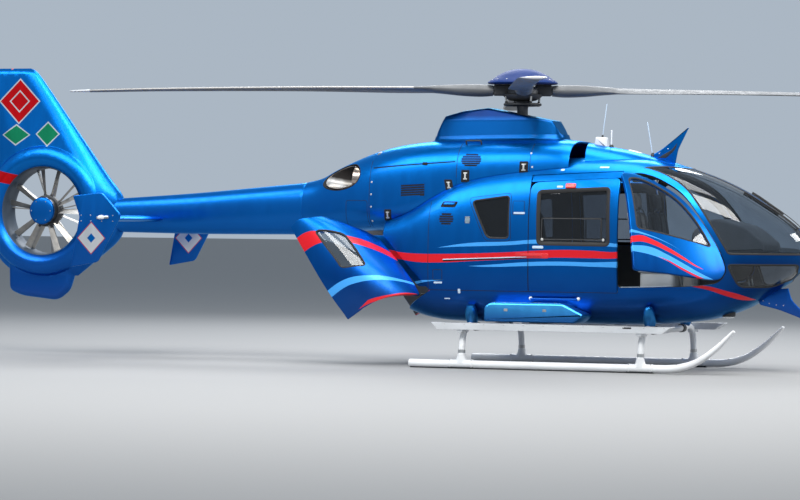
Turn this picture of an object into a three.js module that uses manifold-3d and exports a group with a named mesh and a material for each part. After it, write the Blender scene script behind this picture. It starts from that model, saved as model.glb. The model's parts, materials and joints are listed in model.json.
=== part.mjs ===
// A light twin-engined helicopter with a shrouded tail fan, parked on its skids, as a scene graph.
// Millimetres, +X to the nose, +Y to the machine's left, +Z up. The origin is on the ground under the middle
// of the whole machine, blades included. Inside the code x is counted from the rotor mast.
import * as THREE from "three";
import { mergeVertices } from "three/addons/utils/BufferGeometryUtils.js";
import Module from "manifold-3d";

const wasm = await Module();
wasm.setup();

// Driving sizes
const ROTOR_RADIUS = 5100;
const ROTOR_TURN = 21.5; // degrees, the angle at which the rotor is parked
const BLADE_CHORD = 288;
const TIP_CHORD = 170;
const TIP_LEAD = 20; // from the blade's axis to the front corner of its tip
const HUB_HEIGHT = 3110;
const CAP_TOP = 3351;
const TAIL_REACH = 7060; // from the mast to the fin's trailing edge
const NOSE_REACH = 3330; // from the mast to the nose
const FIN_TOP = 3394;
const SKID_TRACK = 2000;
const WALL = 40; // thickness of a door or cabin wall
const PANE = 8; // thickness of a window pane
const PANE_INSET = 14; // from the skin to the pane's outer face
const DOOR_GAP = 9; // between a door and its frame
const JOINT_GAP = 0.6; // between fixed panels that meet
const FLOOR = 860; // height of the cabin floor
const FAN = { x: -5980, z: 1700, throat: 505, blade: 492 };

// The rotor reaches furthest forward at the back corner of a blade's tip. That sets where the mast stands in the
// part's frame.
const turned = THREE.MathUtils.degToRad(ROTOR_TURN);
const forwardReach = ROTOR_RADIUS * Math.cos(turned) + (TIP_CHORD - TIP_LEAD) * Math.sin(turned);
const MAST_X = (TAIL_REACH - forwardReach) / 2;

// Colours and finishes
const paint = (color, roughness, metalness) => () =>
  new THREE.MeshStandardMaterial({ color, roughness, metalness });
const bluePaint = paint(0x0b3f9c, 0.28, 0.5);
const whitePaint = paint(0xe9ecee, 0.4, 0.0);
const greyPaint = paint(0x7d868e, 0.5, 0.1);
const darkMetal = paint(0x2b2e31, 0.45, 0.7);
const steel = paint(0xb9b2a6, 0.3, 0.9);
const blackPlastic = paint(0x1b1c1f, 0.6, 0.0);
const seatCloth = paint(0x34373c, 0.9, 0.0);
const glass = () =>
  new THREE.MeshStandardMaterial({ color: 0x8fa6b5, roughness: 0.05, transparent: true, opacity: 0.35 });

const part = new THREE.Group();
const airframe = new THREE.Group();
airframe.position.set(MAST_X, 0, 0);
part.add(airframe);

function add(name, geometry, material, parent = airframe) {
  const mesh = new THREE.Mesh(geometry, material());
  mesh.name = name;
  parent.add(mesh);
  return mesh;
}

// A closed geometry as a solid that can be cut and joined
function solid(geometry) {
  const bare = geometry.clone();
  for (const key of Object.keys(bare.attributes)) {
    if (key !== "position") bare.deleteAttribute(key);
  }
  const merged = mergeVertices(bare, 1e-3);
  return new wasm.Manifold(
    new wasm.Mesh({
      numProp: 3,
      vertProperties: new Float32Array(merged.attributes.position.array),
      triVerts: new Uint32Array(merged.index.array),
    }),
  );
}

function geometryOf(made) {
  const mesh = made.getMesh();
  const count = mesh.vertProperties.length / mesh.numProp;
  const position = new Float32Array(count * 3);
  for (let i = 0; i < count; i++) {
    position.set(mesh.vertProperties.subarray(i * mesh.numProp, i * mesh.numProp + 3), i * 3);
  }
  return new THREE.BufferGeometry()
    .setAttribute("position", new THREE.BufferAttribute(position, 3))
    .setIndex(new THREE.BufferAttribute(mesh.triVerts, 1));
}

const join = (...pieces) => pieces.reduce((a, b) => a.add(b));
const cut = (body, ...tools) => tools.reduce((a, b) => a.subtract(b), body);
// The largest body of a cut, without slivers that fall off beside it
const biggest = (made) => made.decompose().sort((a, b) => b.volume() - a.volume())[0];

function block(x0, x1, y0, y1, z0, z1) {
  const box = new THREE.BoxGeometry(x1 - x0, y1 - y0, z1 - z0);
  return solid(box.translate((x0 + x1) / 2, (y0 + y1) / 2, (z0 + z1) / 2));
}

// A rod between two points
function rod(from, to, radius, sides = 12, endRadius = radius) {
  const a = new THREE.Vector3(...from);
  const b = new THREE.Vector3(...to);
  const way = b.clone().sub(a);
  const made = new THREE.CylinderGeometry(endRadius, radius, way.length(), sides);
  const turn = new THREE.Quaternion().setFromUnitVectors(new THREE.Vector3(0, 1, 0), way.normalize());
  return solid(made.applyQuaternion(turn).translate(...a.add(b).multiplyScalar(0.5).toArray()));
}

// An outline of [u, v, corner radius] points, each corner an arc-like curve
function outline(points) {
  const shape = new THREE.Shape();
  const at = (i) => new THREE.Vector2(...points[(i + points.length) % points.length]);
  points.forEach((point, i) => {
    const corner = at(i);
    const radius = point[2] ?? 0;
    const before = at(i - 1).sub(corner);
    const after = at(i + 1).sub(corner);
    const reach = Math.min(radius, before.length() / 2.05, after.length() / 2.05);
    const start = before.setLength(reach).add(corner);
    const end = after.setLength(reach).add(corner);
    if (i === 0) shape.moveTo(start.x, start.y);
    else shape.lineTo(start.x, start.y);
    if (radius > 0) shape.quadraticCurveTo(corner.x, corner.y, end.x, end.y);
  });
  shape.closePath();
  return shape;
}

// A side-view outline (x, z) made solid from y0 to y1
function sidePrism(points, y0, y1, steps = 3) {
  const made = new THREE.ExtrudeGeometry(outline(points), {
    depth: y1 - y0,
    bevelEnabled: false,
    curveSegments: steps,
  });
  return solid(made.rotateX(Math.PI / 2).translate(0, y1, 0));
}

// A plan-view outline (x, y) made solid from z0 to z1
function planPrism(points, z0, z1, steps = 3) {
  const made = new THREE.ExtrudeGeometry(outline(points), {
    depth: z1 - z0,
    bevelEnabled: false,
    curveSegments: steps,
  });
  return solid(made.translate(0, 0, z0));
}

// An outline grown by a distance, moving each edge outwards; the points run round either way
function grown(points, distance) {
  const area = points.reduce((sum, p, i) => {
    const q = points[(i + 1) % points.length];
    return sum + p[0] * q[1] - q[0] * p[1];
  }, 0);
  const way = Math.sign(area) * distance;
  return points.map((p, i) => {
    const a = points[(i + points.length - 1) % points.length];
    const b = points[(i + 1) % points.length];
    const d1 = new THREE.Vector2(p[0] - a[0], p[1] - a[1]).normalize();
    const d2 = new THREE.Vector2(b[0] - p[0], b[1] - p[1]).normalize();
    const n = new THREE.Vector2(d1.y + d2.y, -(d1.x + d2.x)).normalize();
    const scale = way / Math.max(0.4, n.dot(new THREE.Vector2(d1.y, -d1.x)));
    return [p[0] + n.x * scale, p[1] + n.y * scale, Math.max(0, (p[2] ?? 0) + distance)];
  });
}

// A closed body through rings that all have the same number of points
function loft(rings) {
  const n = rings[0].length;
  const vertices = rings.flat(2);
  const faces = [];
  for (let r = 0; r + 1 < rings.length; r++) {
    for (let k = 0; k < n; k++) {
      const a = r * n + k;
      const b = r * n + ((k + 1) % n);
      faces.push(a, b, a + n, b, b + n, a + n);
    }
  }
  [0, rings.length - 1].forEach((r, last) => {
    const ring = rings[r];
    const centre = [0, 1, 2].map((c) => ring.reduce((sum, p) => sum + p[c], 0) / n);
    const hub = vertices.length / 3;
    vertices.push(...centre);
    for (let k = 0; k < n; k++) {
      const a = r * n + k;
      const b = r * n + ((k + 1) % n);
      if (last) faces.push(a, b, hub);
      else faces.push(b, a, hub);
    }
  });
  const geometry = new THREE.BufferGeometry()
    .setAttribute("position", new THREE.Float32BufferAttribute(vertices, 3))
    .setIndex(faces);
  const made = solid(geometry);
  if (made.volume() > 0) return made;
  for (let i = 0; i < faces.length; i += 3) [faces[i + 1], faces[i + 2]] = [faces[i + 2], faces[i + 1]];
  return solid(geometry.setIndex(faces));
}

// Value of a table's column at a place between its rows, on a smooth curve through the rows
function along(table, place, column) {
  const i = Math.min(Math.max(Math.floor(place), 0), table.length - 2);
  const t = place - i;
  const row = (k) => table[Math.min(Math.max(k, 0), table.length - 1)][column];
  const [a, b, c, d] = [row(i - 1), row(i), row(i + 1), row(i + 2)];
  return 0.5 * (2 * b + (c - a) * t + (2 * a - 5 * b + 4 * c - d) * t * t + (3 * b - a - 3 * c + d) * t ** 3);
}

// A ring of a body whose section is a rounded box: power 2 is an ellipse, a high power is nearly square
function sectionRing(table, place, inset, sides) {
  const get = (column) => along(table, place, column);
  const half = get("half") - inset;
  const low = get("low") + inset;
  const high = get("high") - inset;
  const mid = Math.min(Math.max(get("mid"), low + 5), high - 5);
  const bend = 2 / get("power");
  return Array.from({ length: sides }, (_, k) => {
    const angle = (2 * Math.PI * (k + 0.5)) / sides;
    const c = Math.cos(angle);
    const s = Math.sin(angle);
    const rise = Math.abs(s) ** bend * (s > 0 ? high - mid : mid - low);
    return [get("x"), Math.sign(c) * Math.abs(c) ** bend * half, mid + Math.sign(s) * rise];
  });
}

const bodyLoft = (table, places, inset, sides) =>
  loft(places.map((place) => sectionRing(table, place, inset, sides)));

// Places of a table from one row to another at a step
const placesOf = (from, to, step) =>
  Array.from({ length: Math.round((to - from) / step) + 1 }, (_, i) => from + i * step);

// The cabin pod, from its tail under the boom to the nose
const POD = [
  { x: -2330, half: 90, low: 1490, mid: 1535, high: 1570, power: 2.2 },
  { x: -2230, half: 215, low: 1400, mid: 1510, high: 1590, power: 2.3 },
  { x: -2000, half: 370, low: 1180, mid: 1460, high: 1620, power: 2.4 },
  { x: -1700, half: 505, low: 905, mid: 1400, high: 1660, power: 2.6 },
  { x: -1430, half: 600, low: 715, mid: 1350, high: 1720, power: 2.8 },
  { x: -1150, half: 680, low: 580, mid: 1300, high: 1850, power: 3.0 },
  { x: -870, half: 738, low: 520, mid: 1270, high: 2010, power: 3.3 },
  { x: -570, half: 770, low: 503, mid: 1250, high: 2150, power: 3.5 },
  { x: -200, half: 780, low: 500, mid: 1250, high: 2255, power: 3.5 },
  { x: 300, half: 780, low: 500, mid: 1250, high: 2325, power: 3.5 },
  { x: 900, half: 780, low: 500, mid: 1250, high: 2350, power: 3.5 },
  { x: 1500, half: 770, low: 503, mid: 1250, high: 2335, power: 3.5 },
  { x: 1900, half: 748, low: 530, mid: 1260, high: 2260, power: 3.3 },
  { x: 2280, half: 695, low: 580, mid: 1270, high: 2140, power: 3.0 },
  { x: 2630, half: 605, low: 695, mid: 1290, high: 1980, power: 2.7 },
  { x: 2900, half: 490, low: 850, mid: 1310, high: 1815, power: 2.5 },
  { x: 3100, half: 370, low: 975, mid: 1325, high: 1680, power: 2.4 },
  { x: 3235, half: 240, low: 1105, mid: 1330, high: 1565, power: 2.3 },
  { x: 3305, half: 120, low: 1215, mid: 1332, high: 1450, power: 2.2 },
  { x: NOSE_REACH, half: 24, low: 1308, mid: 1332, high: 1356, power: 2.0 },
];
const POD_SIDES = 24;
const podPlaces = placesOf(0, 19, 1);
const podLoft = (inset, from = 0, to = 19) =>
  bodyLoft(
    POD,
    podPlaces.filter((s) => s >= from && s <= to),
    inset,
    POD_SIDES,
  );
const podOuter = podLoft(0);
const podInner = podLoft(WALL, 1, 17);
const podShell = cut(podOuter, podInner);
const paneLayer = (inset) => cut(podLoft(inset, 1, 18), podLoft(inset + PANE, 1, 18));

// Further than the pod and the cowlings reach, for tools that cut right through them
const FAR = 4000;

// Outlines on the pod's side, as [x, z, corner radius]
const PILOT_DOOR = [
  [1402, 922, 50], [1402, 2138, 70], [1580, 2172, 60], [1765, 2128, 120], [2075, 1970, 220],
  [2315, 1662, 300], [2515, 1330, 220], [2585, 1110, 90], [2490, 985, 90], [2200, 948, 200],
];
const PILOT_WINDOW = [
  [1475, 1420, 50], [1462, 2062, 60], [1585, 2096, 60], [1745, 2055, 120], [2025, 1910, 180],
  [2255, 1622, 250], [2410, 1345, 60],
];
const SLIDING_DOOR = [[362, 770, 40], [362, 2068, 110], [1384, 2120, 60], [1384, 850, 30]];
const SLIDING_WINDOW = [[462, 1378, 60], [448, 1975, 60], [1280, 2015, 60], [1296, 1372, 60]];
const AFT_WINDOW = [[-128, 1442, 60], [-322, 1855, 60], [122, 1918, 50], [127, 1440, 50]];
const HINGE_LOW = [-852, 850];
const HINGE_HIGH = [-1462, 1468];
const REAR_SEAM = { x: -1250, z: 620 }; // where the rear doors meet under the tail
const CLAMSHELL = [
  [HINGE_LOW[0], HINGE_LOW[1], 20], [HINGE_HIGH[0], HINGE_HIGH[1], 20], [-1560, 1535, 20], [-2420, 1535, 0],
  [-2420, 560, 0], [REAR_SEAM.x - 60, REAR_SEAM.z - 12, 0],
];
const CLAMSHELL_WINDOW = [[-1488, 955, 50], [-1815, 1302, 50], [-2050, 1312, 40], [-1875, 1140, 60], [-1652, 938, 50]];
const BAND_TOP = 1300;
const CHIN_WINDOW = [[2655, 1150, 50], [3250, 1150, 40], [3190, 1060, 60], [3000, 965, 80], [2710, 980, 60]];
const WINDSHIELD = [
  [1500, 2222, 0], [1625, 2240, 90], [1830, 2180, 160], [2115, 2025, 230], [2365, 1700, 300],
  [2568, 1365, 60], [2600, BAND_TOP, 40], [3500, BAND_TOP, 0], [3500, 2600, 0], [1500, 2600, 0],
];
// The seam between the pod and the cowlings on the roof, and the roof's front edge in plan
const ROOF_LINE = [
  [-1445, 1522, 0], [-1230, 1640, 0], [-870, 1845, 0], [-570, 1975, 0], [-280, 2070, 0], [0, 2115, 0],
  [362, 2150, 0], [1400, 2196, 0], [2300, 2196, 0], [2300, 2700, 0], [-1445, 2700, 0],
];
const ROOF_FRONT = [
  [-1500, -900, 0], [1480, -900, 0], [1530, -560, 90], [1760, -430, 120], [1985, -200, 90],
  [1985, 200, 90], [1760, 430, 120], [1530, 560, 90], [1480, 900, 0], [-1500, 900, 0],
];
const POST = 32; // half width of the windshield's centre post

const roofRegion = (gap) =>
  sidePrism(grown(ROOF_LINE, gap), -FAR, FAR).intersect(planPrism(grown(ROOF_FRONT, gap), 1000, 2700));
const roofZone = roofRegion(0);
const roofClear = roofRegion(JOINT_GAP);

// Cabin floor tub, side walls, roof and nose frame
const cavity = cut(podInner, block(-FAR, FAR, -FAR, FAR, -FAR, FLOOR));
const structure = cut(podOuter, cavity);
const doorPockets = [-1, 1].map((side) =>
  join(
    sidePrism(grown(PILOT_DOOR, DOOR_GAP), ...(side < 0 ? [-FAR, 0] : [0, FAR])),
    sidePrism(grown(SLIDING_DOOR, 4), ...(side < 0 ? [-FAR, 0] : [0, FAR])),
  ),
);
const pocketDepth = podLoft(WALL + 4, 1, 17);
const pockets = cut(join(...doorPockets), pocketDepth);
const BELLY_TOP = [
  [-1320, -200, 0], [3600, -200, 0], [3600, 905, 0], [1392, 905, 0], [1392, FLOOR, 0],
  [HINGE_LOW[0] + 12, FLOOR, 0], [HINGE_LOW[0] + 12, HINGE_LOW[1] - 12, 0],
  [REAR_SEAM.x, REAR_SEAM.z - 10, 0], [-1320, REAR_SEAM.z - 44, 0],
];
const SILL_X = -1225; // the cargo floor's rear lip
const cargoLip = podLoft(WALL + 12, 1, 17).intersect(block(SILL_X, -700, -FAR, FAR, 500, FLOOR - 60));
const bellyZone = sidePrism(BELLY_TOP, -FAR, FAR);
const CROSS_TUBES = [
  { name: "crosstube_front", x: 1740 },
  { name: "crosstube_rear", x: -330 },
];
const TUBE = 36; // cross tube radius
const SKID = 44; // skid tube radius
const HOOK_PLATE = { x: 250, half: 110, low: 488 };
const DECK_PLATE = { x: 550, y: -330, halfLong: 420, halfWide: 150, high: FLOOR + 25 };

function saddle(x, side) {
  return join(
    rod([x, side * 690, 560], [x, side * 690, 760], 62, 16),
    rod([x, side * 690, 760], [x, side * 650, 830], 62, 16, 20),
  );
}
const tubePath = [
  [SKID_TRACK / 2, 78], [985, 250], [950, 362], [880, 440], [760, 470], [560, 455], [0, 448],
];
function crossTube(x, grow = 0) {
  const points = [
    ...tubePath.map(([y, z]) => new THREE.Vector3(x, -y, z)),
    ...tubePath.slice(0, -1).reverse().map(([y, z]) => new THREE.Vector3(x, y, z)),
  ];
  const circle = new THREE.Shape().absarc(0, 0, TUBE + grow, 0, 2 * Math.PI);
  return solid(
    new THREE.ExtrudeGeometry(circle, {
      steps: 24,
      curveSegments: 4,
      extrudePath: new THREE.CatmullRomCurve3(points, false, "centripetal"),
    }),
  );
}

const belly = biggest(
  cut(
    join(
      structure.intersect(bellyZone),
      cargoLip,
      block(
        HOOK_PLATE.x - HOOK_PLATE.half, HOOK_PLATE.x + HOOK_PLATE.half,
        -HOOK_PLATE.half, HOOK_PLATE.half, HOOK_PLATE.low, 560,
      ),
      block(
        DECK_PLATE.x - DECK_PLATE.halfLong, DECK_PLATE.x + DECK_PLATE.halfLong,
        DECK_PLATE.y - DECK_PLATE.halfWide, DECK_PLATE.y + DECK_PLATE.halfWide, FLOOR - 30, DECK_PLATE.high,
      ),
      ...CROSS_TUBES.flatMap(({ x }) => [-1, 1].map((side) => saddle(x, side))),
    ),
    pockets,
    ...CROSS_TUBES.map(({ x }) => crossTube(x, 3)),
  ),
);
add("belly_floor", geometryOf(belly), bluePaint);

const roof = biggest(cut(structure.intersect(roofZone), pockets));
add("cabin_roof", geometryOf(roof), bluePaint);

const WALL_FRONT = 348;
const WALL_OUTLINE = [
  [HINGE_LOW[0] + 2 * DOOR_GAP, FLOOR + 1, 0], [WALL_FRONT + 6, FLOOR + 1, 0], [WALL_FRONT + 6, 2600, 0],
  [-1430, 2600, 0], [HINGE_HIGH[0] + DOOR_GAP + 9, HINGE_HIGH[1] + 2, 0],
];
const POST_OUTLINE = [[1388, FLOOR + 1, 0], [1393, FLOOR + 1, 0], [1393, 2600, 0], [1388, 2600, 0]];
const NOSE_OUTLINE = [[1394, 906, 0], [3600, 906, 0], [3600, 2700, 0], [1394, 2700, 0]];
const sides = [
  { hand: "right", side: -1 },
  { hand: "left", side: 1 },
];
for (const { hand, side } of sides) {
  const reach = side < 0 ? [-FAR, -0.3] : [0.3, FAR];
  const prism = (points, steps) => sidePrism(points, ...reach, steps);
  const wall = biggest(
    cut(structure.intersect(prism(WALL_OUTLINE)), roofClear, prism(AFT_WINDOW), pockets),
  );
  add(`side_wall_${hand}`, geometryOf(wall), bluePaint);
  const pane = paneLayer(PANE_INSET).intersect(prism(grown(AFT_WINDOW, -1)));
  add(`aft_window_${hand}`, geometryOf(biggest(pane)), glass);
}

// Nose frame: door posts, windshield pillars, centre post, the band round the nose and the chin
const screens = [-1, 1].map((side) =>
  cut(
    join(
      sidePrism(WINDSHIELD, ...(side < 0 ? [-FAR, -POST] : [POST, FAR])),
      sidePrism(CHIN_WINDOW, ...(side < 0 ? [-FAR, -POST] : [POST, FAR])),
    ),
    roofClear,
  ),
);
const noseFrame = biggest(
  cut(
    structure.intersect(join(sidePrism(NOSE_OUTLINE, -FAR, FAR), sidePrism(POST_OUTLINE, -FAR, FAR))),
    roofClear,
    pockets,
    ...screens,
  ),
);
add("nose_frame", geometryOf(noseFrame), bluePaint);
for (const { hand, side } of sides) {
  const reach = side < 0 ? [-FAR, -POST - 1] : [POST + 1, FAR];
  const layer = paneLayer(4);
  const screen = cut(layer.intersect(sidePrism(grown(WINDSHIELD, -1), ...reach)), roofClear);
  add(`windshield_${hand}`, geometryOf(biggest(screen)), glass);
  const chin = layer.intersect(sidePrism(grown(CHIN_WINDOW, -1), ...reach));
  add(`chin_window_${hand}`, geometryOf(biggest(chin)), glass);
}

// Sections of the cowlings on the pod's roof, and of the fairing ahead of them
const DECK = [
  { x: -2620, half: 212, low: 1455, mid: 1750, high: 2054, power: 2.4 },
  { x: -2400, half: 262, low: 1470, mid: 1750, high: 2108, power: 2.5 },
  { x: -2215, half: 325, low: 1485, mid: 1760, high: 2202, power: 2.6 },
  { x: -2000, half: 400, low: 1500, mid: 1780, high: 2295, power: 2.7 },
  { x: -1750, half: 470, low: 1512, mid: 1800, high: 2388, power: 2.9 },
  { x: -1480, half: 530, low: 1520, mid: 1830, high: 2462, power: 3.0 },
  { x: -1170, half: 575, low: 1560, mid: 1880, high: 2512, power: 3.1 },
  { x: -800, half: 592, low: 1700, mid: 1960, high: 2537, power: 3.2 },
  { x: -300, half: 598, low: 1800, mid: 2020, high: 2552, power: 3.2 },
  { x: 200, half: 598, low: 1850, mid: 2050, high: 2555, power: 3.2 },
  { x: 600, half: 585, low: 1850, mid: 2060, high: 2546, power: 3.2 },
];
const FAIRING = [
  { x: 640, half: 470, low: 1850, mid: 2070, high: 2540, power: 2.8 },
  { x: 800, half: 478, low: 1850, mid: 2075, high: 2516, power: 2.8 },
  { x: 1050, half: 468, low: 1850, mid: 2080, high: 2474, power: 2.7 },
  { x: 1310, half: 435, low: 1850, mid: 2085, high: 2428, power: 2.6 },
  { x: 1560, half: 370, low: 1850, mid: 2090, high: 2365, power: 2.5 },
  { x: 1800, half: 270, low: 1850, mid: 2095, high: 2302, power: 2.4 },
  { x: 1985, half: 150, low: 1850, mid: 2100, high: 2236, power: 2.2 },
];
const DECK_SIDES = 20;
const COWL_BACK = -1765;
const COWL_SKIN = 18;
const MAST_HOLE = 120;
const roofCut = podOuter.intersect(block(-1452, 2400, -FAR, FAR, 1000, 2700));
const lifted = (made, dz) => made.translate([0, 0, dz]);
const deckBody = (inset) => bodyLoft(DECK, placesOf(0, 10, 1), inset, DECK_SIDES);
// What the rear doors shut against above: the underside of the cowling
const underside = deckBody(-DOOR_GAP);

// Doors, built shut. A hinged door is then turned about its hinge line to where it stands.
function doorSolid(points, window, side) {
  const reach = side < 0 ? [-FAR, -DOOR_GAP / 2] : [DOOR_GAP / 2, FAR];
  const panel = podShell.intersect(sidePrism(points, ...reach));
  return biggest(cut(panel, sidePrism(window, ...reach)));
}
function doorPane(window, side) {
  const reach = side < 0 ? [-FAR, 0] : [0, FAR];
  return biggest(paneLayer(PANE_INSET).intersect(sidePrism(grown(window, -1), ...reach)));
}

for (const { hand, side } of sides) {
  add(`sliding_door_${hand}`, geometryOf(doorSolid(SLIDING_DOOR, SLIDING_WINDOW, side)), bluePaint);
  add(`sliding_window_${hand}`, geometryOf(doorPane(SLIDING_WINDOW, side)), glass);
}

// A group that turns its children about a line by an angle in degrees
function hinged(from, to, degrees) {
  const pivot = new THREE.Group();
  const axis = new THREE.Vector3(...to).sub(new THREE.Vector3(...from)).normalize();
  pivot.quaternion.setFromAxisAngle(axis, THREE.MathUtils.degToRad(degrees));
  const point = new THREE.Vector3(...from);
  pivot.position.copy(point.clone().sub(point.clone().applyQuaternion(pivot.quaternion)));
  airframe.add(pivot);
  return pivot;
}

// Hinge lines run upwards; open angles are where the doors stand, left cockpit door shut
const PILOT_HINGE = { low: [2560, 640, 1290], high: [2322, 672, 1672] };
const CLAM_HINGE = { low: [-850, 790, 860], high: [-1420, 640, 1420] };
const OPEN = { pilot_right: 50, pilot_left: 0, clam_right: 80, clam_left: 80 };
const onSide = ([x, y, z], side) => [x, side * y, z];
for (const { hand, side } of sides) {
  const pilot = hinged(
    onSide(PILOT_HINGE.low, side), onSide(PILOT_HINGE.high, side), side * -OPEN[`pilot_${hand}`],
  );
  add(`pilot_door_${hand}`, geometryOf(doorSolid(PILOT_DOOR, PILOT_WINDOW, side)), bluePaint, pilot);
  add(`pilot_window_${hand}`, geometryOf(doorPane(PILOT_WINDOW, side)), glass, pilot);
  const clam = hinged(
    onSide(CLAM_HINGE.low, side), onSide(CLAM_HINGE.high, side), side * -OPEN[`clam_${hand}`],
  );
  const shell = cut(doorSolid(CLAMSHELL, CLAMSHELL_WINDOW, side), underside);
  add(`rear_door_${hand}`, geometryOf(biggest(shell)), bluePaint, clam);
  add(`rear_window_${hand}`, geometryOf(doorPane(CLAMSHELL_WINDOW, side)), glass, clam);
}

// Cowlings over the engines and gearbox
const cowlZone = block(COWL_BACK, 600, -FAR, FAR, 1400, 2700);
const engineCowl = biggest(
  cut(deckBody(0).intersect(cowlZone), bodyLoft(DECK, placesOf(4, 10, 1), COWL_SKIN, DECK_SIDES)
    .intersect(block(COWL_BACK + 30, 700, -FAR, FAR, 1590, 2700)), lifted(roofCut, 0.8),
    rod([0, 0, 2400], [0, 0, 2700], MAST_HOLE, 20)),
);
add("engine_cowling", geometryOf(engineCowl), bluePaint);

// Exhaust pipes leave the rear cowling backwards, outwards and a little up
const PIPE = { radius: 155, wall: 10 };
const pipeEnds = (side) => ({
  from: [-1790, side * 258, 2084],
  to: [-2420, side * 357, 2159],
});
const rearCowl = cut(
  deckBody(0).intersect(block(-2600, COWL_BACK - JOINT_GAP, -FAR, FAR, 1400, 2700)),
  bodyLoft(DECK, placesOf(0, 5, 1), COWL_SKIN, DECK_SIDES).intersect(block(-2580, -1700, -FAR, FAR, 1400, 2700)),
);
const pipeBores = [-1, 1].map((side) => {
  const { from, to } = pipeEnds(side);
  return rod(from, to, PIPE.radius + PIPE.wall + JOINT_GAP, 20);
});
add("rear_cowling", geometryOf(biggest(cut(rearCowl, ...pipeBores))), bluePaint);
for (const { hand, side } of sides) {
  const { from, to } = pipeEnds(side);
  const a = new THREE.Vector3(...from);
  const way = new THREE.Vector3(...to).sub(a).normalize();
  const start = a.clone().addScaledVector(way, 8).toArray();
  const inner = a.clone().addScaledVector(way, 40).toArray();
  const pipe = cut(rod(start, to, PIPE.radius + PIPE.wall, 20), rod(inner, to, PIPE.radius, 20));
  const trimmed = pipe.intersect(deckBody(-14));
  add(`exhaust_${hand}`, geometryOf(biggest(trimmed)), steel);
}
const fairing = cut(bodyLoft(FAIRING, placesOf(0, 6, 1), 0, DECK_SIDES), lifted(roofCut, 0.8));
add("front_fairing", geometryOf(biggest(fairing)), bluePaint);

// Engines and gearbox as one plain block under the cowling
const engines = join(
  block(-1640, -420, -430, -40, 2170, 2420),
  block(-1640, -420, 40, 430, 2170, 2420),
  block(-1200, -800, -50, 50, 2200, 2380),
  block(-430, 260, -260, 260, 2358, 2500),
);
const engineBlock = cut(engines, lifted(roofCut, 6), cut(block(-1760, 600, -FAR, FAR, 1500, 2700), bodyLoft(
  DECK, placesOf(4, 10, 1), COWL_SKIN + 12, DECK_SIDES)));
add("engine_block", geometryOf(biggest(engineBlock)), darkMetal);

// Mast fairing on top of the cowlings
const MAST_FAIRING = {
  base: [[-1000, -190, 120], [-700, -270, 160], [220, -270, 160], [545, -170, 120], [545, 170, 120],
    [220, 270, 160], [-700, 270, 160], [-1000, 190, 120]],
  side: [[-1005, 2400, 0], [-1005, 2540, 0], [-872, 2815, 30], [-650, 2870, 120], [-360, 2908, 120],
    [410, 2762, 30], [545, 2550, 0], [545, 2400, 0]],
  lean: 0.30,
  hole: 170,
};
function mastFairing() {
  const sections = [2400, 2540, 2650, 2760, 2860, 2950].map((z) => {
    const narrow = Math.max(0, z - 2540) * MAST_FAIRING.lean;
    const base = grown(MAST_FAIRING.base, -narrow).map(([x, y]) => [x, y, 100]);
    return outline(base).getPoints(3).slice(0, -1).map((p) => [p.x, p.y, z]);
  });
  const body = loft(sections).intersect(sidePrism(MAST_FAIRING.side, -FAR, FAR));
  return biggest(cut(body, deckBody(-JOINT_GAP), rod([0, 0, 2300], [0, 0, 3000], MAST_FAIRING.hole, 20)));
}
add("mast_fairing", geometryOf(mastFairing()), bluePaint);

// Tail boom, a hollow tapering tube, closed at its tail end
const BOOM = [
  { x: -2601, half: 214, low: 1456, mid: 1755, high: 2054, power: 2.4 },
  { x: -3300, half: 196, low: 1450, mid: 1720, high: 1988, power: 2.5 },
  { x: -4100, half: 172, low: 1448, mid: 1682, high: 1918, power: 2.5 },
  { x: -5170, half: 134, low: 1460, mid: 1650, high: 1845, power: 2.5 },
];
const BOOM_SKIN = 14;
const BOOM_SIDES = 18;
const boomBody = (inset) => bodyLoft(BOOM, placesOf(0, 3, 1), inset, BOOM_SIDES);
const boomHollow = boomBody(BOOM_SKIN).intersect(block(-4700, 0, -FAR, FAR, -FAR, FAR)).add(
  bodyLoft([{ ...BOOM[0], x: -2590 }, { ...BOOM[0], x: -2700 }], [0, 1], BOOM_SKIN, BOOM_SIDES),
);

// Fin and fan shroud in one: upright sections with a rounded nose, a ring round the fan, a ventral fin
const FIN = [
  { z: 935, front: -5560, back: -6360, half: 60 },
  { z: 1120, front: -5330, back: -6600, half: 150 },
  { z: 1400, front: -5010, back: -6720, half: 185 },
  { z: 1700, front: -4962, back: -6745, half: 190 },
  { z: 1880, front: -4990, back: -6755, half: 185 },
  { z: 2100, front: -5165, back: -6790, half: 170 },
  { z: 2400, front: -5395, back: -6850, half: 135 },
  { z: 2800, front: -5700, back: -6930, half: 100 },
  { z: 3200, front: -6005, back: -7010, half: 75 },
  { z: 3350, front: -6130, back: -7045, half: 62 },
  { z: FIN_TOP, front: -6215, back: -TAIL_REACH, half: 45 },
];
const FIN_SKIN = 14;
function finRing(place, inset) {
  const [z, skinFront, skinBack, skinHalf] = ["z", "front", "back", "half"].map((c) => along(FIN, place, c));
  const [front, back, half] = [skinFront - 2 * inset, skinBack + 4 * inset, skinHalf - inset];
  const count = 16;
  return Array.from({ length: count }, (_, k) => {
    const angle = (2 * Math.PI * k) / count;
    const run = (1 - Math.cos(angle)) / 2;
    const thick = 2.6 * Math.sqrt(run) * (1 - run) ** 0.75 + 0.12 * (1 - run);
    return [front + (back - front) * run, Math.sign(Math.sin(angle)) * half * Math.min(1, thick) *
      (Math.abs(Math.sin(angle)) < 1e-6 ? 0 : 1), z];
  });
}
const finBody = (inset, from = 0, to = 10) => loft(placesOf(from, to, 1).map((place) => finRing(place, inset)));
function turnedRing(profile, sides = 28) {
  const points = [...profile, profile[0]].map(([r, y]) => new THREE.Vector2(r, y));
  return solid(new THREE.LatheGeometry(points, sides).translate(FAN.x, 0, FAN.z));
}
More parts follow.
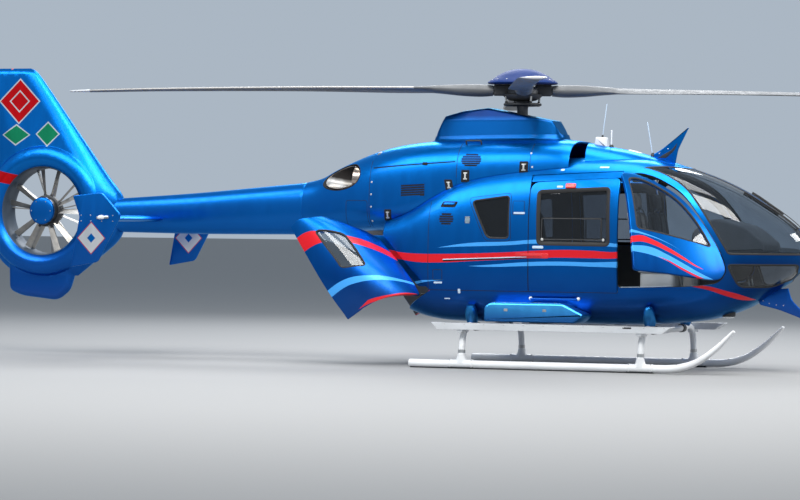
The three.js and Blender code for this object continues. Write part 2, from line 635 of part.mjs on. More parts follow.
// Rings about the fan's axis as [radius, y]: the shroud's skin, its inside, the duct and the duct's wall
const SHROUD = [
  [500, -150], [560, -190], [640, -205], [720, -175], [765, -110], [772, 0], [765, 110], [720, 175], [640, 205],
  [500, 200],
];
const SHROUD_INSIDE = [
  [500, -140], [560, -174], [640, -190], [712, -162], [752, -104], [758, 0], [752, 104], [712, 162], [640, 190],
  [500, 186],
];
const DUCT = [
  [0, -260], [690, -260], [640, -204], [560, -178], [FAN.throat + 8, -130], [FAN.throat, -70], [FAN.throat, 120],
  [FAN.throat + 30, 200], [FAN.throat + 60, 260], [0, 260],
];
const DUCT_WALL = [
  [0, -260], [706, -260], [646, -190], [567, -165], [FAN.throat + 22, -124], [FAN.throat + FIN_SKIN, -68],
  [FAN.throat + FIN_SKIN, 118], [FAN.throat + 44, 196], [FAN.throat + 76, 260], [0, 260],
];
const VENTRAL = [
  [-6470, 1150, 0], [-6455, 755, 60], [-6300, 690, 90], [-5820, 640, 80], [-5665, 760, 60], [-5560, 1080, 0],
];
const VENTRAL_HALF = 70;
const ventral = (inset) => {
  const half = VENTRAL_HALF - inset;
  return sidePrism(inset > 0 ? grown(VENTRAL, -inset) : VENTRAL, -half, half);
};
const finCavity = cut(
  join(finBody(FIN_SKIN, 1, 9), turnedRing(SHROUD_INSIDE), ventral(FIN_SKIN)),
  turnedRing(DUCT_WALL),
);
const fin = biggest(
  cut(join(finBody(0), turnedRing(SHROUD), ventral(0)), turnedRing(DUCT), boomBody(-JOINT_GAP), biggest(finCavity)),
);
add("tail_fin", geometryOf(fin), bluePaint);

// Fixed vanes and gearbox behind the fan
const VANES = 11;
const gearbox = rod([FAN.x, 40, FAN.z], [FAN.x, 190, FAN.z], 165, 20, 120);
const vanes = Array.from({ length: VANES }, (_, k) => {
  const turn = (2 * Math.PI * k) / VANES;
  const vane = new THREE.BoxGeometry(FAN.throat + 4 - 100, 90, 14)
    .rotateX(0.35)
    .translate((FAN.throat + 4 + 100) / 2 - 2, 110, 0)
    .rotateY(turn)
    .translate(FAN.x, 0, FAN.z);
  return solid(vane);
});
const statorZone = turnedRing([[0, 20], [FAN.throat - 0.5, 20], [FAN.throat - 0.5, 230], [0, 230]]);
add("fan_stator", geometryOf(biggest(join(gearbox, ...vanes).intersect(statorZone))), greyPaint);

// Ten-bladed fan on a drum-shaped hub that stands out to the right
const FAN_BLADES = 10;
const fanHub = turnedRing(
  [[0, -172], [90, -168], [142, -158], [160, -140], [164, -112], [164, -34], [188, -24], [188, 28], [0, 28]], 24,
);
const fanBlades = Array.from({ length: FAN_BLADES }, (_, k) => {
  const turn = (2 * Math.PI * (k + 0.3 * (k % 2))) / FAN_BLADES;
  const blade = new THREE.BoxGeometry(FAN.blade - 150, 62, 12)
    .rotateX(0.6)
    .translate((FAN.blade + 150) / 2, -18, 0)
    .rotateY(turn)
    .translate(FAN.x, 0, FAN.z);
  return solid(blade);
});
const fanZone = turnedRing([[0, -180], [FAN.blade, -180], [FAN.blade, 30], [0, 30]]);
add("tail_fan", geometryOf(biggest(join(fanHub, ...fanBlades).intersect(fanZone))), steel);

// Stabiliser across the boom with a swept plate at each end
const STAB = { x0: -4880, x1: -4400, z: 1615, reach: 1312 };
const ENDPLATE = [
  [-4360, 1655, 40], [-4605, 1915, 50], [-4972, 1872, 20], [-4885, 1640, 30], [-4990, 1058, 20],
  [-4650, 1118, 40],
];
const STAB_SECTION = [
  [STAB.x1, STAB.z, 60], [STAB.x1 - 120, STAB.z + 30, 60], [STAB.x0, STAB.z + 6, 0], [STAB.x0, STAB.z - 6, 0],
  [STAB.x1 - 120, STAB.z - 26, 60],
];
const stabiliser = join(
  sidePrism(STAB_SECTION, -STAB.reach, STAB.reach),
  ...[-1, 1].map((side) => sidePrism(ENDPLATE, side * 1318 - 16, side * 1318 + 16)),
);
add("stabiliser", geometryOf(stabiliser), bluePaint);
const boomSlot = sidePrism(grown(STAB_SECTION, JOINT_GAP), -300, 300);
add("tail_boom", geometryOf(biggest(cut(boomBody(0), boomHollow, boomSlot))), bluePaint);

// Skids: a tube with clamps, wear shoes and a tip that sweeps up
const SKID_X = { back: -950, bend: 1980, tip: 2810 };
function skidSolid(side) {
  const y = (side * SKID_TRACK) / 2;
  const low = SKID + 6;
  const tip = [
    { x: SKID_X.bend - 30, z: low, up: SKID, across: SKID },
    { x: 2110, z: low + 6, up: 46, across: 50 },
    { x: 2260, z: low + 36, up: 50, across: 56 },
    { x: 2420, z: low + 108, up: 50, across: 58 },
    { x: 2600, z: low + 242, up: 42, across: 54 },
    { x: SKID_X.tip - 20, z: 478, up: 22, across: 40 },
  ];
  const nose = loft(
    placesOf(0, 5, 1).map((place) => {
      const [x, z, up, across] = ["x", "z", "up", "across"].map((c) => along(tip, place, c));
      const ahead = along(tip, Math.min(place + 0.2, 5), "x") - along(tip, Math.max(place - 0.2, 0), "x");
      const climb = along(tip, Math.min(place + 0.2, 5), "z") - along(tip, Math.max(place - 0.2, 0), "z");
      const lean = Math.atan2(climb, ahead);
      return Array.from({ length: 10 }, (_, k) => {
        const a = (2 * Math.PI * k) / 10;
        const v = Math.sin(a) * up;
        return [x - v * Math.sin(lean), y + Math.cos(a) * across, z + v * Math.cos(lean)];
      });
    }),
  );
  const tube = rod([SKID_X.back, y, low], [SKID_X.bend, y, low], SKID, 12);
  const clamps = CROSS_TUBES.map(({ x }) =>
    join(
      rod([x - 140, y, low], [x + 140, y, low], SKID + 6, 12),
      rod([x, y, low], [x, y, 150], 62, 12, TUBE + 10),
      block(x - 150, x + 150, y - 40, y + 40, 0, 24),
    ),
  );
  return biggest(cut(join(tube, nose, ...clamps), crossTube(CROSS_TUBES[0].x, 0.5), crossTube(CROSS_TUBES[1].x, 0.5)));
}
for (const { hand, side } of sides) add(`skid_${hand}`, geometryOf(skidSolid(side)), whitePaint);
for (const { name, x } of CROSS_TUBES) add(name, geometryOf(crossTube(x)), whitePaint);

// Long boarding steps on brackets from the cross tubes
const STEP = { x0: -660, x1: 2112, inner: 925, outer: 1085, low: 432, high: 506 };
for (const { hand, side } of sides) {
  const [y0, y1] = [side * STEP.inner, side * STEP.outer].sort((a, b) => a - b);
  const plate = sidePrism(
    [[STEP.x0 + 70, STEP.low, 10], [STEP.x0, STEP.high, 10], [STEP.x1, STEP.high, 30],
      [STEP.x1 - 110, STEP.low, 60]], y0, y1, 3,
  );
  const hollow = block(STEP.x0 + 90, STEP.x1 - 170, y0 + 8, y1 - 8, STEP.low - 20, STEP.high - 8);
  const brackets = CROSS_TUBES.map(({ x }) => {
    const [b0, b1] = [side * 850, side * 1070].sort((a, b) => a - b);
    return block(x - 28, x + 28, b0, b1, 398, 470);
  });
  const tubes = CROSS_TUBES.map(({ x }) => crossTube(x, 0.6));
  add(`step_${hand}`, geometryOf(biggest(cut(join(cut(plate, hollow), ...brackets), ...tubes))), whitePaint);
}

// Cockpit and cabin furniture
const PANEL = [
  [2080, 1290, 30], [2120, 1560, 40], [2360, 1690, 40], [2700, 1600, 60], [2930, 1420, 60], [2930, 1330, 30],
  [2420, 1290, 30], [2420, FLOOR + 1, 0], [2130, FLOOR + 1, 0], [2130, 1200, 40],
];
const innerRoom = podLoft(WALL + 30, 1, 17);
const panel = join(
  sidePrism(PANEL.slice(0, 7), -330, 330),
  sidePrism([[2130, FLOOR + 1, 0], [2420, FLOOR + 1, 0], [2420, 1320, 0], [2130, 1320, 0]], -140, 140),
).intersect(join(innerRoom, block(2000, 2500, -200, 200, FLOOR + 1, 1300)));
add("instrument_panel", geometryOf(biggest(panel)), blackPlastic);

function seatSolid(x, y) {
  const pan = sidePrism(
    [[x, 1110, 20], [x - 20, 1200, 40], [x + 440, 1225, 50], [x + 470, 1150, 30], [x + 430, 1100, 20]],
    y - 225, y + 225,
  );
  const back = sidePrism(
    [[x - 30, 1130, 30], [x + 70, 1180, 30], [x - 40, 1780, 60], [x - 130, 1780, 40], [x - 70, 1130, 20]],
    y - 215, y + 215,
  );
  const head = sidePrism([[x - 55, 1760, 20], [x - 60, 1960, 40], [x - 150, 1965, 40], [x - 140, 1760, 20]],
    y - 130, y + 130);
  const legs = join(
    block(x + 20, x + 60, y - 190, y - 150, FLOOR + 1, 1120),
    block(x + 20, x + 60, y + 150, y + 190, FLOOR + 1, 1120),
    block(x + 360, x + 400, y - 190, y - 150, FLOOR + 1, 1120),
    block(x + 360, x + 400, y + 150, y + 190, FLOOR + 1, 1120),
    block(x + 20, x + 400, y - 190, y - 150, FLOOR + 1, 890),
    block(x + 20, x + 400, y + 150, y + 190, FLOOR + 1, 890),
  );
  return join(pan, back, head, legs);
}
const SEATS = [
  { name: "pilot_seat_right", x: 1560, y: -370 },
  { name: "pilot_seat_left", x: 1560, y: 370 },
  { name: "cabin_seat", x: 90, y: 370 },
];
for (const { name, x, y } of SEATS) add(name, geometryOf(seatSolid(x, y)), seatCloth);

// Equipment pod on the right side below the sliding door
const SIDE_POD = [[-110, 520, 30], [-110, 690, 30], [-40, 735, 30], [800, 735, 40], [1060, 610, 40], [940, 520, 30]];
const sidePod = cut(sidePrism(SIDE_POD, -905, -600), podLoft(-JOINT_GAP));
add("side_pod", geometryOf(biggest(sidePod)), bluePaint);

// Wire cutters, above the cockpit and under the nose
const topCutter = cut(
  sidePrism([[1540, 2300, 0], [1520, 2392, 20], [1640, 2450, 60], [1955, 2690, 8], [1830, 2440, 40], [1740, 2300, 0]],
    -14, 14),
  bodyLoft(FAIRING, placesOf(0, 6, 1), -JOINT_GAP, DECK_SIDES),
);
add("wire_cutter_top", geometryOf(biggest(topCutter)), bluePaint);
const lowCutter = cut(
  sidePrism([[2760, 900, 0], [2790, 740, 20], [3020, 690, 60], [3420, 545, 8], [3150, 800, 50], [3060, 980, 0]],
    -14, 14),
  podLoft(-JOINT_GAP),
);
add("wire_cutter_low", geometryOf(biggest(lowCutter)), bluePaint);

// Main rotor: mast and hub, domed cap, control plate with its links, and four blades
const rotor = new THREE.Group();
rotor.rotation.z = turned;
airframe.add(rotor);
const BLADES = 4;
const ARM = { reach: 330, width: 150, height: 70 }; // the hub's arms, one to a blade
const LINK_TURN = 0.42; // radians, from a blade's axis to its control link
const arms = Array.from({ length: BLADES }, (_, k) => {
  const turn = (k * Math.PI) / 2;
  const arm = new THREE.BoxGeometry(ARM.reach, ARM.width, ARM.height).translate(ARM.reach / 2, 0, HUB_HEIGHT);
  return solid(arm.rotateZ(turn));
});
const hub = join(
  rod([0, 0, 2540], [0, 0, HUB_HEIGHT], 62, 20),
  rod([0, 0, HUB_HEIGHT - 90], [0, 0, HUB_HEIGHT + 40], 190, 24, 170),
  rod([0, 0, HUB_HEIGHT], [0, 0, HUB_HEIGHT + 65], 110, 20),
  ...arms,
);
add("rotor_hub", geometryOf(hub), darkMetal, rotor);
const capProfile = [[0, HUB_HEIGHT + 66], [200, HUB_HEIGHT + 66], [392, HUB_HEIGHT + 70], [396, HUB_HEIGHT + 82],
  [330, 3238], [250, 3292], [150, 3332], [60, CAP_TOP - 3], [0, CAP_TOP]];
const cap = new THREE.LatheGeometry(capProfile.map((p) => new THREE.Vector2(...p)), 28).rotateX(Math.PI / 2);
add("hub_cap", geometryOf(solid(cap)), bluePaint, rotor);
const plate = cut(
  join(
    rod([0, 0, 2926], [0, 0, 2966], 215, 24),
    ...Array.from({ length: BLADES }, (_, k) => {
      const a = (k * Math.PI) / 2 + LINK_TURN;
      const [c, s] = [Math.cos(a), Math.sin(a)];
      return rod([200 * c, 200 * s, 2930], [214 * c, 214 * s, HUB_HEIGHT - 66], 15, 8);
    }),
  ),
  rod([0, 0, 2500], [0, 0, HUB_HEIGHT], 62.5, 20),
  rod([0, 0, HUB_HEIGHT - 92], [0, 0, HUB_HEIGHT + 40], 191, 24, 171),
);
add("control_plate", geometryOf(biggest(plate)), darkMetal, rotor);

// A blade's sections: distance from the mast, chord, thickness, twist and height above the hub
const BLADE = [
  { r: 332, chord: 190, thick: 120, twist: 0, rise: -8, lead: 95 },
  { r: 480, chord: 205, thick: 140, twist: 2, rise: -8, lead: 100 },
  { r: 700, chord: 190, thick: 128, twist: 6, rise: -4, lead: 92 },
  { r: 960, chord: 200, thick: 84, twist: 9, rise: 0, lead: 88 },
  { r: 1250, chord: BLADE_CHORD, thick: 46, twist: 11, rise: 2, lead: 85 },
  { r: 2500, chord: BLADE_CHORD, thick: 38, twist: 7, rise: -4, lead: 82 },
  { r: 4000, chord: BLADE_CHORD, thick: 34, twist: 3, rise: -30, lead: 82 },
  { r: 4800, chord: BLADE_CHORD, thick: 30, twist: 1, rise: -54, lead: 80 },
  { r: ROTOR_RADIUS, chord: TIP_CHORD, thick: 16, twist: 0, rise: -64, lead: TIP_LEAD },
];
const bladeRing = ({ r, chord, thick, twist, rise, lead }) => {
  const count = 14;
  const pitch = THREE.MathUtils.degToRad(twist);
  return Array.from({ length: count }, (_, k) => {
    const a = (2 * Math.PI * k) / count;
    const back = lead - (chord * (1 - Math.cos(a))) / 2;
    const full = Math.abs(Math.sin(a)) ** 0.8 * (0.75 + 0.25 * Math.cos(a));
    const up = (Math.sign(Math.sin(a)) * full * thick) / 2;
    return [r, back * Math.cos(pitch) - up * Math.sin(pitch), HUB_HEIGHT + rise + back * Math.sin(pitch) +
      up * Math.cos(pitch)];
  });
};
const bladeSolid = loft(BLADE.map(bladeRing));
for (let k = 0; k < BLADES; k++) {
  const holder = new THREE.Group();
  holder.rotation.z = (k * Math.PI) / 2;
  rotor.add(holder);
  add(`rotor_blade_${k + 1}`, geometryOf(bladeSolid), greyPaint, holder);
}

export default part;
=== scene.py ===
import json

import bpy
import numpy as np
from mathutils import Matrix
from mathutils.geometry import delaunay_2d_cdt


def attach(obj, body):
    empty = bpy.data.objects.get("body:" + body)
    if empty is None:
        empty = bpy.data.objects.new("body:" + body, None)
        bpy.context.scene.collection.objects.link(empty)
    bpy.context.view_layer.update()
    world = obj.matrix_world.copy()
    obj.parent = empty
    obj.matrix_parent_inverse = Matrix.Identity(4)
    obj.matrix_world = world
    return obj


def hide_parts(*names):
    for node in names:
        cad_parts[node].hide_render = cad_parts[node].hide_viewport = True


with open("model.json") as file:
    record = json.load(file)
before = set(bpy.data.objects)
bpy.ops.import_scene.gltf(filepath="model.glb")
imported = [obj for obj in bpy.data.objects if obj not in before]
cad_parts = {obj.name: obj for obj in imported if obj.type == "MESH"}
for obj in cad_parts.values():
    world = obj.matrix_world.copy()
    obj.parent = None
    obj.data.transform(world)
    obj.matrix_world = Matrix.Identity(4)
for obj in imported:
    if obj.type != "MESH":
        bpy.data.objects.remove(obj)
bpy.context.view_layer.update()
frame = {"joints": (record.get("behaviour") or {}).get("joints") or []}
MAST = next(j["pos_m"][0] for j in frame["joints"] if j["name"] == "main_rotor_spin")

# Camera, low and far off to the machine's right front, with a long lens and a slight roll. Its place and
# lens were solved from points of known size in the photo.
AZIMUTH = np.radians(21.5)
ROLL = 0.0107
PITCH = 27 / 3548
eye = np.array([MAST + 13.39082, -37.71666, 1.6])
right = np.array([np.cos(AZIMUTH), np.sin(AZIMUTH), 0])
ahead = np.array([-np.sin(AZIMUTH) * np.cos(PITCH), np.cos(AZIMUTH) * np.cos(PITCH), -np.sin(PITCH)])
up = np.cross(right, ahead)
camera_data = bpy.data.cameras.new("camera")
camera_data.lens = 159.66
camera_data.sensor_width = 36
camera_data.clip_end = 1000
camera = bpy.data.objects.new("camera", camera_data)
axes = np.column_stack([
    right * np.cos(ROLL) + up * np.sin(ROLL),
    up * np.cos(ROLL) - right * np.sin(ROLL),
    -ahead,
    eye,
])
camera.matrix_world = Matrix([*axes.tolist(), [0, 0, 0, 1]])
bpy.context.scene.collection.objects.link(camera)
bpy.context.scene.camera = camera

# Floor and light: a wide pale studio floor, a pale room all round, and large soft lamps above and beside.
# The strongest lamp stands ahead and to the machine's right.


def new_material(name):
    """A material with its Principled shader, as (material, node tree, shader)."""
    made = bpy.data.materials.new(name)
    made.use_nodes = True
    return made, made.node_tree, made.node_tree.nodes["Principled BSDF"]


def add_node(tree, kind, inputs=None, **settings):
    """A shader node with settings; inputs maps a socket's name or number to a value or to another
    socket."""
    node = tree.nodes.new(f"ShaderNode{kind}")
    for key, value in settings.items():
        setattr(node, key, value)
    for key, value in (inputs or {}).items():
        if isinstance(value, bpy.types.NodeSocket):
            tree.links.new(value, node.inputs[key])
        else:
            node.inputs[key].default_value = value
    return node


FLOOR_REACH = 260
floor_mesh = bpy.data.meshes.new("studio_floor")
floor_grid = np.linspace(-1, 1, 25)
floor_x, floor_y = np.meshgrid(floor_grid ** 3 * FLOOR_REACH, floor_grid ** 3 * FLOOR_REACH, indexing="ij")
floor_points = np.stack([floor_x, floor_y, 0 * floor_x - 0.001], -1).reshape(-1, 3)
cells = np.arange(24 * 25).reshape(24, 25)[:, :24].ravel()
floor_faces = np.stack([cells, cells + 25, cells + 26, cells + 1], 1)
floor_mesh.from_pydata(floor_points.tolist(), [], floor_faces.tolist())
studio_floor = bpy.data.objects.new("studio_floor", floor_mesh)
bpy.context.scene.collection.objects.link(studio_floor)
floor_paint, tree, shader = new_material("studio_floor")
speckle = add_node(tree, "TexNoise", {"Scale": 0.6, "Detail": 4.0})
tint = add_node(tree, "ValToRGB", {"Fac": speckle.outputs["Fac"]})
tint.color_ramp.elements[0].color = (0.25, 0.252, 0.255, 1)
tint.color_ramp.elements[1].color = (0.29, 0.29, 0.29, 1)
tree.links.new(tint.outputs["Color"], shader.inputs["Base Color"])
shader.inputs["Roughness"].default_value = 0.85
floor_mesh.materials.append(floor_paint)

room = bpy.data.worlds.new("room")
room.use_nodes = True
room.node_tree.nodes["Background"].inputs["Color"].default_value = (0.74, 0.86, 1.0, 1)
room.node_tree.nodes["Background"].inputs["Strength"].default_value = 0.55
bpy.context.scene.world = room
bpy.context.scene.view_settings.view_transform = "Standard"
# lamp: place, what it points at, width, depth, watts, colour
LAMPS = [
    ((6, -12, 16), (0.5, 0, 1.5), 14, 8, 3900, (1.0, 0.97, 0.92)),
    ((-8, -10, 13), (-2, 0, 1.5), 12, 7, 1500, (0.93, 0.96, 1.0)),
    ((1, 1, 15), (0, 0, 1), 14, 6, 1500, (1.0, 1.0, 1.0)),
    ((-4, 14, 11), (0, 0, 1.5), 10, 5, 1500, (0.95, 0.97, 1.0)),
    ((14, 5, 8), (2, 0, 1.5), 6, 4, 900, (1.0, 0.98, 0.95)),
]
for number, (place, target, width, depth, watts, colour) in enumerate(LAMPS):
    lamp_data = bpy.data.lights.new(f"lamp_{number}", "AREA")
    lamp_data.shape = "RECTANGLE"
    lamp_data.size = width
    lamp_data.size_y = depth
    lamp_data.energy = watts
    lamp_data.color = colour
    lamp = bpy.data.objects.new(f"lamp_{number}", lamp_data)
    back = np.array(place, float) - np.array(target, float)
    back /= np.linalg.norm(back)
    across = np.cross([0, 0, 1], back)
    across /= np.linalg.norm(across)
    turn = np.column_stack([across, np.cross(back, across), back, place])
    lamp.matrix_world = Matrix([*turn.tolist(), [0, 0, 0, 1]])
    bpy.context.scene.collection.objects.link(lamp)

# Paint and finishes: metallic blue lacquer with red and pale blue stripes, used on every painted panel.
# The stripes follow the place that a panel has when its door is shut.


def new_group(name, inputs, outputs):
    """An empty node group, as (group, its input node, its output node); sockets are (name, kind,
    default)."""
    group = bpy.data.node_groups.new(name, "ShaderNodeTree")
    for socket, kind, default in inputs:
        made = group.interface.new_socket(socket, in_out="INPUT", socket_type=f"NodeSocket{kind}")
        if default is not None:
            made.default_value = default
    for socket, kind in outputs:
        group.interface.new_socket(socket, in_out="OUTPUT", socket_type=f"NodeSocket{kind}")
    return group, group.nodes.new("NodeGroupInput"), group.nodes.new("NodeGroupOutput")


# Soft clouds of dust and wear, and the fine grain of a surface, on Object coordinates
wear_group, wear_in, wear_out = new_group(
    "dust_and_grain",
    [("Cloud Scale", "Float", 1.5), ("Grain Scale", "Float", 400.0)],
    [("Cloud", "Float"), ("Streak", "Float"), ("Grain", "Float")],
)
spot = add_node(wear_group, "TexCoord").outputs["Object"]
cloud = add_node(wear_group, "TexNoise", {"Vector": spot, "Scale": wear_in.outputs["Cloud Scale"],
                                          "Detail": 5.0})
stretch = add_node(wear_group, "Mapping", {"Vector": spot, "Scale": (1.0, 1.0, 0.12)})
streak = add_node(wear_group, "TexNoise", {"Vector": stretch.outputs[0], "Scale": 14.0, "Detail": 6.0})
grain = add_node(wear_group, "TexNoise", {"Vector": spot, "Scale": wear_in.outputs["Grain Scale"],
                                          "Detail": 2.0})
wear_group.links.new(cloud.outputs["Fac"], wear_out.inputs["Cloud"])
wear_group.links.new(streak.outputs["Fac"], wear_out.inputs["Streak"])
wear_group.links.new(grain.outputs["Fac"], wear_out.inputs["Grain"])


def worn(tree, cloud_scale, grain_scale):
    """The dust and grain group placed in a material with its own scales."""
    node = tree.nodes.new("ShaderNodeGroup")
    node.node_tree = wear_group
    node.inputs["Cloud Scale"].default_value = cloud_scale
    node.inputs["Grain Scale"].default_value = grain_scale
    return node


def mix_colour(tree, amount, a, b):
    """Colour socket of a mix of two colours or colour sockets."""
    return add_node(tree, "Mix", {0: amount, 6: a, 7: b}, data_type="RGBA").outputs[2]


def spread(tree, value, low, high, to_low, to_high):
    """A value from low to high mapped to to_low to to_high, held at both ends."""
    return add_node(tree, "MapRange", {0: value, 1: low, 2: high, 3: to_low, 4: to_high}).outputs[0]


def calc(tree, operation, a, b=0.5):
    """Value of a sum, product, comparison or other operation on one or two values or sockets."""
    return add_node(tree, "Math", {0: a, 1: b}, operation=operation).outputs[0]


def finish_of(name, colour, rough, metal=0.0, coat=0.0, cloud=1.5, grain=300.0, bump=0.1, tone=0.16,
              worn_rough=0.12):
    """A worn finish: colour darkened by clouds of dust and streaks, roughness varied by them, and grain in
    the bump."""
    made, tree, shader = new_material(name)
    wear = worn(tree, cloud, grain)
    dark = tuple(c * (1 - tone) for c in colour) + (1,)
    light = tuple(min(1, c * (1 + tone)) for c in colour) + (1,)
    tinted = mix_colour(tree, spread(tree, wear.outputs["Cloud"], 0.3, 0.7, 0.0, 1.0), dark, light)
    streaked = mix_colour(tree, spread(tree, wear.outputs["Streak"], 0.55, 0.8, 0.0, tone), tinted, dark)
    tree.links.new(streaked, shader.inputs["Base Color"])
    rough_value = spread(tree, wear.outputs["Cloud"], 0.3, 0.7, rough, min(1, rough + worn_rough))
    tree.links.new(rough_value, shader.inputs["Roughness"])
    shader.inputs["Metallic"].default_value = metal
    shader.inputs["Coat Weight"].default_value = coat
    shader.inputs["Coat Roughness"].default_value = 0.08
    height = add_node(tree, "Bump", {"Height": wear.outputs["Grain"], "Strength": bump, "Distance": 0.0006})
    tree.links.new(height.outputs[0], shader.inputs["Normal"])
    return made


# A stripe is held between two height lines, as rows of [x from the mast, lower z, upper z] in metres.
RED_STRIPE = [
    [-2.33, 1.215, 1.335], [-2.12, 1.205, 1.318], [-1.99, 1.19, 1.283], [-1.80, 1.196, 1.288],
    [-1.59, 1.204, 1.308], [-1.40, 1.208, 1.300], [-1.19, 1.190, 1.272], [-0.98, 1.166, 1.260],
    [-0.68, 1.165, 1.261], [-0.28, 1.187, 1.272], [0.11, 1.208, 1.290], [0.62, 1.236, 1.320],
    [0.85, 1.238, 1.324], [1.10, 1.236, 1.318], [1.37, 1.237, 1.309], [1.53, 1.262, 1.338],
    [1.63, 1.248, 1.314], [1.82, 1.191, 1.245], [2.02, 1.121, 1.157], [2.18, 1.070, 1.086],
    [2.28, 1.058, 1.058],
]
PALE_UPPER = [
    [-0.73, 1.329, 1.329], [-0.48, 1.343, 1.370], [-0.28, 1.350, 1.392], [0.11, 1.366, 1.408],
    [0.42, 1.388, 1.432], [0.85, 1.392, 1.436], [1.37, 1.361, 1.399], [1.55, 1.352, 1.372],
    [1.80, 1.300, 1.308], [2.02, 1.218, 1.218],
]
PALE_LOWER = [
    [-0.36, 1.130, 1.130], [-0.08, 1.124, 1.150], [0.31, 1.138, 1.182], [0.62, 1.148, 1.194],
    [0.81, 1.149, 1.195], [1.10, 1.143, 1.192], [1.37, 1.136, 1.202], [1.61, 1.120, 1.214],
    [1.81, 1.074, 1.155], [2.01, 1.000, 1.081], [2.22, 0.955, 1.010], [2.43, 0.966, 0.972],
]
THIN_RED = [
    [1.69, 1.115, 1.115], [1.81, 1.076, 1.090], [2.01, 0.996, 1.021], [2.22, 0.943, 0.967],
    [2.40, 0.902, 0.946], [2.56, 0.842, 0.901], [2.71, 0.797, 0.853], [2.80, 0.800, 0.806],
]
PALE_ARC = [
    [-1.62, 0.755, 0.838], [-1.55, 0.785, 0.847], [-1.45, 0.803, 0.859], [-1.29, 0.842, 0.892],
    [-1.13, 0.888, 0.923], [-0.96, 0.930, 0.960], [-0.80, 0.955, 0.968], [-0.62, 0.972, 0.972],
]
RED_ARC = [
    [-1.28, 0.640, 0.672], [-1.13, 0.695, 0.725], [-1.06, 0.740, 0.762], [-0.95, 0.795, 0.812],
    [-0.80, 0.861, 0.861],
]
stripe_group, stripe_in, stripe_out = new_group("stripes", [("Place", "Vector", None)],
                                                [("Red", "Float"), ("Pale", "Float")])
place_parts = add_node(stripe_group, "SeparateXYZ", {0: stripe_in.outputs["Place"]})


def stripe_mask(rows, edge=0.0012):
    """1 between a stripe's two height lines, smooth curves through its rows, and 0 outside them."""
    rows = np.array(rows)
    first, last = rows[0, 0] + MAST, rows[-1, 0] + MAST
    lines = []
    for column in (1, 2):
        along = add_node(stripe_group, "MapRange",
                         {0: place_parts.outputs["X"], 1: first, 2: last, 3: 0.0, 4: 1.0})
        line = add_node(stripe_group, "FloatCurve", {"Value": along.outputs[0]})
        curve = line.mapping.curves[0]
        places = (rows[:, 0] - rows[0, 0]) / (rows[-1, 0] - rows[0, 0])
        heights = rows[:, column] / 2
        curve.points[0].location = (places[0], heights[0])
        curve.points[1].location = (places[-1], heights[-1])
        for place, height in zip(places[1:-1], heights[1:-1]):
            curve.points.new(place, height)
        line.mapping.update()
        lines.append(calc(stripe_group, "MULTIPLY", line.outputs[0], 2.0))
    height = place_parts.outputs["Z"]
    above = calc(stripe_group, "SUBTRACT", height, lines[0])
    below = calc(stripe_group, "SUBTRACT", lines[1], height)
    nearer = calc(stripe_group, "MINIMUM", above, below)
    inside = add_node(stripe_group, "MapRange", {0: nearer, 1: 0.0, 2: edge, 3: 0.0, 4: 1.0}).outputs[0]
    begun = calc(stripe_group, "GREATER_THAN", place_parts.outputs["X"], first)
    ended = calc(stripe_group, "LESS_THAN", place_parts.outputs["X"], last)
    reach = calc(stripe_group, "MULTIPLY", begun, ended)
    return calc(stripe_group, "MULTIPLY", inside, reach)


def either(masks):
    """The highest of several masks."""
    total = masks[0]
    for mask in masks[1:]:
        total = calc(stripe_group, "MAXIMUM", total, mask)
    return total


stripe_group.links.new(either([stripe_mask(rows) for rows in (RED_STRIPE, THIN_RED, RED_ARC)]),
                       stripe_out.inputs["Red"])
stripe_group.links.new(either([stripe_mask(rows) for rows in (PALE_UPPER, PALE_LOWER, PALE_ARC)]),
                       stripe_out.inputs["Pale"])

BLUE = (0.001, 0.150, 0.53, 1)
# the body blue in painted shade, low on the machine
BLUE_IN_SHADE = (0.001, 0.055, 0.27, 1)
RED = (0.70, 0.006, 0.010, 1)
PALE_BLUE = (0.06, 0.36, 0.86, 1)


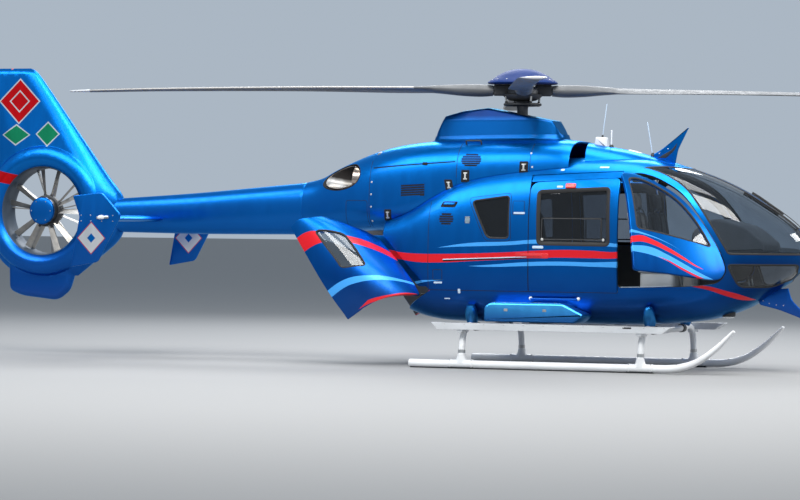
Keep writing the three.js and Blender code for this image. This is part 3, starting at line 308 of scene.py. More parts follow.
def lacquer(name, striped=False, upper=BLUE, lower=BLUE_IN_SHADE, low=0.9, high=1.75):
    """Metallic lacquer under a clear coat, with faint waves and dust. Between the heights low and high its
    colour
    goes from lower to upper: painted shade, which on the body makes it darker low on the machine."""
    made, tree, shader = new_material(name)
    place = add_node(tree, "Attribute", attribute_name="place").outputs["Vector"]
    parts = add_node(tree, "SeparateXYZ", {0: place})
    # painted shade: the colour goes from lower to upper with the height of the place
    rise = spread(tree, parts.outputs["Z"], low, high, 0.0, 1.0)
    colour = mix_colour(tree, rise, lower, upper)
    if striped:
        # painted shade: the nose darkens towards its chin, where it faces the dark ground
        forward = spread(tree, parts.outputs["X"], MAST + 2.35, MAST + 2.75, 0.0, 0.8)
        under = spread(tree, parts.outputs["Z"], 1.20, 1.45, 1.0, 0.0)
        chin = calc(tree, "MULTIPLY", forward, under)
        colour = mix_colour(tree, chin, colour, (0.001, 0.018, 0.10, 1))
    wear = worn(tree, 0.9, 900.0)
    lighter = tuple(min(1, c * 1.35) for c in upper[:3]) + (1,)
    colour = mix_colour(tree, spread(tree, wear.outputs["Cloud"], 0.35, 0.75, 0.0, 0.16), colour, lighter)
    if striped:
        stripes = tree.nodes.new("ShaderNodeGroup")
        stripes.node_tree = stripe_group
        tree.links.new(place, stripes.inputs["Place"])
        colour = mix_colour(tree, stripes.outputs["Pale"], colour, PALE_BLUE)
        colour = mix_colour(tree, stripes.outputs["Red"], colour, RED)
        plain = add_node(tree, "Math", {0: stripes.outputs["Red"], 1: stripes.outputs["Pale"]},
                         operation="MAXIMUM")
        tree.links.new(spread(tree, plain.outputs[0], 0.0, 1.0, 0.95, 0.2), shader.inputs["Metallic"])
    dust = spread(tree, parts.outputs["Z"], 0.45, 0.85, 0.10, 0.0)
    colour = mix_colour(tree, dust, colour, (0.22, 0.22, 0.21, 1))
    tree.links.new(colour, shader.inputs["Base Color"])
    tree.links.new(spread(tree, wear.outputs["Streak"], 0.4, 0.8, 0.32, 0.42), shader.inputs["Roughness"])
    shader.inputs["Metallic"].default_value = 0.95
    shader.inputs["Specular Tint"].default_value = (0.35, 0.75, 1.0, 1)
    shader.inputs["Coat Weight"].default_value = 0.10
    shader.inputs["Coat Roughness"].default_value = 0.14
    height = add_node(tree, "Bump", {"Height": wear.outputs["Cloud"], "Strength": 0.06, "Distance": 0.02})
    tree.links.new(height.outputs[0], shader.inputs["Normal"])
    return made


# painted shade: both body lacquers are darker low on the machine
striped_paint = lacquer("blue_paint_striped", striped=True)
blue_paint = lacquer("blue_paint_plain", lower=(0.008, 0.07, 0.36, 1), low=0.5, high=2.2)
white_paint = finish_of("white_paint", (0.78, 0.79, 0.80), 0.35, coat=0.3, cloud=3.0, grain=600.0,
                        bump=0.05, tone=0.07)
red_paint = finish_of("red_paint", (0.62, 0.012, 0.015), 0.3, coat=0.6, cloud=4.0, grain=500.0, bump=0.05)
# deep black: dark joints, and in louvre slots and recesses painted shade
deep_black = finish_of("deep_black", (0.004, 0.005, 0.007), 0.85, cloud=9.0, grain=400.0, bump=0.2)
black_rubber = finish_of("black_rubber", (0.012, 0.012, 0.013), 0.62, cloud=9.0, grain=700.0, bump=0.25)
black_plastic = finish_of("black_plastic", (0.02, 0.021, 0.023), 0.45, cloud=6.0, grain=1100.0, bump=0.2)
dark_lining = finish_of("dark_lining", (0.10, 0.104, 0.11), 0.8, cloud=3.0, grain=500.0, bump=0.4)
grey_lining = finish_of("grey_lining", (0.42, 0.43, 0.43), 0.7, cloud=2.0, grain=420.0, bump=0.3, tone=0.08)
bare_metal = finish_of("bare_metal", (0.55, 0.55, 0.54), 0.3, metal=1.0, cloud=8.0, grain=300.0, bump=0.08)
dark_steel = finish_of("dark_steel", (0.045, 0.047, 0.05), 0.42, metal=0.7, cloud=7.0, grain=500.0,
                       bump=0.15)

# Cabin pod: the belly tub under the cabin floor. Glass-fibre and light-alloy shells over a riveted floor
# box.


def smooth_rows(rows, steps=50):
    """Rows of a table in millimetres joined by a Catmull-Rom curve, in metres; the last column stays as it
    is."""
    rows = np.array(rows, float)
    rows[:, :-1] /= 1000
    padded = np.vstack([rows[:1], rows, rows[-1:]])
    a, b, c, d = (padded[k:len(rows) - 1 + k, None, :] for k in range(4))
    t = (np.arange(steps) / steps)[None, :, None]
    curve = 0.5 * (2 * b + (c - a) * t + (2 * a - 5 * b + 4 * c - d) * t ** 2 + (3 * b - a - 3 * c + d)
                   * t ** 3)
    return np.vstack([curve.reshape(-1, rows.shape[1]), rows[-1:]])


# x, half width, bottom, widest height, top, power of the rounded section
POD = smooth_rows([
    [-2330, 90, 1490, 1535, 1570, 2.2], [-2230, 215, 1400, 1510, 1590, 2.3],
    [-2000, 370, 1180, 1460, 1620, 2.4], [-1700, 505, 905, 1400, 1660, 2.6],
    [-1430, 600, 715, 1350, 1720, 2.8], [-1150, 680, 580, 1300, 1850, 3.0],
    [-870, 738, 520, 1270, 2010, 3.3], [-570, 770, 503, 1250, 2150, 3.5], [-200, 780, 500, 1250, 2255, 3.5],
    [300, 780, 500, 1250, 2325, 3.5], [900, 780, 500, 1250, 2350, 3.5], [1500, 770, 503, 1250, 2335, 3.5],
    [1900, 748, 530, 1260, 2260, 3.3], [2280, 695, 580, 1270, 2140, 3.0], [2630, 605, 695, 1290, 1980, 2.7],
    [2900, 490, 850, 1310, 1815, 2.5], [3100, 370, 975, 1325, 1680, 2.4],
    [3235, 240, 1105, 1330, 1565, 2.3], [3305, 120, 1215, 1332, 1450, 2.2],
    [3330, 24, 1308, 1332, 1356, 2.0],
])


def section(body, x):
    """Half width, bottom, widest height, top and power of a body's rounded section at x from the mast."""
    return [np.interp(x, body[:, 0], body[:, k]) for k in range(1, 6)]


def skin(body, x, angle, inset=0.0):
    """Point of a body's skin on its left: out from the section's middle at an angle, to where the powers of
    the two coordinates over their half sizes add up to 1."""
    half, low, mid, high, power = section(body, x)
    c, s = np.cos(angle), np.sin(angle)
    reach = (np.abs(c) ** power + np.abs(s) ** power) ** (-1 / power)
    tall = np.where(s > 0, high - mid, mid - low) - inset
    return np.stack([x + MAST + 0 * angle, (half - inset) * reach * c, mid + tall * reach * s], -1)


def angle_at_height(body, x, z):
    """Angle at which a body's skin reaches a height."""
    half, low, mid, high, power = section(body, x)
    up_share = np.clip((z - mid) / np.where(z > mid, high - mid, mid - low), -1, 1)
    side_share = (1 - np.abs(up_share) ** power) ** (1 / power)
    return np.arctan2(up_share, side_share)


def angle_at_width(body, x, y, above=1):
    """Angle at which the upper or lower skin is a distance y from the middle plane."""
    half, low, mid, high, power = section(body, x)
    side_share = np.clip(np.abs(y) / half, 0, 1)
    return above * np.arctan2((1 - side_share ** power) ** (1 / power), side_share)


def densified(loop, step):
    """A closed line with points added so that none are further apart than a step."""
    ends = np.roll(loop, -1, 0)
    counts = np.maximum(1, np.ceil(np.linalg.norm(ends - loop, axis=1) / step)).astype(int)
    pieces = [a + (b - a) * (np.arange(n) / n)[:, None] for a, b, n in zip(loop, ends, counts)]
    return np.concatenate(pieces)


def rounded(rows, step=0.014, grow=0.0):
    """A closed outline in metres from rows [u, v, corner radius] in millimetres: each corner is a quadratic
    curve that starts and ends one radius from it. A positive grow moves every edge outwards first."""
    corners = np.array([(*row, 0)[:3] for row in rows], float) / 1000
    spin = np.sign(np.sum(corners[:, 0] * np.roll(corners[:, 1],
                                                  -1) - corners[:, 1] * np.roll(corners[:, 0], -1)))
    before, after = np.roll(corners, 1, 0)[:, :2], np.roll(corners, -1, 0)[:, :2]
    at = corners[:, :2]
    way_in = (at - before) / np.linalg.norm(at - before, axis=1)[:, None]
    way_out = (after - at) / np.linalg.norm(after - at, axis=1)[:, None]
    normal_in = spin * np.stack([way_in[:, 1], -way_in[:, 0]], 1)
    normal_out = spin * np.stack([way_out[:, 1], -way_out[:, 0]], 1)
    middle = normal_in + normal_out
    at = at + grow * middle / np.sum(middle * normal_in, axis=1)[:, None]
    before, after = np.roll(at, 1, 0), np.roll(at, -1, 0)
    arcs = []
    for b, c, a, radius in zip(before, at, after, corners[:, 2]):
        lengths = [np.linalg.norm(b - c), np.linalg.norm(a - c)]
        reach = min(radius, lengths[0] / 2.05, lengths[1] / 2.05)
        if reach < 1e-6:
            arcs.append(c[None])
            continue
        t = np.linspace(0, 1, max(4, int(reach / 0.006) + 2))[:, None]
        start = c + (b - c) / lengths[0] * reach
        end = c + (a - c) / lengths[1] * reach
        arcs.append((1 - t) ** 2 * start + 2 * t * (1 - t) * c + t ** 2 * end)
    loop = densified(np.concatenate(arcs), step)
    return loop if spin > 0 else loop[::-1]


def oblong(left, right, low, high, radius, step=0.014):
    """The outline in metres of a rectangle with rounded corners, from sizes in millimetres."""
    return rounded([[left, low, radius], [right, low, radius], [right, high, radius], [left, high, radius]],
                   step)


def ways_along(path):
    """At each point of an open line, the unit vector along it."""
    ways = np.gradient(path, axis=0)
    return ways / np.linalg.norm(ways, axis=1)[:, None]


def on_side(body, loop):
    """A side-view outline (x, z) as (x, angle) on a body's left."""
    return np.stack([loop[:, 0], angle_at_height(body, loop[:, 0], loop[:, 1])], 1)


def inside(points, loop):
    """Whether each point lies inside a closed line: a ray from it crosses the line an odd number of
    times."""
    a, b = loop, np.roll(loop, -1, 0)
    px, py = points[:, :1], points[:, 1:]
    spans = (a[:, 1] > py) != (b[:, 1] > py)
    rise = np.where(b[:, 1] == a[:, 1], 1e-12, b[:, 1] - a[:, 1])
    crossing = a[:, 0] + (py - a[:, 1]) * (b[:, 0] - a[:, 0]) / rise
    return np.sum(spans & (px < crossing), axis=1) % 2 == 1


def distance_to(points, loop):
    """Distance of each point from a closed line."""
    a, way = loop, np.roll(loop, -1, 0) - loop
    along = np.sum((points[:, None] - a) * way, -1) / np.maximum(np.sum(way ** 2, -1), 1e-12)
    nearest = a + np.clip(along, 0, 1)[..., None] * way
    return np.min(np.linalg.norm(points[:, None] - nearest, axis=-1), axis=1)


def triangles_in(loops, step):
    """A grid of two parameters, trimmed to the first closed line and outside the others, as triangles.
    Returns its points, its triangles and each line's point numbers."""
    low, high = loops[0].min(0), loops[0].max(0)
    u = np.arange(low[0] + step / 2, high[0], step)
    v = np.arange(low[1] + step / 2, high[1], step)
    grid = np.stack(np.meshgrid(u, v, indexing="ij"), -1).reshape(-1, 2)
    for number, loop in enumerate(loops):
        grid = grid[inside(grid, loop) == (number == 0)]
        if len(grid):
            grid = grid[distance_to(grid, loop) > 0.45 * step]
    points = np.vstack([*loops, grid])
    starts = np.cumsum([0] + [len(loop) for loop in loops])
    edges = [(a + k, a + (k + 1) % (b - a)) for a, b in zip(starts, starts[1:]) for k in range(b - a)]
    found, _, faces, origins, _, _ = delaunay_2d_cdt(points.tolist(), edges, [], 0, 1e-9)
    found = np.array([tuple(p) for p in found])
    number_of = np.zeros(len(points), int)
    number_of[np.concatenate([np.array(o, int) for o in origins])] = np.repeat(
        np.arange(len(origins)), [len(o) for o in origins])
    faces = np.array([f for f in faces if len(f) == 3])
    centres = found[faces].mean(1)
    keep = inside(centres, loops[0])
    for loop in loops[1:]:
        keep &= ~inside(centres, loop)
    faces = faces[keep]
    corners = found[faces]
    one, two = corners[:, 1] - corners[:, 0], corners[:, 2] - corners[:, 0]
    turned = one[:, 0] * two[:, 1] - one[:, 1] * two[:, 0] < 0
    faces[turned] = faces[turned][:, ::-1]
    return found, faces, [number_of[a:b] for a, b in zip(starts, starts[1:])]


def lift(body, table, points, inset=0.0):
    """Skin points and outward normals of a body at (length along it, angle) points of its flat map."""
    x = np.interp(points[:, 0], table, body[:, 0])
    angle = points[:, 1] / MAP_RADIUS
    at = skin(body, x, angle, inset)
    nudge = 1e-4
    back, fore = np.maximum(x - nudge, body[0, 0]), np.minimum(x + nudge, body[-1, 0])
    along = skin(body, fore, angle, inset) - skin(body, back, angle, inset)
    around = skin(body, x, angle + nudge, inset) - skin(body, x, angle - nudge, inset)
    normal = np.cross(around, along)
    return at, normal / np.maximum(np.linalg.norm(normal, axis=1), 1e-12)[:, None]


MAP_RADIUS = 0.7


def flat_map(body, loops):
    """(x, angle) lines of a body on its flat map: length along the body's side, and angle times a
    radius."""
    steps = np.diff(body[:, :5], axis=0)
    lengths = np.sqrt(steps[:, 0] ** 2 + np.maximum.reduce([steps[:, 1] ** 2, steps[:, 2] ** 2,
                                                            steps[:, 4] ** 2]))
    table = np.concatenate([[0], np.cumsum(lengths)])
    return table, [np.stack([np.interp(l[:, 0], body[:, 0], table), l[:, 1] * MAP_RADIUS], 1)
                   for l in loops]


def counter_clockwise(loop, wanted=True):
    """A closed line that runs counter-clockwise, or clockwise where that isn't wanted."""
    x, y = loop[:, 0], loop[:, 1]
    turns_left = np.sum(x * np.roll(y, -1) - y * np.roll(x, -1)) > 0
    return loop if turns_left == wanted else loop[::-1]


def edge_ways(at, normal):
    """At each point of a line that has the panel on its left: the way out of the panel, square to its
    edge."""
    forward = np.roll(at, -1, 0) - at
    forward /= np.maximum(np.linalg.norm(forward, axis=1), 1e-9)[:, None]
    out_after = np.cross(normal, forward)
    out_before = np.cross(normal, np.roll(forward, 1, 0))
    way = out_before + out_after
    way /= np.maximum(np.linalg.norm(way, axis=1), 1e-9)[:, None]
    return way / np.maximum(np.sum(way * out_after, axis=1), 0.55)[:, None]


def turned(points, hinge, degrees):
    """Points turned about a hinge line (from, to) by the right-hand rule."""
    start = np.array(hinge[0], float)
    axis = np.array(hinge[1], float) - start
    axis /= np.linalg.norm(axis)
    away, angle = points - start, np.radians(degrees)
    return (start + away * np.cos(angle) + np.cross(axis, away) * np.sin(angle)
            + np.outer(away @ axis, axis) * (1 - np.cos(angle)))


def make(name, points, faces, materials, numbers=None, body="airframe", slot="blue_paint", nodes=(),
         hinge=None,
         smooth_below=38):
    """A piece from its points and faces, with its finishes, its body and the nodes it stands for. A hinge
    (line, degrees) turns it to where its door stands; the attribute "place" keeps where it is when shut."""
    mesh = bpy.data.meshes.new(name)
    points = np.asarray(points, float)
    faces = [list(map(int, f)) for f in faces]
    mesh.from_pydata(turned(points, *hinge).tolist() if hinge else points.tolist(), [], faces)
    for material in materials:
        mesh.materials.append(material)
    if numbers is not None:
        mesh.polygons.foreach_set("material_index", np.asarray(numbers, np.int32))
    mesh.polygons.foreach_set("use_smooth", np.ones(len(mesh.polygons), bool))
    mesh.set_sharp_from_angle(angle=np.radians(smooth_below))
    place = mesh.attributes.new("place", "FLOAT_VECTOR", "POINT")
    place.data.foreach_set("vector", points.astype(np.float32).ravel())
    piece = bpy.data.objects.new(name, mesh)
    bpy.context.scene.collection.objects.link(piece)
    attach(piece, body)
    if nodes:
        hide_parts(*nodes)
    return piece


def panel(name, form, loops, thick, materials, side=-1, step=0.032, edge=0.0015, inset=0.0, taper=None,
          **piece):
    """A panel of a body's skin between (x, angle) lines, the first round it and the others round its
    openings. Its outer sheet bends over a rounded edge into a wall, and a like sheet closes it inside, so
    many metres in. A taper, as (x from the mast, shares), gives the share of its thickness that it has
    along it."""
    table, maps = flat_map(form, loops)
    maps = [densified(counter_clockwise(line, number == 0), step) for number, line in enumerate(maps)]
    flat, triangles, borders = triangles_in(maps, step)
    at, normal = lift(form, table, flat, inset)
    count = len(at)
    share = np.ones(count) if taper is None else np.interp(at[:, 0] - MAST, *taper)
    depth = (thick * share)[:, None]
    sheet, inner = at.copy(), at - normal * depth
    rings, faces, numbers = [], [triangles], [np.zeros(len(triangles), int)]
    total = 2 * count
    support = min(0.004, thick)
    arc = np.radians([0, 30, 60, 90])
    steps = [(-edge, 0.0)] + [(-edge * (1 - np.sin(a)), -edge * (1 - np.cos(a))) for a in arc[1:]]
    for border in borders:
        out = edge_ways(at[border], normal[border])
        sheet[border] = at[border] - out * (edge + support)
        inner[border] = at[border] - out * edge * 0.5 - normal[border] * depth[border]
        ring_numbers = [border]
        for along, up_by in steps:
            rings.append(at[border] + out * along + normal[border] * up_by)
            ring_numbers.append(np.arange(total, total + len(border)))
            total += len(border)
        rings.append(at[border] - normal[border] * (depth[border] - edge * 0.5))
        ring_numbers += [np.arange(total, total + len(border)), border + count]
        total += len(border)
        for level, (near, far) in enumerate(zip(ring_numbers, ring_numbers[1:])):
            faces.append(np.stack([near, far, np.roll(far, -1), np.roll(near, -1)], 1))
            numbers.append(np.full(len(near), 0 if level < 4 else 1))
    points = np.vstack([sheet, inner, *rings])
    quads = [f[:, ::-1] if side > 0 else f for f in faces]
    back = (triangles if side > 0 else triangles[:, ::-1]) + count
    all_faces = [row for f in quads for row in f.tolist()] + back.tolist()
    numbers = np.concatenate([*numbers, np.full(len(triangles), 2)])
    numbers = np.minimum(numbers, len(materials) - 1)
    points[:, 1] *= -1 if side < 0 else 1
    return make(name, points, all_faces, materials, numbers, **piece)


FLOOR = 0.860
WALL = 0.040
PANE = 0.008
GLASS_DEPTH = 0.014
DOOR_GAP = 0.009
SEAM = 0.0008
POST = 0.032
PILOT_DOOR = [
    [1402, 922, 50], [1402, 2138, 70], [1580, 2172, 60], [1765, 2128, 120], [2075, 1970, 220],
    [2315, 1662, 300], [2515, 1330, 220], [2585, 1110, 90], [2490, 985, 90], [2200, 948, 200],
]


def line(points, step=0.02):
    """An open line in metres through points in millimetres, with points added along it."""
    points = np.array(points, float) / 1000
    pieces = []
    for a, b in zip(points, points[1:]):
        count = max(1, int(np.ceil(np.linalg.norm(b - a) / step)))
        pieces.append(a + (b - a) * (np.arange(count) / count)[:, None])
    return np.vstack([*pieces, points[-1:]])


def other_side(loop):
    """A line on the left half of a body's map, carried over the top to its right half."""
    return np.stack([loop[:, 0], np.pi - loop[:, 1]], 1)


def under_side(loop):
    """A line on the left half of a body's map, carried under the bottom to its right half."""
    return np.stack([loop[:, 0], -np.pi - loop[:, 1]], 1)


PAINTED = [striped_paint, striped_paint, dark_lining]

# The belly's top edge in side view, from the loading sill under the tail to where it meets the chin
belly_edge = line([[-1236, 618], [-845, 838], [-845, FLOOR * 1000 - SEAM], [1393, FLOOR * 1000 - SEAM],
                   [1393, 905], [2985, 905]])
belly_left = on_side(POD, belly_edge)
panel("belly_skin", POD, [np.vstack([belly_left, under_side(belly_left)[::-1]])], 0.03,
      [striped_paint, striped_paint, black_plastic], side=1, nodes=["belly_floor"])


def grid_faces(rows, columns, close_rows=False, close_columns=False):
    """Four-sided faces between the neighbours of a grid of points, closed round where asked."""
    i = np.arange(rows if close_rows else rows - 1)[:, None]
    j = np.arange(columns if close_columns else columns - 1)[None, :]
    ahead, beside = (i + 1) % rows, (j + 1) % columns
    corners = [i * columns + j, ahead * columns + j, ahead * columns + beside, i * columns + beside]
    return np.stack([c.ravel() for c in np.broadcast_arrays(*corners)], 1)


def facing_out(points, faces):
    """Faces turned round if, taken together, they point into the closed body that they bound."""
    a, b, c = (points[faces[:, k]] - points.mean(axis=0) for k in (0, 1, 2))
    volume = np.sum(a * np.cross(b, c))
    if faces.shape[1] == 4:
        d = points[faces[:, 3]] - points.mean(axis=0)
        volume += np.sum(a * np.cross(c, d))
    return faces if volume > 0 else faces[:, ::-1]


def form_through(rings, looped=False):
    """Points and faces of a closed surface through rings of points (rings, points, 3). Its two end rings are
    filled flat, or joined to each other where it is looped."""
    rings = np.asarray(rings, float)
    count, around = rings.shape[:2]
    points = rings.reshape(-1, 3)
    faces = grid_faces(count, around, close_rows=looped, close_columns=True)
    kept = facing_out(points, faces)
    ends = []
    if not looped:
        first, last = list(range(around)), list(range((count - 1) * around, count * around))
        ends = [first, last[::-1]] if kept is faces else [first[::-1], last]
    return points, kept.tolist() + ends


def tube_of(name, rings, materials, looped=False, **piece):
    """A piece that is one closed surface through rings of points."""
    return make(name, *form_through(rings, looped), materials, **piece)


def gathered(name, forms, materials, **piece):
    """One piece of several closed forms, each (points, faces) or (points, faces, material number), x from
    the mast."""
    points, faces, numbers, total = [], [], [], 0
    for form in forms:
        points.append(form[0])
        faces += [[corner + total for corner in face] for face in form[1]]
        numbers += [form[2] if len(form) > 2 else 0] * len(form[1])
        total += len(form[0])
    return make(name, np.vstack(points) + [MAST, 0, 0], faces, materials, numbers, **piece)


def slab_rings(outline, low, high, edge=0.004, flat=(0, 1), across=2):
    """Rings of a plate between two heights with rounded rims: an outline, drawn in a little at both faces
    along a quarter circle. flat names the outline's axes and across the axis of its thickness."""
    outline = counter_clockwise(np.asarray(outline, float))
    ahead = np.roll(outline, -1, 0) - outline
    ahead /= np.maximum(np.linalg.norm(ahead, axis=1), 1e-9)[:, None]
    normal = np.stack([ahead[:, 1], -ahead[:, 0]], 1)
    normal = normal + np.roll(normal, 1, 0)
    normal /= np.maximum(np.linalg.norm(normal, axis=1), 1e-9)[:, None]
    edge = min(edge, (high - low) / 2.01)
    arc = np.radians([0, 30, 60, 90])
    drawn = [(edge * (1 - np.sin(a)), low + edge * (1 - np.cos(a))) for a in arc]
    drawn += [(edge * (1 - np.sin(a)), high - edge * (1 - np.cos(a))) for a in arc[::-1]]
    rings = np.zeros((len(drawn), len(outline), 3))
    for ring, (draw, height) in zip(rings, drawn):
        ring[:, flat[0]] = outline[:, 0] - normal[:, 0] * draw
        ring[:, flat[1]] = outline[:, 1] - normal[:, 1] * draw
        ring[:, across] = height
    return rings


def slab(name, outline, low, high, materials, edge=0.004, **piece):
    """A level plate with rounded rims as a piece of its own."""
    return tube_of(name, slab_rings(outline, low, high, edge), materials, **piece)


def plate(number, outline, low, high, edge=0.004):
    """A level plate with rounded rims, as (points, faces, material number)."""
    return (*form_through(slab_rings(outline, low, high, edge)), number)


def upright(number, outline, low, high, edge=0.004):
    """A plate that stands along the machine, its outline in side view, as (points, faces, material
    number)."""
    return (*form_through(slab_rings(outline, low, high, edge, flat=(0, 2), across=1)), number)


# Cabin floor: a stiff sandwich board with a grey non-slip top, and the loading sill behind it. Both are
# bonded to the belly tub along their edges.
floor_x = np.linspace(-0.845, 2.72, 60)
floor_half = -skin(POD, floor_x, angle_at_height(POD, floor_x, FLOOR - 0.01))[:, 1] + WALL - 0.004
floor_outline = np.vstack([
    np.stack([floor_x + MAST, floor_half], 1), np.stack([floor_x[::-1] + MAST, -floor_half[::-1]], 1),
])
slab("cabin_floor", floor_outline, FLOOR - 0.028, FLOOR, [grey_lining], edge=0.003, slot="black_plastic")
sill_x = np.linspace(-1.060, -0.84, 12)
sill_half = -skin(POD, sill_x, angle_at_height(POD, sill_x, 0.79))[:, 1] + 0.070
sill_outline = np.vstack([
    np.stack([sill_x + MAST, sill_half], 1), np.stack([sill_x[::-1] + MAST, -sill_half[::-1]], 1),
])
slab("loading_sill", sill_outline, 0.788, 0.808, [black_plastic], edge=0.005, slot="black_plastic")

# Cabin roof: one shell over the cabin, between the side walls and back under the cowlings. Moulded of glass
# fibre over a foam core and riveted along both edges.
ROOF_LINE = [
    [-1445, 1522], [-1230, 1640], [-870, 1845], [-570, 1975], [-280, 2070], [0, 2115], [362, 2150],
    [1400, 2196], [1523, 2196],
]
ROOF_FRONT = [[1480, -900], [1530, -560, 90], [1760, -430, 120], [1985, -200, 90], [1985, 200, 90],
              [1760, 430, 120],
              [1530, 560, 90], [1480, 900]]
roof_plan = rounded([[-1500, -900], *ROOF_FRONT, [-1500, 900]], step=0.02)
roof_plan = roof_plan[(roof_plan[:, 1] >= -1e-9) & (roof_plan[:, 0] > 1.49)]
roof_plan = roof_plan[np.argsort(-roof_plan[:, 1])]
front_angle = angle_at_width(POD, roof_plan[:, 0], roof_plan[:, 1])
front_edge = np.stack([roof_plan[:, 0], front_angle], 1)
front_edge = front_edge[front_angle > angle_at_height(POD, roof_plan[:, 0], 2.196) + 0.002]
roof_side = on_side(POD, line(ROOF_LINE))
roof_half = np.vstack([roof_side, front_edge])
roof_loop = np.vstack([roof_half, other_side(roof_half)[::-1]])
panel("cabin_roof", POD, [roof_loop], WALL, PAINTED, side=1, edge=SEAM, nodes=["cabin_roof"])

# Side walls behind the sliding doors, each with a small window held in a black rubber strip. Laid up in
# carbon fibre and riveted to the floor and the roof.
AFT_WINDOW = [[-128, 1442, 60], [-322, 1855, 60], [122, 1918, 50], [127, 1440, 50]]
WALL_OUTLINE = [
    [-834, 861], [354, 861], [354, 2148], [0, 2114], [-280, 2069], [-570, 1974], [-870, 1844],
    [-1230, 1639], [-1443, 1523], [-1444, 1470],
]
sides = [("right", -1), ("left", 1)]
for hand, side in sides:
    wall_loops = [on_side(POD, rounded(WALL_OUTLINE)), on_side(POD, rounded(AFT_WINDOW))]
    panel(f"side_wall_{hand}", POD, wall_loops, WALL, PAINTED, side=side, edge=SEAM,
          nodes=[f"side_wall_{hand}"])

# Nose frame: door posts, windshield pillars, centre post, the band round the nose and the chin, in one
# moulding.
BAND_TOP = 1300
TIP = 3.3299
CHIN_WINDOW = [[2590, 1184, 50], [3270, 1188, 40], [3205, 1050, 60], [3005, 940, 80], [2700, 940, 60]]
WINDSHIELD = [
    [1500, 2222], [1625, 2240, 90], [1830, 2180, 160], [2115, 2025, 230], [2365, 1700, 300],
    [2568, 1365, 60],
    [2600, BAND_TOP, 40], [3500, BAND_TOP], [3500, 2600], [1500, 2600],
]
nose_low = on_side(POD, line([[1394, 906], [2985, 906]]))
nose_low[-1, 1] = -np.pi / 2
under_nose = np.linspace(2.985, TIP, 40)[1:]
under_nose = np.stack([under_nose, np.full(39, -np.pi / 2)], 1)
tip_turn = np.stack([np.full(61, TIP), np.linspace(-np.pi / 2, 3 * np.pi / 2, 61)], 1)[1:-1]
door_hole = rounded(PILOT_DOOR, grow=DOOR_GAP)
door_hole = door_hole[door_hole[:, 0] > 1.3945]
start = np.argmax(np.linalg.norm(door_hole - np.roll(door_hole, 1, 0), axis=1))
door_hole = on_side(POD, np.roll(door_hole, -start, 0))
if door_hole[0, 1] < door_hole[-1, 1]:
    door_hole = door_hole[::-1]
roof_corner = roof_half[roof_half[:, 0] > 1.3935]
half_loop = np.vstack([roof_corner[::-1], door_hole, nose_low, under_nose])
nose_loop = np.vstack([half_loop, tip_turn, other_side(half_loop)[::-1]])

ws_side = rounded(WINDSHIELD)
ws_side = ws_side[(ws_side[:, 0] < 3.3245) & (ws_side[:, 1] < 2.59)]
ws_side = ws_side[ws_side[:, 0] > 1.5005]
ws_side = ws_side[np.argsort(ws_side[:, 0])]
ws_edge = on_side(POD, ws_side)
roof_at = np.interp(ws_edge[:, 0], front_edge[:, 0], front_edge[:, 1])
ws_edge = ws_edge[(ws_edge[:, 1] < roof_at - 0.004) | (ws_edge[:, 0] > 1.986)]
post_x = np.linspace(3.3235, 1.995, 90)
post_line = np.stack([post_x, angle_at_width(POD, post_x, POST)], 1)
roof_part = front_edge[(front_edge[:, 0] > ws_edge[0, 0] + 0.004)
                       & (front_edge[:, 1] < angle_at_width(POD, 1.985, POST))][::-1]
roof_part = roof_part + np.array([0.004, 0.0])
windshield_loop = np.vstack([ws_edge, post_line, roof_part])
chin_loop = on_side(POD, rounded(CHIN_WINDOW, step=0.01))
chin_loop[:, 1] = np.maximum(chin_loop[:, 1], angle_at_width(POD, chin_loop[:, 0], POST, -1))
openings = [windshield_loop, other_side(windshield_loop), chin_loop, other_side(chin_loop)]
panel("nose_frame", POD, [nose_loop, *openings], WALL, [striped_paint, black_rubber, dark_lining], side=1,
      step=0.026, edge=0.001, nodes=["nose_frame"])

# Windshields and chin windows: curved acrylic panes let into the nose frame, sealed all round with black
# rubber.


def pane_glass(name, tint, through):
    """Tinted acrylic: a glass shader that lets lamps through to what is behind it, faintly scratched and
    dusty."""
    made, tree, shader = new_material(name)
    wear = worn(tree, 3.0, 60.0)
    clear = tuple(min(1, c * 1.12) for c in tint) + (1,)
    shade = mix_colour(tree, spread(tree, wear.outputs["Cloud"], 0.35, 0.7, 0.0, 1.0), (*tint, 1), clear)
    tree.links.new(shade, shader.inputs["Base Color"])
    tree.links.new(spread(tree, wear.outputs["Cloud"], 0.4, 0.8, 0.0, 0.015), shader.inputs["Roughness"])
    shader.inputs["Transmission Weight"].default_value = 1.0
    shader.inputs["IOR"].default_value = 1.45
    open_way = add_node(tree, "BsdfTransparent", {"Color": (*through, 1)})
    ray = add_node(tree, "LightPath")
    lit = add_node(tree, "Math", {0: ray.outputs["Is Shadow Ray"], 1: ray.outputs["Is Diffuse Ray"]},
                   operation="MAXIMUM")
    both = add_node(tree, "MixShader", {0: lit.outputs[0], 1: shader.outputs[0], 2: open_way.outputs[0]})
    tree.links.new(both.outputs[0], tree.nodes["Material Output"].inputs["Surface"])
    return made


clear_glass = pane_glass("clear_glass", (0.42, 0.47, 0.52), (0.46, 0.50, 0.54))
smoked_glass = pane_glass("smoked_glass", (0.22, 0.25, 0.29), (0.20, 0.22, 0.24))


def strip_along(name, form, loop, profile, materials, side=-1, hole=True, **piece):
    """A strip whose (out of the panel, out of the skin) profile is carried round a closed line on a
    body."""
    table, maps = flat_map(form, [counter_clockwise(loop, not hole)])
    at, normal = lift(form, table, maps[0])
    out = edge_ways(at, normal)
    profile = np.array(profile, float)
    rings = at[:, None] + out[:, None] * profile[None, :, :1] + normal[:, None] * profile[None, :, 1:]
    rings[..., 1] *= side
    rows, columns = rings.shape[:2]
    points = rings.reshape(-1, 3)
    faces = facing_out(points, grid_faces(rows, columns, close_rows=True, close_columns=True))
    return make(name, points, faces.tolist(), materials, **piece)


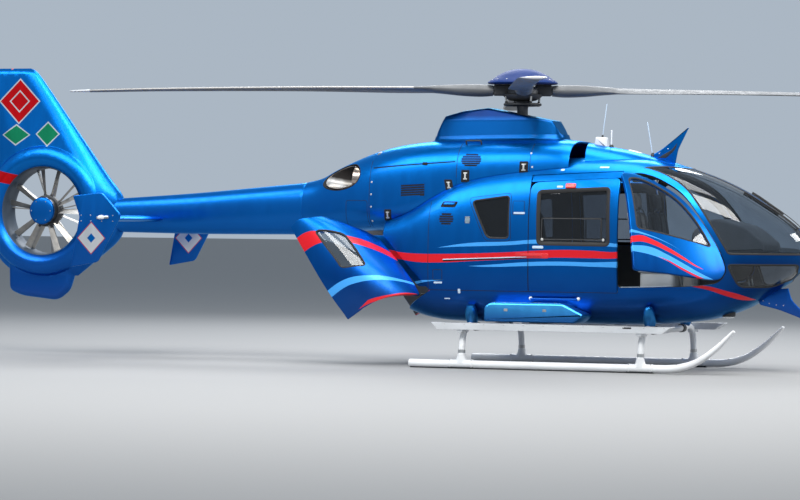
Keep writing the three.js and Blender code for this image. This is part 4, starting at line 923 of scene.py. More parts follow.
SCREEN_SEAL = [(-0.009, 0.0003), (-0.007, 0.0022), (0.004, 0.0028), (0.012, -0.0005), (0.014, -0.0039),
               (0.0005, -0.0039)]
for hand, side in sides:
    for name, loop in (("windshield", windshield_loop), ("chin_window", chin_loop)):
        panel(f"{name}_{hand}", POD, [loop], PANE, [clear_glass], side=side, inset=0.004, edge=0.0005,
              step=0.024,
              slot="clear_pane", nodes=[f"{name}_{hand}"])
        strip_along(f"{name}_seal_{hand}", POD, loop, SCREEN_SEAL, [black_rubber], side=side,
                    slot="black_plastic")
SIDE_SEAL = [(-0.006, 0.0003), (-0.005, 0.0025), (0.004, 0.003), (0.013, -0.004), (0.015, -0.0138),
             (0.0006, -0.0138),
             (0.0006, 0.0003)]
for hand, side in sides:
    loop = on_side(POD, rounded(AFT_WINDOW))
    panel(f"aft_window_{hand}", POD, [loop], PANE, [smoked_glass], side=side, inset=GLASS_DEPTH,
          edge=0.0005,
          slot="clear_pane", nodes=[f"aft_window_{hand}"])
    strip_along(f"aft_window_seal_{hand}", POD, loop, SIDE_SEAL, [black_rubber], side=side,
                slot="black_plastic")

# Sliding cabin doors: pressed shells with a large window in a wide black rubber frame, shut as they stand.
# Each hangs on a covered rail above it and on a second rail low on the cabin's side.
SLIDING_DOOR = [[362, 770, 40], [362, 2068, 110], [1384, 2120, 60], [1384, 850, 30]]
SLIDING_WINDOW = [[462, 1378, 60], [448, 1975, 60], [1280, 2015, 60], [1296, 1372, 60]]
WIDE_SEAL = [(-0.008, 0.0003), (-0.006, 0.0035), (0.006, 0.004), (0.026, -0.002), (0.036, -0.009),
             (0.037, -0.0138),
             (0.0006, -0.0138), (0.0006, 0.0003)]
for hand, side in sides:
    outline_map = on_side(POD, rounded(SLIDING_DOOR))
    window_map = on_side(POD, rounded(SLIDING_WINDOW))
    panel(f"sliding_door_{hand}", POD, [outline_map, window_map], WALL, PAINTED, side=side, edge=0.003,
          nodes=[f"sliding_door_{hand}"])
    panel(f"sliding_window_{hand}", POD, [window_map], PANE, [smoked_glass], side=side, inset=GLASS_DEPTH,
          edge=0.0005,
          slot="clear_pane", nodes=[f"sliding_window_{hand}"])
    strip_along(f"sliding_window_seal_{hand}", POD, window_map, WIDE_SEAL, [black_rubber], side=side,
                slot="black_plastic")
    # the covered rail over the door, from its top edge to the roof
    rail = [[364, 2074], [1380, 2126], [1392, 2136], [1392, 2191], [364, 2144]]
    panel(f"door_rail_{hand}", POD, [on_side(POD, rounded(rail))], 0.020, PAINTED, side=side, inset=0.003)

# Cockpit doors: hinged at the sloping front pillar, the right one standing open. Laid-up shells with a
# rubber seal round their inner edge.
PILOT_WINDOW = [
    [1475, 1420, 50], [1462, 2062, 60], [1585, 2096, 60], [1745, 2055, 120], [2025, 1910, 180],
    [2255, 1622, 250], [2410, 1345, 60],
]
PILOT_HINGE = ((2.560, 0.640, 1.290), (2.322, 0.672, 1.672))
PILOT_OPEN = {"right": 50, "left": 0}


def hinge_line(ends, side):
    """A hinge line given for the left side and x from the mast, in the part's frame on its own side."""
    return tuple((x + MAST, side * y, z) for x, y, z in ends)


for hand, side in sides:
    swing = (hinge_line(PILOT_HINGE, side), side * -PILOT_OPEN[hand])
    outline_map = on_side(POD, rounded(PILOT_DOOR))
    window_map = on_side(POD, rounded(PILOT_WINDOW))
    riding = {"body": f"pilot_door_{hand}", "hinge": swing, "side": side}
    panel(f"pilot_door_{hand}", POD, [outline_map, window_map], WALL, PAINTED, edge=0.003,
          nodes=[f"pilot_door_{hand}"], **riding)
    panel(f"pilot_window_{hand}", POD, [window_map], PANE, [clear_glass], inset=GLASS_DEPTH, edge=0.0005,
          slot="clear_pane", nodes=[f"pilot_window_{hand}"], **riding)
    strip_along(f"pilot_window_seal_{hand}", POD, window_map, SIDE_SEAL, [black_rubber],
                slot="black_plastic", **riding)
    strip_along(f"pilot_door_seal_{hand}", POD, outline_map,
                [(-0.022, -WALL + 0.0002), (-0.018, -WALL - 0.006), (-0.010, -WALL - 0.006),
                 (-0.006, -WALL + 0.0002)],
                [black_rubber], hole=False, slot="black_plastic", **riding)

# Rear clamshell doors: the tail of the pod in two halves, hinged on slanting lines and swung up and out.
# Laid-up shells, thinner at the tail, each with a small window.


def body_value(body, points, grow=0.0):
    """Below 0 inside a body grown by a distance, above 0 outside: the powers of the coordinates' shares,
    less 1."""
    half, low, mid, high, power = section(body, points[..., 0] - MAST)
    tall = np.where(points[..., 2] > mid, high - mid, mid - low) + grow
    share = np.abs(points[..., 1]) / (half + grow)
    return share ** power + np.abs((points[..., 2] - mid) / tall) ** power - 1


# x, half width, bottom, widest height, top, power of the rounded section
DECK = smooth_rows([
    [-2620, 212, 1455, 1750, 2054, 2.4], [-2400, 262, 1470, 1750, 2108, 2.5],
    [-2215, 325, 1485, 1760, 2202, 2.6], [-2000, 400, 1500, 1780, 2295, 2.7],
    [-1750, 470, 1512, 1800, 2388, 2.9], [-1480, 530, 1520, 1830, 2462, 3.0],
    [-1170, 575, 1560, 1880, 2512, 3.1], [-800, 592, 1700, 1960, 2537, 3.2],
    [-300, 598, 1800, 2020, 2552, 3.2], [200, 598, 1850, 2050, 2555, 3.2],
    [600, 585, 1850, 2060, 2546, 3.2], [780, 574, 1850, 2065, 2526, 3.2],
])


def meeting_angle(body, other, x, gap, angles):
    """At each x, the last angle along a run of angles at which a body's skin is still outside another
    body."""
    points = skin(body, x[:, None], angles[None, :])
    outside = body_value(other, points, gap) > 0
    last = np.argmin(outside, axis=1)
    last = np.where(outside.all(axis=1), len(angles), last)
    return angles[np.clip(last - 1, 0, len(angles) - 1)]


CLAM_HINGE = ((-0.850, 0.790, 0.860), (-1.420, 0.640, 1.420))
CLAM_OPEN = 80
TAIL_END = -2.262
clam_x = np.linspace(-1.560, TAIL_END, 60)
clam_top = meeting_angle(POD, DECK, clam_x, DOOR_GAP, np.radians(np.linspace(-30, 60, 500)))
# the door's top edge, under the rear cowling's keel at its tail
clam_height = np.interp(clam_x, [TAIL_END, -2.18, -2.02], [1.446, 1.452, 1.535])
clam_top = np.minimum(clam_top, angle_at_height(POD, clam_x, clam_height))
hinge_edge = on_side(POD, line([[-1310, 608], [-852, 850], [-1462, 1468], [-1560, 1500]]))
keel_x = np.linspace(TAIL_END, -1.330, 60)
keel = np.stack([keel_x, angle_at_width(POD, keel_x, DOOR_GAP / 2, -1)], 1)
tail_turn = np.linspace(clam_top[-1], keel[0, 1], 24)[1:-1]
tail_turn = np.stack([np.full(22, TAIL_END), tail_turn], 1)
clam_map = np.vstack([hinge_edge, np.stack([clam_x[1:], clam_top[1:]], 1), tail_turn, keel])
CLAMSHELL_WINDOW = [[-1488, 955, 50], [-1815, 1302, 50], [-2085, 1312, 50], [-1905, 1140, 60],
                    [-1668, 925, 50]]
for hand, side in sides:
    # the jamb that the door shuts over, set in from the skin behind the pod's slanting edge
    jamb = [[-838, 864], [-1450, 1476], [-1600, 1476], [-990, 864]]
    panel(f"rear_jamb_{hand}", POD, [on_side(POD, rounded(jamb))], 0.018, PAINTED, side=side, inset=0.052)
    swing = (hinge_line(CLAM_HINGE, side), side * -CLAM_OPEN)
    window_map = on_side(POD, rounded(CLAMSHELL_WINDOW))
    riding = {"body": f"rear_door_{hand}", "hinge": swing, "side": side}
    panel(f"rear_door_{hand}", POD, [clam_map, window_map], WALL, PAINTED, edge=0.003, step=0.026,
          taper=([TAIL_END, -2.18, -2.03], [0.20, 0.35, 1.0]),
          nodes=[f"rear_door_{hand}"], **riding)
    panel(f"rear_window_{hand}", POD, [window_map], PANE, [clear_glass], inset=GLASS_DEPTH, edge=0.0005,
          slot="clear_pane", nodes=[f"rear_window_{hand}"], **riding)
    strip_along(f"rear_window_seal_{hand}", POD, window_map, SIDE_SEAL, [black_rubber],
                slot="black_plastic", **riding)

# Engine cowlings: large light-alloy lids over the two engines, in three lengths with seams between them.
# Pressed over frames and held down by spring latches.
COWL_BACK = -1.655
RING_CUT = -1.452
cowl_angles = np.radians(np.linspace(60, -89.9, 900))


def cowl_seam(x):
    """Angle at which the cowling comes down onto the pod's roof, just clear of it."""
    return meeting_angle(DECK, POD, x, 0.002, cowl_angles)


COWL_JOINTS = [0.745, 0.300, -0.566, COWL_BACK]
for number, (front, rear) in enumerate(zip(COWL_JOINTS, COWL_JOINTS[1:])):
    stops = sorted({front - 0.0012, rear + 0.0012, *([RING_CUT] if rear < RING_CUT < front else [])})
    run_x = np.linspace(max(stops[0], RING_CUT + 0.001), stops[-1], 60)
    run = np.stack([run_x, cowl_seam(run_x)], 1)
    if stops[0] < RING_CUT:
        under = np.stack([np.linspace(stops[0], RING_CUT, 14), np.full(14, -np.pi / 2 + 0.004)], 1)
        drop = np.stack([np.full(30, RING_CUT), np.linspace(-np.pi / 2 + 0.004, run[0, 1], 32)[1:-1]], 1)
        run = np.vstack([under, drop, run])
    loop = np.vstack([run, other_side(run)[::-1]])
    nodes = ["engine_cowling"] if number == 0 else []
    panel(f"engine_cowling_{number}", DECK, [loop], 0.018, [blue_paint], side=1, edge=0.0015, nodes=nodes)

# Rear cowling: a closed cone over the back of the engine bay that carries the two exhaust pipes to the
# boom.
EXHAUST_FROM = (-1.790, 0.258, 2.084)
EXHAUST_TO = (-2.420, 0.357, 2.159)
PIPE = 0.155


def rays_of(start, end, radius, count=96):
    """Points of a circle about the start of an axis, square to it, and the axis as a unit vector."""
    start, end = np.array(start, float), np.array(end, float)
    way = (end - start) / np.linalg.norm(end - start)
    one = np.cross(way, [0, 0, 1])
    one /= np.linalg.norm(one)
    two = np.cross(one, way)
    turn = np.linspace(0, 2 * np.pi, count, endpoint=False)[:, None]
    return start + radius * (np.cos(turn) * one + np.sin(turn) * two), way


def way_out_of(body, points, way, grow):
    """How far each point goes along a way before it leaves a grown body for good."""
    run = np.linspace(0, 0.95, 1600)
    along = points[:, None] + run[None, :, None] * way
    outside = body_value(body, along + [MAST, 0, 0], grow) > 0
    return run[len(run) - 1 - np.argmax(~outside[:, ::-1], axis=1)]


pipe_ring, pipe_way = rays_of(EXHAUST_FROM, EXHAUST_TO, PIPE + 0.0115)
bore = pipe_ring + way_out_of(DECK, pipe_ring, pipe_way, 0.0)[:, None] * pipe_way
half, low, mid, high, power = section(DECK, bore[:, 0])
bore_angle = np.arctan2((bore[:, 2] - mid) / (high - mid), bore[:, 1] / half)
bore_map = np.stack([bore[:, 0], bore_angle], 1)
REAR_END = -2.5995
rear_x = np.linspace(REAR_END, COWL_BACK - 0.0014, 40)
rear_side = np.stack([rear_x, np.full(40, -np.pi / 2 + 0.004)], 1)
rear_loop = np.vstack([rear_side, other_side(rear_side)[::-1]])
panel("rear_cowling", DECK, [rear_loop, bore_map, other_side(bore_map)], 0.018,
      [blue_paint, black_plastic, dark_lining], side=1, step=0.026, nodes=["rear_cowling"])

# Exhaust pipes: rolled heat-resisting steel, cut off flush with the cowling, straw and blue from the heat.
# Each is a nozzle in a short sleeve, black inside with soot and with painted shade.
made, tree, shader = new_material("exhaust_steel")
wear = worn(tree, 6.0, 260.0)
heat = add_node(tree, "ValToRGB", {"Fac": wear.outputs["Cloud"]})
heat.color_ramp.elements[0].position = 0.3
heat.color_ramp.elements[0].color = (0.42, 0.33, 0.25, 1)
heat.color_ramp.elements[1].position = 0.72
heat.color_ramp.elements[1].color = (0.62, 0.58, 0.52, 1)
heat.color_ramp.elements.new(0.5).color = (0.50, 0.41, 0.36, 1)
tree.links.new(heat.outputs["Color"], shader.inputs["Base Color"])
tree.links.new(spread(tree, wear.outputs["Streak"], 0.3, 0.8, 0.16, 0.4), shader.inputs["Roughness"])
shader.inputs["Metallic"].default_value = 1.0
exhaust_steel = made
soot = finish_of("soot", (0.010, 0.009, 0.008), 0.85, cloud=5.0, grain=200.0, bump=0.4)
# inside a pipe: bright low in it, and black from a little below its axis up, with soot and as painted shade
made, tree, shader = new_material("exhaust_inside")
wear = worn(tree, 7.0, 220.0)
spot = add_node(tree, "TexCoord").outputs["Object"]
fall = (EXHAUST_TO[2] - EXHAUST_FROM[2]) / (EXHAUST_TO[0] - EXHAUST_FROM[0])
over = add_node(tree, "VectorMath", {0: spot, 1: (-fall, 0, 1)}, operation="DOT_PRODUCT").outputs["Value"]
axis_height = EXHAUST_FROM[2] - fall * (EXHAUST_FROM[0] + MAST)
ragged = calc(tree, "ADD", over, calc(tree, "MULTIPLY", wear.outputs["Cloud"], 0.05))
black = spread(tree, ragged, axis_height - 0.055, axis_height + 0.005, 0.0, 1.0)
steel = mix_colour(tree, spread(tree, wear.outputs["Cloud"], 0.35, 0.7, 0.0, 1.0), (0.62, 0.62, 0.62, 1),
                   (0.40, 0.36, 0.31, 1))
tree.links.new(mix_colour(tree, black, steel, (0.012, 0.009, 0.008, 1)), shader.inputs["Base Color"])
tree.links.new(spread(tree, black, 0.0, 1.0, 0.34, 0.9), shader.inputs["Roughness"])
tree.links.new(spread(tree, black, 0.0, 1.0, 1.0, 0.0), shader.inputs["Metallic"])
exhaust_inside = made
NOZZLE = PIPE - 0.012
NOZZLE_BARE = 0.085
for hand, side in sides:
    ring, way = rays_of(EXHAUST_FROM, EXHAUST_TO, 1.0)
    start = np.array(EXHAUST_FROM)
    spokes = ring - start
    flush = way_out_of(DECK, start + spokes * (PIPE + 0.006), way, 0.0)
    scarf = np.maximum(way_out_of(DECK, start + spokes * NOZZLE, way, 0.0) - 0.012,
                       flush.min() + NOZZLE_BARE)
    # radius, and how far along: a share of the reach less a setback
    sleeve = [(PIPE + 0.002, 0.04, 0.0), (PIPE + 0.002, 0.5, 0.0), (PIPE + 0.002, 1, 0.002),
              (PIPE + 0.004, 1, -0.001),
              (PIPE + 0.008, 1, -0.001), (PIPE + 0.009, 1, 0.002), (PIPE + 0.009, 0.5, 0.0),
              (PIPE + 0.009, 0.04, 0.0)]
    nozzle = [(NOZZLE, 0.02, 0.0), (NOZZLE, 0.5, 0.0), (NOZZLE, 1, 0.004), (NOZZLE - 0.001, 1, 0.001),
              (NOZZLE - 0.003, 1, 0.0), (NOZZLE - 0.005, 1, 0.001), (NOZZLE - 0.006, 1, 0.004),
              (NOZZLE - 0.006, 0.8, 0.0),
              (NOZZLE - 0.006, 0.4, 0.0), (NOZZLE - 0.006, 0.12, 0.0), (NOZZLE * 0.6, 0.11, 0.0),
              (0.01, 0.11, 0.0)]
    forms = []
    for profile, reach, number, looped in ((sleeve, flush, 2, True), (nozzle, scarf, 0, False)):
        rings = np.stack([
            start + spokes * radius + (reach * share - back)[:, None] * way for radius, share,
            back in profile
        ])
        points, faces = form_through(rings * [1, side, 1], looped)
        forms.append((points, faces, number))
    piece = gathered(f"exhaust_{hand}", forms, [exhaust_steel, exhaust_inside, soot], slot="bright_steel",
                     nodes=[f"exhaust_{hand}"])
    # the nozzle's faces from its lip inwards, of which the last rings close its far end
    first = len(forms[0][1])
    around = len(spokes)
    # the sleeve and the nozzle's closed far end are soot black; at the far end it is painted shade deep in
    # the pipe
    numbers = [2] * first + [0] * (6 * around) + [1] * (4 * around) + [2] * (around) + [0, 2]
    piece.data.polygons.foreach_set("material_index", np.array(numbers, np.int32))

# Front fairing: a long low blister ahead of the cowlings, over the gearbox intake and the control rods.
# Moulded of glass fibre and screwed down along its lower edge.
FAIRING = smooth_rows([
    [640, 470, 1850, 2070, 2540, 2.8], [800, 478, 1850, 2075, 2516, 2.8],
    [1050, 468, 1850, 2080, 2474, 2.7], [1310, 435, 1850, 2085, 2428, 2.6],
    [1560, 370, 1850, 2090, 2365, 2.5], [1800, 270, 1850, 2095, 2302, 2.4],
    [1985, 150, 1850, 2100, 2236, 2.2],
])
fairing_x = np.linspace(0.6405, 1.9845, 90)
fairing_low = meeting_angle(FAIRING, POD, fairing_x, 0.002, np.radians(np.linspace(89, -60, 900)))
run = np.stack([fairing_x, fairing_low], 1)
# its back edge stands clear of the cowlings, further at its sides, and leaves the engines' intake between
# them
back_turn = np.linspace(run[0, 1], np.pi - run[0, 1], 50)[1:-1]
back_edge = np.stack([0.785 + 0.12 * np.abs(np.cos(back_turn)) ** 0.7, back_turn], 1)
run = run[run[:, 0] > 0.785 + 0.12 * np.cos(run[0, 1]) ** 0.7]
fairing_loop = np.vstack([run, other_side(run)[::-1], back_edge[::-1]])
panel("front_fairing", FAIRING, [fairing_loop], 0.016, [blue_paint, black_plastic, black_plastic], side=1,
      nodes=["front_fairing"])

# Mast fairing: a bonnet-shaped cover that stands on the cowlings round the rotor mast, open at its top.
# Moulded of glass fibre and screwed down through a flange round its foot.
BONNET_BASE = [[-1005, -190, 90], [-700, -264, 300], [-240, -282, 700], [220, -262, 300], [545, -172, 130],
               [545, 172, 130], [220, 262, 300], [-240, 282, 700], [-700, 264, 300], [-1005, 190, 90]]
BONNET_TOP = [[-1.005, 2.540], [-0.872, 2.815], [-0.650, 2.872], [-0.360, 2.908], [0.000, 2.838],
              [0.410, 2.762],
              [0.545, 2.550]]
BONNET_HOLE = 0.165
BONNET_FOOT = 2.500
BONNET_WALL = [[0.0, 0.056, 0.105, 0.500], [2.500, 2.775, 2.885, 3.500]]
plan = rounded(BONNET_BASE, step=0.016)
crest_x, crest_z = np.array(BONNET_TOP).T


def lesser(a, b, soft):
    """The lower of two heights, with the ridge between them rounded off over a distance."""
    near = np.clip(1 - np.abs(a - b) / soft, 0, 1)
    return np.minimum(a, b) - near ** 2 * soft / 4


def bonnet(share):
    """Rings of the bonnet from its foot, share 0, to the edge of its mast hole, share 1. Each is the foot's
    outline drawn in towards the mast. A point stands on the side wall, which leans in more near its top, or
    on the crest, the lower of the two."""
    angle = np.arctan2(plan[:, 1], plan[:, 0])
    hole = BONNET_HOLE * np.stack([np.cos(angle), np.sin(angle)], 1)
    at = plan * (1 - share[:, None, None]) + hole * share[:, None, None]
    wall = np.interp(distance_to(at.reshape(-1, 2), plan), *BONNET_WALL).reshape(at.shape[:2])
    height = lesser(wall, np.interp(at[..., 0], crest_x, crest_z), 0.03)
    return np.concatenate([at, np.maximum(height, BONNET_FOOT)[..., None]], -1)


shares = np.concatenate([np.linspace(0, 0.75, 90), np.linspace(0.77, 1, 14)])
outer = bonnet(shares)
centre = np.array([-0.23, 0, 0])
inner = (outer[::-1] - centre) * [0.985, 0.955, 1] + centre - [0, 0, 0.012]
bonnet_form = form_through(np.concatenate([outer, inner]), looped=True)
# painted shade: the bonnet is lacquered darker than the body, darkest over its crest as painted reflection
bonnet_paint = lacquer("bonnet_paint", upper=(0.001, 0.016, 0.085, 1), lower=(0.001, 0.075, 0.27, 1),
                       low=2.74, high=2.82)
# a rolled flange round its foot lies on the cowlings
way_round = np.roll(plan, -1, 0) - np.roll(plan, 1, 0)
way_round /= np.linalg.norm(way_round, axis=1)[:, None]
way_off = np.stack([way_round[:, 1], -way_round[:, 0]], 1)
flange = []
for off, rise in ((-0.012, -0.010), (-0.012, 0.060), (-0.004, 0.034), (0.004, 0.012), (0.026, 0.004),
                  (0.026, -0.010)):
    at = plan + way_off * off
    half, low, mid, high, power = section(DECK, at[:, 0])
    top = mid + (high - mid) * (1 - np.clip(np.abs(at[:, 1]) / half, 0, 1) ** power) ** (1 / power)
    flange.append(np.column_stack([at, top + rise]))
flange_form = form_through(np.stack(flange, axis=1), looped=True)
gathered("mast_fairing", [bonnet_form, flange_form], [bonnet_paint], nodes=["mast_fairing"],
         smooth_below=50)

# Tail boom: a tapering tube of carbon and glass fibre from the rear cowling to the fan shroud. Laid up in
# one piece and riveted to a ring in the cowling.
BOOM = smooth_rows([
    [-2601, 214, 1456, 1755, 2054, 2.4], [-3300, 196, 1450, 1720, 1988, 2.5],
    [-4100, 172, 1448, 1682, 1918, 2.5], [-5170, 134, 1460, 1650, 1845, 2.5],
])[::-1]
boom_x = np.concatenate([[-5.168], np.linspace(-5.165, -2.604, 80), [-2.6012]])
boom_turn = np.linspace(0, 2 * np.pi, 72, endpoint=False)
boom_inset = np.full(len(boom_x), 0.0)
boom_inset[[0, -1]] = 0.0015
boom_rings = np.stack([skin(BOOM, np.full(72, x), boom_turn, i) for x, i in zip(boom_x, boom_inset)])
tube_of("tail_boom", boom_rings, [blue_paint], nodes=["tail_boom"])

# Stabiliser: a wing of glass fibre through the boom, with an upright plate bolted to each end. Each plate
# is a shell with rounded rims, held by eight bolts.
STAB_FRONT, STAB_BACK, STAB_HIGH, STAB_REACH = -4.400, -4.880, 1.615, 1.302


def wing_section(chord, thick, count=40, camber=0.0):
    """A wing's section, front at 0 and back at -chord: half thickness grows with the root of the run from
    the front and falls evenly to the back; camber lifts the middle along a parabola."""
    turn = np.linspace(0, 2 * np.pi, count, endpoint=False)
    run = (1 - np.cos(turn)) / 2
    half = thick * (1.32 * np.sqrt(run) * (1 - run) + 0.12 * run * (1 - run) + 0.02 * np.sqrt(run))
    lift_up = 4 * camber * run * (1 - run)
    return np.stack([-chord * run, np.sign(np.sin(turn)) * half + lift_up], 1)


wing = wing_section(STAB_FRONT - STAB_BACK, 0.066, camber=0.004)
across = np.linspace(-STAB_REACH, STAB_REACH, 31)
wing_rings = np.stack([
    np.column_stack([wing[:, 0] + STAB_FRONT, np.full(len(wing), y), wing[:, 1] + STAB_HIGH])
    for y in across
])
flap = slab_rings(rounded([[-4700, -1180], [-4700, -420], [-4884, -420], [-4884, -1180]]),
                  STAB_HIGH - 0.0045,
                  STAB_HIGH + 0.0045, edge=0.003)
gathered("stabiliser_wing", [form_through(wing_rings), form_through(flap)], [blue_paint],
         nodes=["stabiliser"])


def lozenge(tree, parts, x, z, half_x, half_z, edge=0.004):
    """A mask that is 1 within an upright lozenge on a side face: the shares of its two half sizes add up to
    1."""
    shares = []
    for axis, centre, half in (("X", x + MAST, half_x), ("Z", z, half_z)):
        off = add_node(tree, "Math", {0: parts.outputs[axis], 1: centre}, operation="SUBTRACT")
        away = add_node(tree, "Math", {0: off.outputs[0]}, operation="ABSOLUTE")
        shares.append(calc(tree, "DIVIDE", away.outputs[0], half))
    total = calc(tree, "ADD", shares[0], shares[1])
    return spread(tree, total, 1 - edge / half_x, 1 + edge / half_x, 1.0, 0.0)


def marked_paint(name, marks, bands=()):
    """Blue lacquer with lozenges (x, z, half width, half height, colour) and slanting bands (x from, x to,
    z at the first, z at the last, height, colour) painted on a side face, each mark over the ones before
    it."""
    # painted shade: darker low on the machine, as in the plain lacquer
    made = lacquer(name, lower=(0.008, 0.07, 0.36, 1), low=0.5, high=2.2)
    tree = made.node_tree
    shader = tree.nodes["Principled BSDF"]
    colour = shader.inputs["Base Color"].links[0].from_socket
    parts = add_node(tree, "SeparateXYZ", {0: add_node(tree, "Attribute",
                                                       attribute_name="place").outputs["Vector"]})
    for x, z, half_x, half_z, tint in marks:
        colour = mix_colour(tree, lozenge(tree, parts, x, z, half_x, half_z), colour, tint)
    for first, last, z_first, z_last, height, tint in bands:
        middle = add_node(tree, "MapRange", {0: parts.outputs["X"], 1: first + MAST, 2: last + MAST,
                                             3: z_first, 4: z_last})
        off = add_node(tree, "Math", {0: parts.outputs["Z"], 1: middle.outputs[0]}, operation="SUBTRACT")
        away = calc(tree, "ABSOLUTE", off.outputs[0])
        within = spread(tree, away, height / 2 - 0.002, height / 2 + 0.002, 1.0, 0.0)
        begun = calc(tree, "GREATER_THAN", parts.outputs["X"], first + MAST)
        ended = calc(tree, "LESS_THAN", parts.outputs["X"], last + MAST)
        reach = calc(tree, "MULTIPLY", begun, ended)
        mask = calc(tree, "MULTIPLY", within, reach)
        colour = mix_colour(tree, mask, colour, tint)
    tree.links.new(colour, shader.inputs["Base Color"])
    return made


WHITE = (0.80, 0.81, 0.82, 1)
plate_paint = marked_paint("end_plate_paint", [
    (-4.731, 1.391, 0.178, 0.186, RED), (-4.731, 1.391, 0.168, 0.176, WHITE),
    (-4.731, 1.391, 0.052, 0.055, BLUE),
])
END_PLATE = [[-4360, 1655, 40], [-4605, 1915, 50], [-4972, 1872, 20], [-4885, 1640, 30], [-4990, 1058, 20],
             [-4650, 1118, 40]]
for hand, side in sides:
    low, high = sorted([side * 1.302, side * 1.334])
    plate_forms = [form_through(slab_rings(rounded(END_PLATE), low, high, edge=0.009, flat=(0, 2),
                                           across=1))]
    bolts = np.array([(x, z) for x in (-4.46, -4.60, -4.74, -4.86) for z in (1.585, 1.650)])
    for x, z in bolts:
        ring = oblong(-7, 7, -7, 7, 6, step=0.006) + [x, z]
        near, far = sorted([side * 1.3330, side * 1.3365])
        plate_forms.append(upright(1, ring, near, far, edge=0.002))
    gathered(f"end_plate_{hand}", plate_forms, [plate_paint, bare_metal])


def lathe(profile, centre, axis, around=48):
    """Rings of a form turned on an axis through a centre: rows of (radius, place along the axis)."""
    axis = np.asarray(axis, float) / np.linalg.norm(axis)
    helper = np.array([0, 0, 1.0]) if abs(axis[2]) < 0.9 else np.array([1.0, 0, 0])
    one = np.cross(helper, axis)
    one /= np.linalg.norm(one)
    two = np.cross(axis, one)
    turn = np.linspace(0, 2 * np.pi, around, endpoint=False)[:, None]
    spokes = np.cos(turn) * one + np.sin(turn) * two
    return np.stack([np.asarray(centre) + max(radius, 0.0004) * spokes + along * axis for radius,
                     along in profile])


def lathed(number, profile, centre, axis, around=48, looped=False):
    """A form turned on an axis, as (points, faces, material number)."""
    return (*form_through(lathe(profile, centre, axis, around), looped), number)


# Navigation lights: a clear-topped lamp in a streamlined foot on each end plate, red on the left and white
# on the right.
def lamp_lens(name, colour):
    """Moulded lens: coloured plastic with a fine prism pattern in its normal."""
    made, tree, shader = new_material(name)
    spot = add_node(tree, "TexCoord").outputs["Object"]
    waves = add_node(tree, "TexWave", {"Vector": spot, "Scale": 60.0, "Distortion": 0.0})
    height = add_node(tree, "Bump", {"Height": waves.outputs["Fac"], "Strength": 0.35, "Distance": 0.001})
    tree.links.new(height.outputs[0], shader.inputs["Normal"])
    wear = worn(tree, 20.0, 300.0)
    pale = tuple(min(1, c * 1.2 + 0.02) for c in colour) + (1,)
    shade = mix_colour(tree, spread(tree, wear.outputs["Cloud"], 0.35, 0.7, 0.0, 1.0), (*colour, 1), pale)
    tree.links.new(shade, shader.inputs["Base Color"])
    shader.inputs["Roughness"].default_value = 0.12
    shader.inputs["Coat Weight"].default_value = 0.8
    return made


green_lens = lamp_lens("green_lens", (0.02, 0.35, 0.18))
red_lens = lamp_lens("red_lens", (0.60, 0.015, 0.012))
white_lens = lamp_lens("white_lens", (0.72, 0.74, 0.75))


def capsule(start, end, radius):
    """A rod from start to end with domed ends."""
    start, end = np.array(start, float), np.array(end, float)
    length = np.linalg.norm(end - start)
    dome = [(radius * np.sin(t), radius * (1 - np.cos(t))) for t in np.linspace(0.05, np.pi / 2, 7)]
    rows = dome + [(r, length - along) for r, along in dome[::-1]]
    return form_through(lathe(rows, start, end - start, 24))


def rod(number, start, end, radius):
    """A rod with domed ends, as (points, faces, material number)."""
    return (*capsule(start, end, radius), number)


for hand, side, lens in (("right", -1, green_lens), ("left", 1, red_lens)):
    foot = capsule((-4.665, side * 1.338, 1.622), (-4.505, side * 1.338, 1.635), 0.020)
    glass = capsule((-4.640, side * 1.352, 1.626), (-4.560, side * 1.352, 1.632), 0.024)
    gathered(f"navigation_light_{hand}", [(*foot, 0), (*glass, 1)],
             [bare_metal, lens if side > 0 else white_lens],
             slot="grey_metal")

# Fin and fan shroud: one moulding, a thick ring round the fan that runs into a swept fin above and a small
# one below. Its two sides meet at its rim, and each side is a height over the plane between them.
FIN = np.array([
    [0.935, -5.560, -6.360, 0.060], [1.120, -5.330, -6.600, 0.150], [1.400, -5.010, -6.720, 0.185],
    [1.700, -4.962, -6.745, 0.190], [1.880, -4.990, -6.755, 0.185], [2.100, -5.165, -6.790, 0.170],
    [2.400, -5.395, -6.850, 0.135], [2.800, -5.700, -6.930, 0.100], [3.200, -6.005, -7.010, 0.075],
    [3.350, -6.130, -7.045, 0.062], [3.394, -6.215, -7.060, 0.045],
])
FAN_X, FAN_Z = -5.980, 1.700
RING_CREST = 0.640
fin_rows = smooth_rows(np.column_stack([FIN[:, 0:1] * 1000, FIN[:, 1:] * 1000, np.ones(len(FIN))]),
                       steps=12)
VENTRAL = [[-6470, 1150], [-6455, 755, 60], [-6300, 690, 90], [-5820, 640, 80], [-5665, 760, 60],
           [-5560, 1080]]


def fin_height(x, z):
    """Half thickness of the fin: full at a quarter of its run, round at its nose and thin at its tail."""
    front, back, half = (np.interp(z, fin_rows[:, 0], fin_rows[:, k]) for k in (1, 2, 3))
    run = np.clip((front - x) / (front - back), 0, 1)
    thick = 2.6 * np.sqrt(run) * (1 - run) ** 0.75 + 0.12 * (1 - run) * np.minimum(1, run * 60)
    top = np.sqrt(np.clip((fin_rows[-1, 0] - z) / 0.05, 0, 1))
    foot = np.sqrt(np.clip((z - fin_rows[0, 0]) / 0.08, 0, 1))
    return half * np.minimum(1, thick) * np.minimum(top, foot) * ((x < front) & (x > back))


def ring_height(x, z):
    """Half thickness of the shroud's ring by the distance from the fan's axis, round at its rim."""
    radius = np.hypot(x - FAN_X, z - FAN_Z)
    profile = np.array([[0.50, 0.150], [0.56, 0.190], [0.60, 0.202], [0.640, 0.205], [0.68, 0.198],
                        [0.720, 0.175],
                        [0.745, 0.148], [0.760, 0.115], [0.769, 0.07], [0.772, 0.0]])
    return np.interp(radius, profile[:, 0], profile[:, 1])


ventral_loop = rounded(VENTRAL, step=0.03)


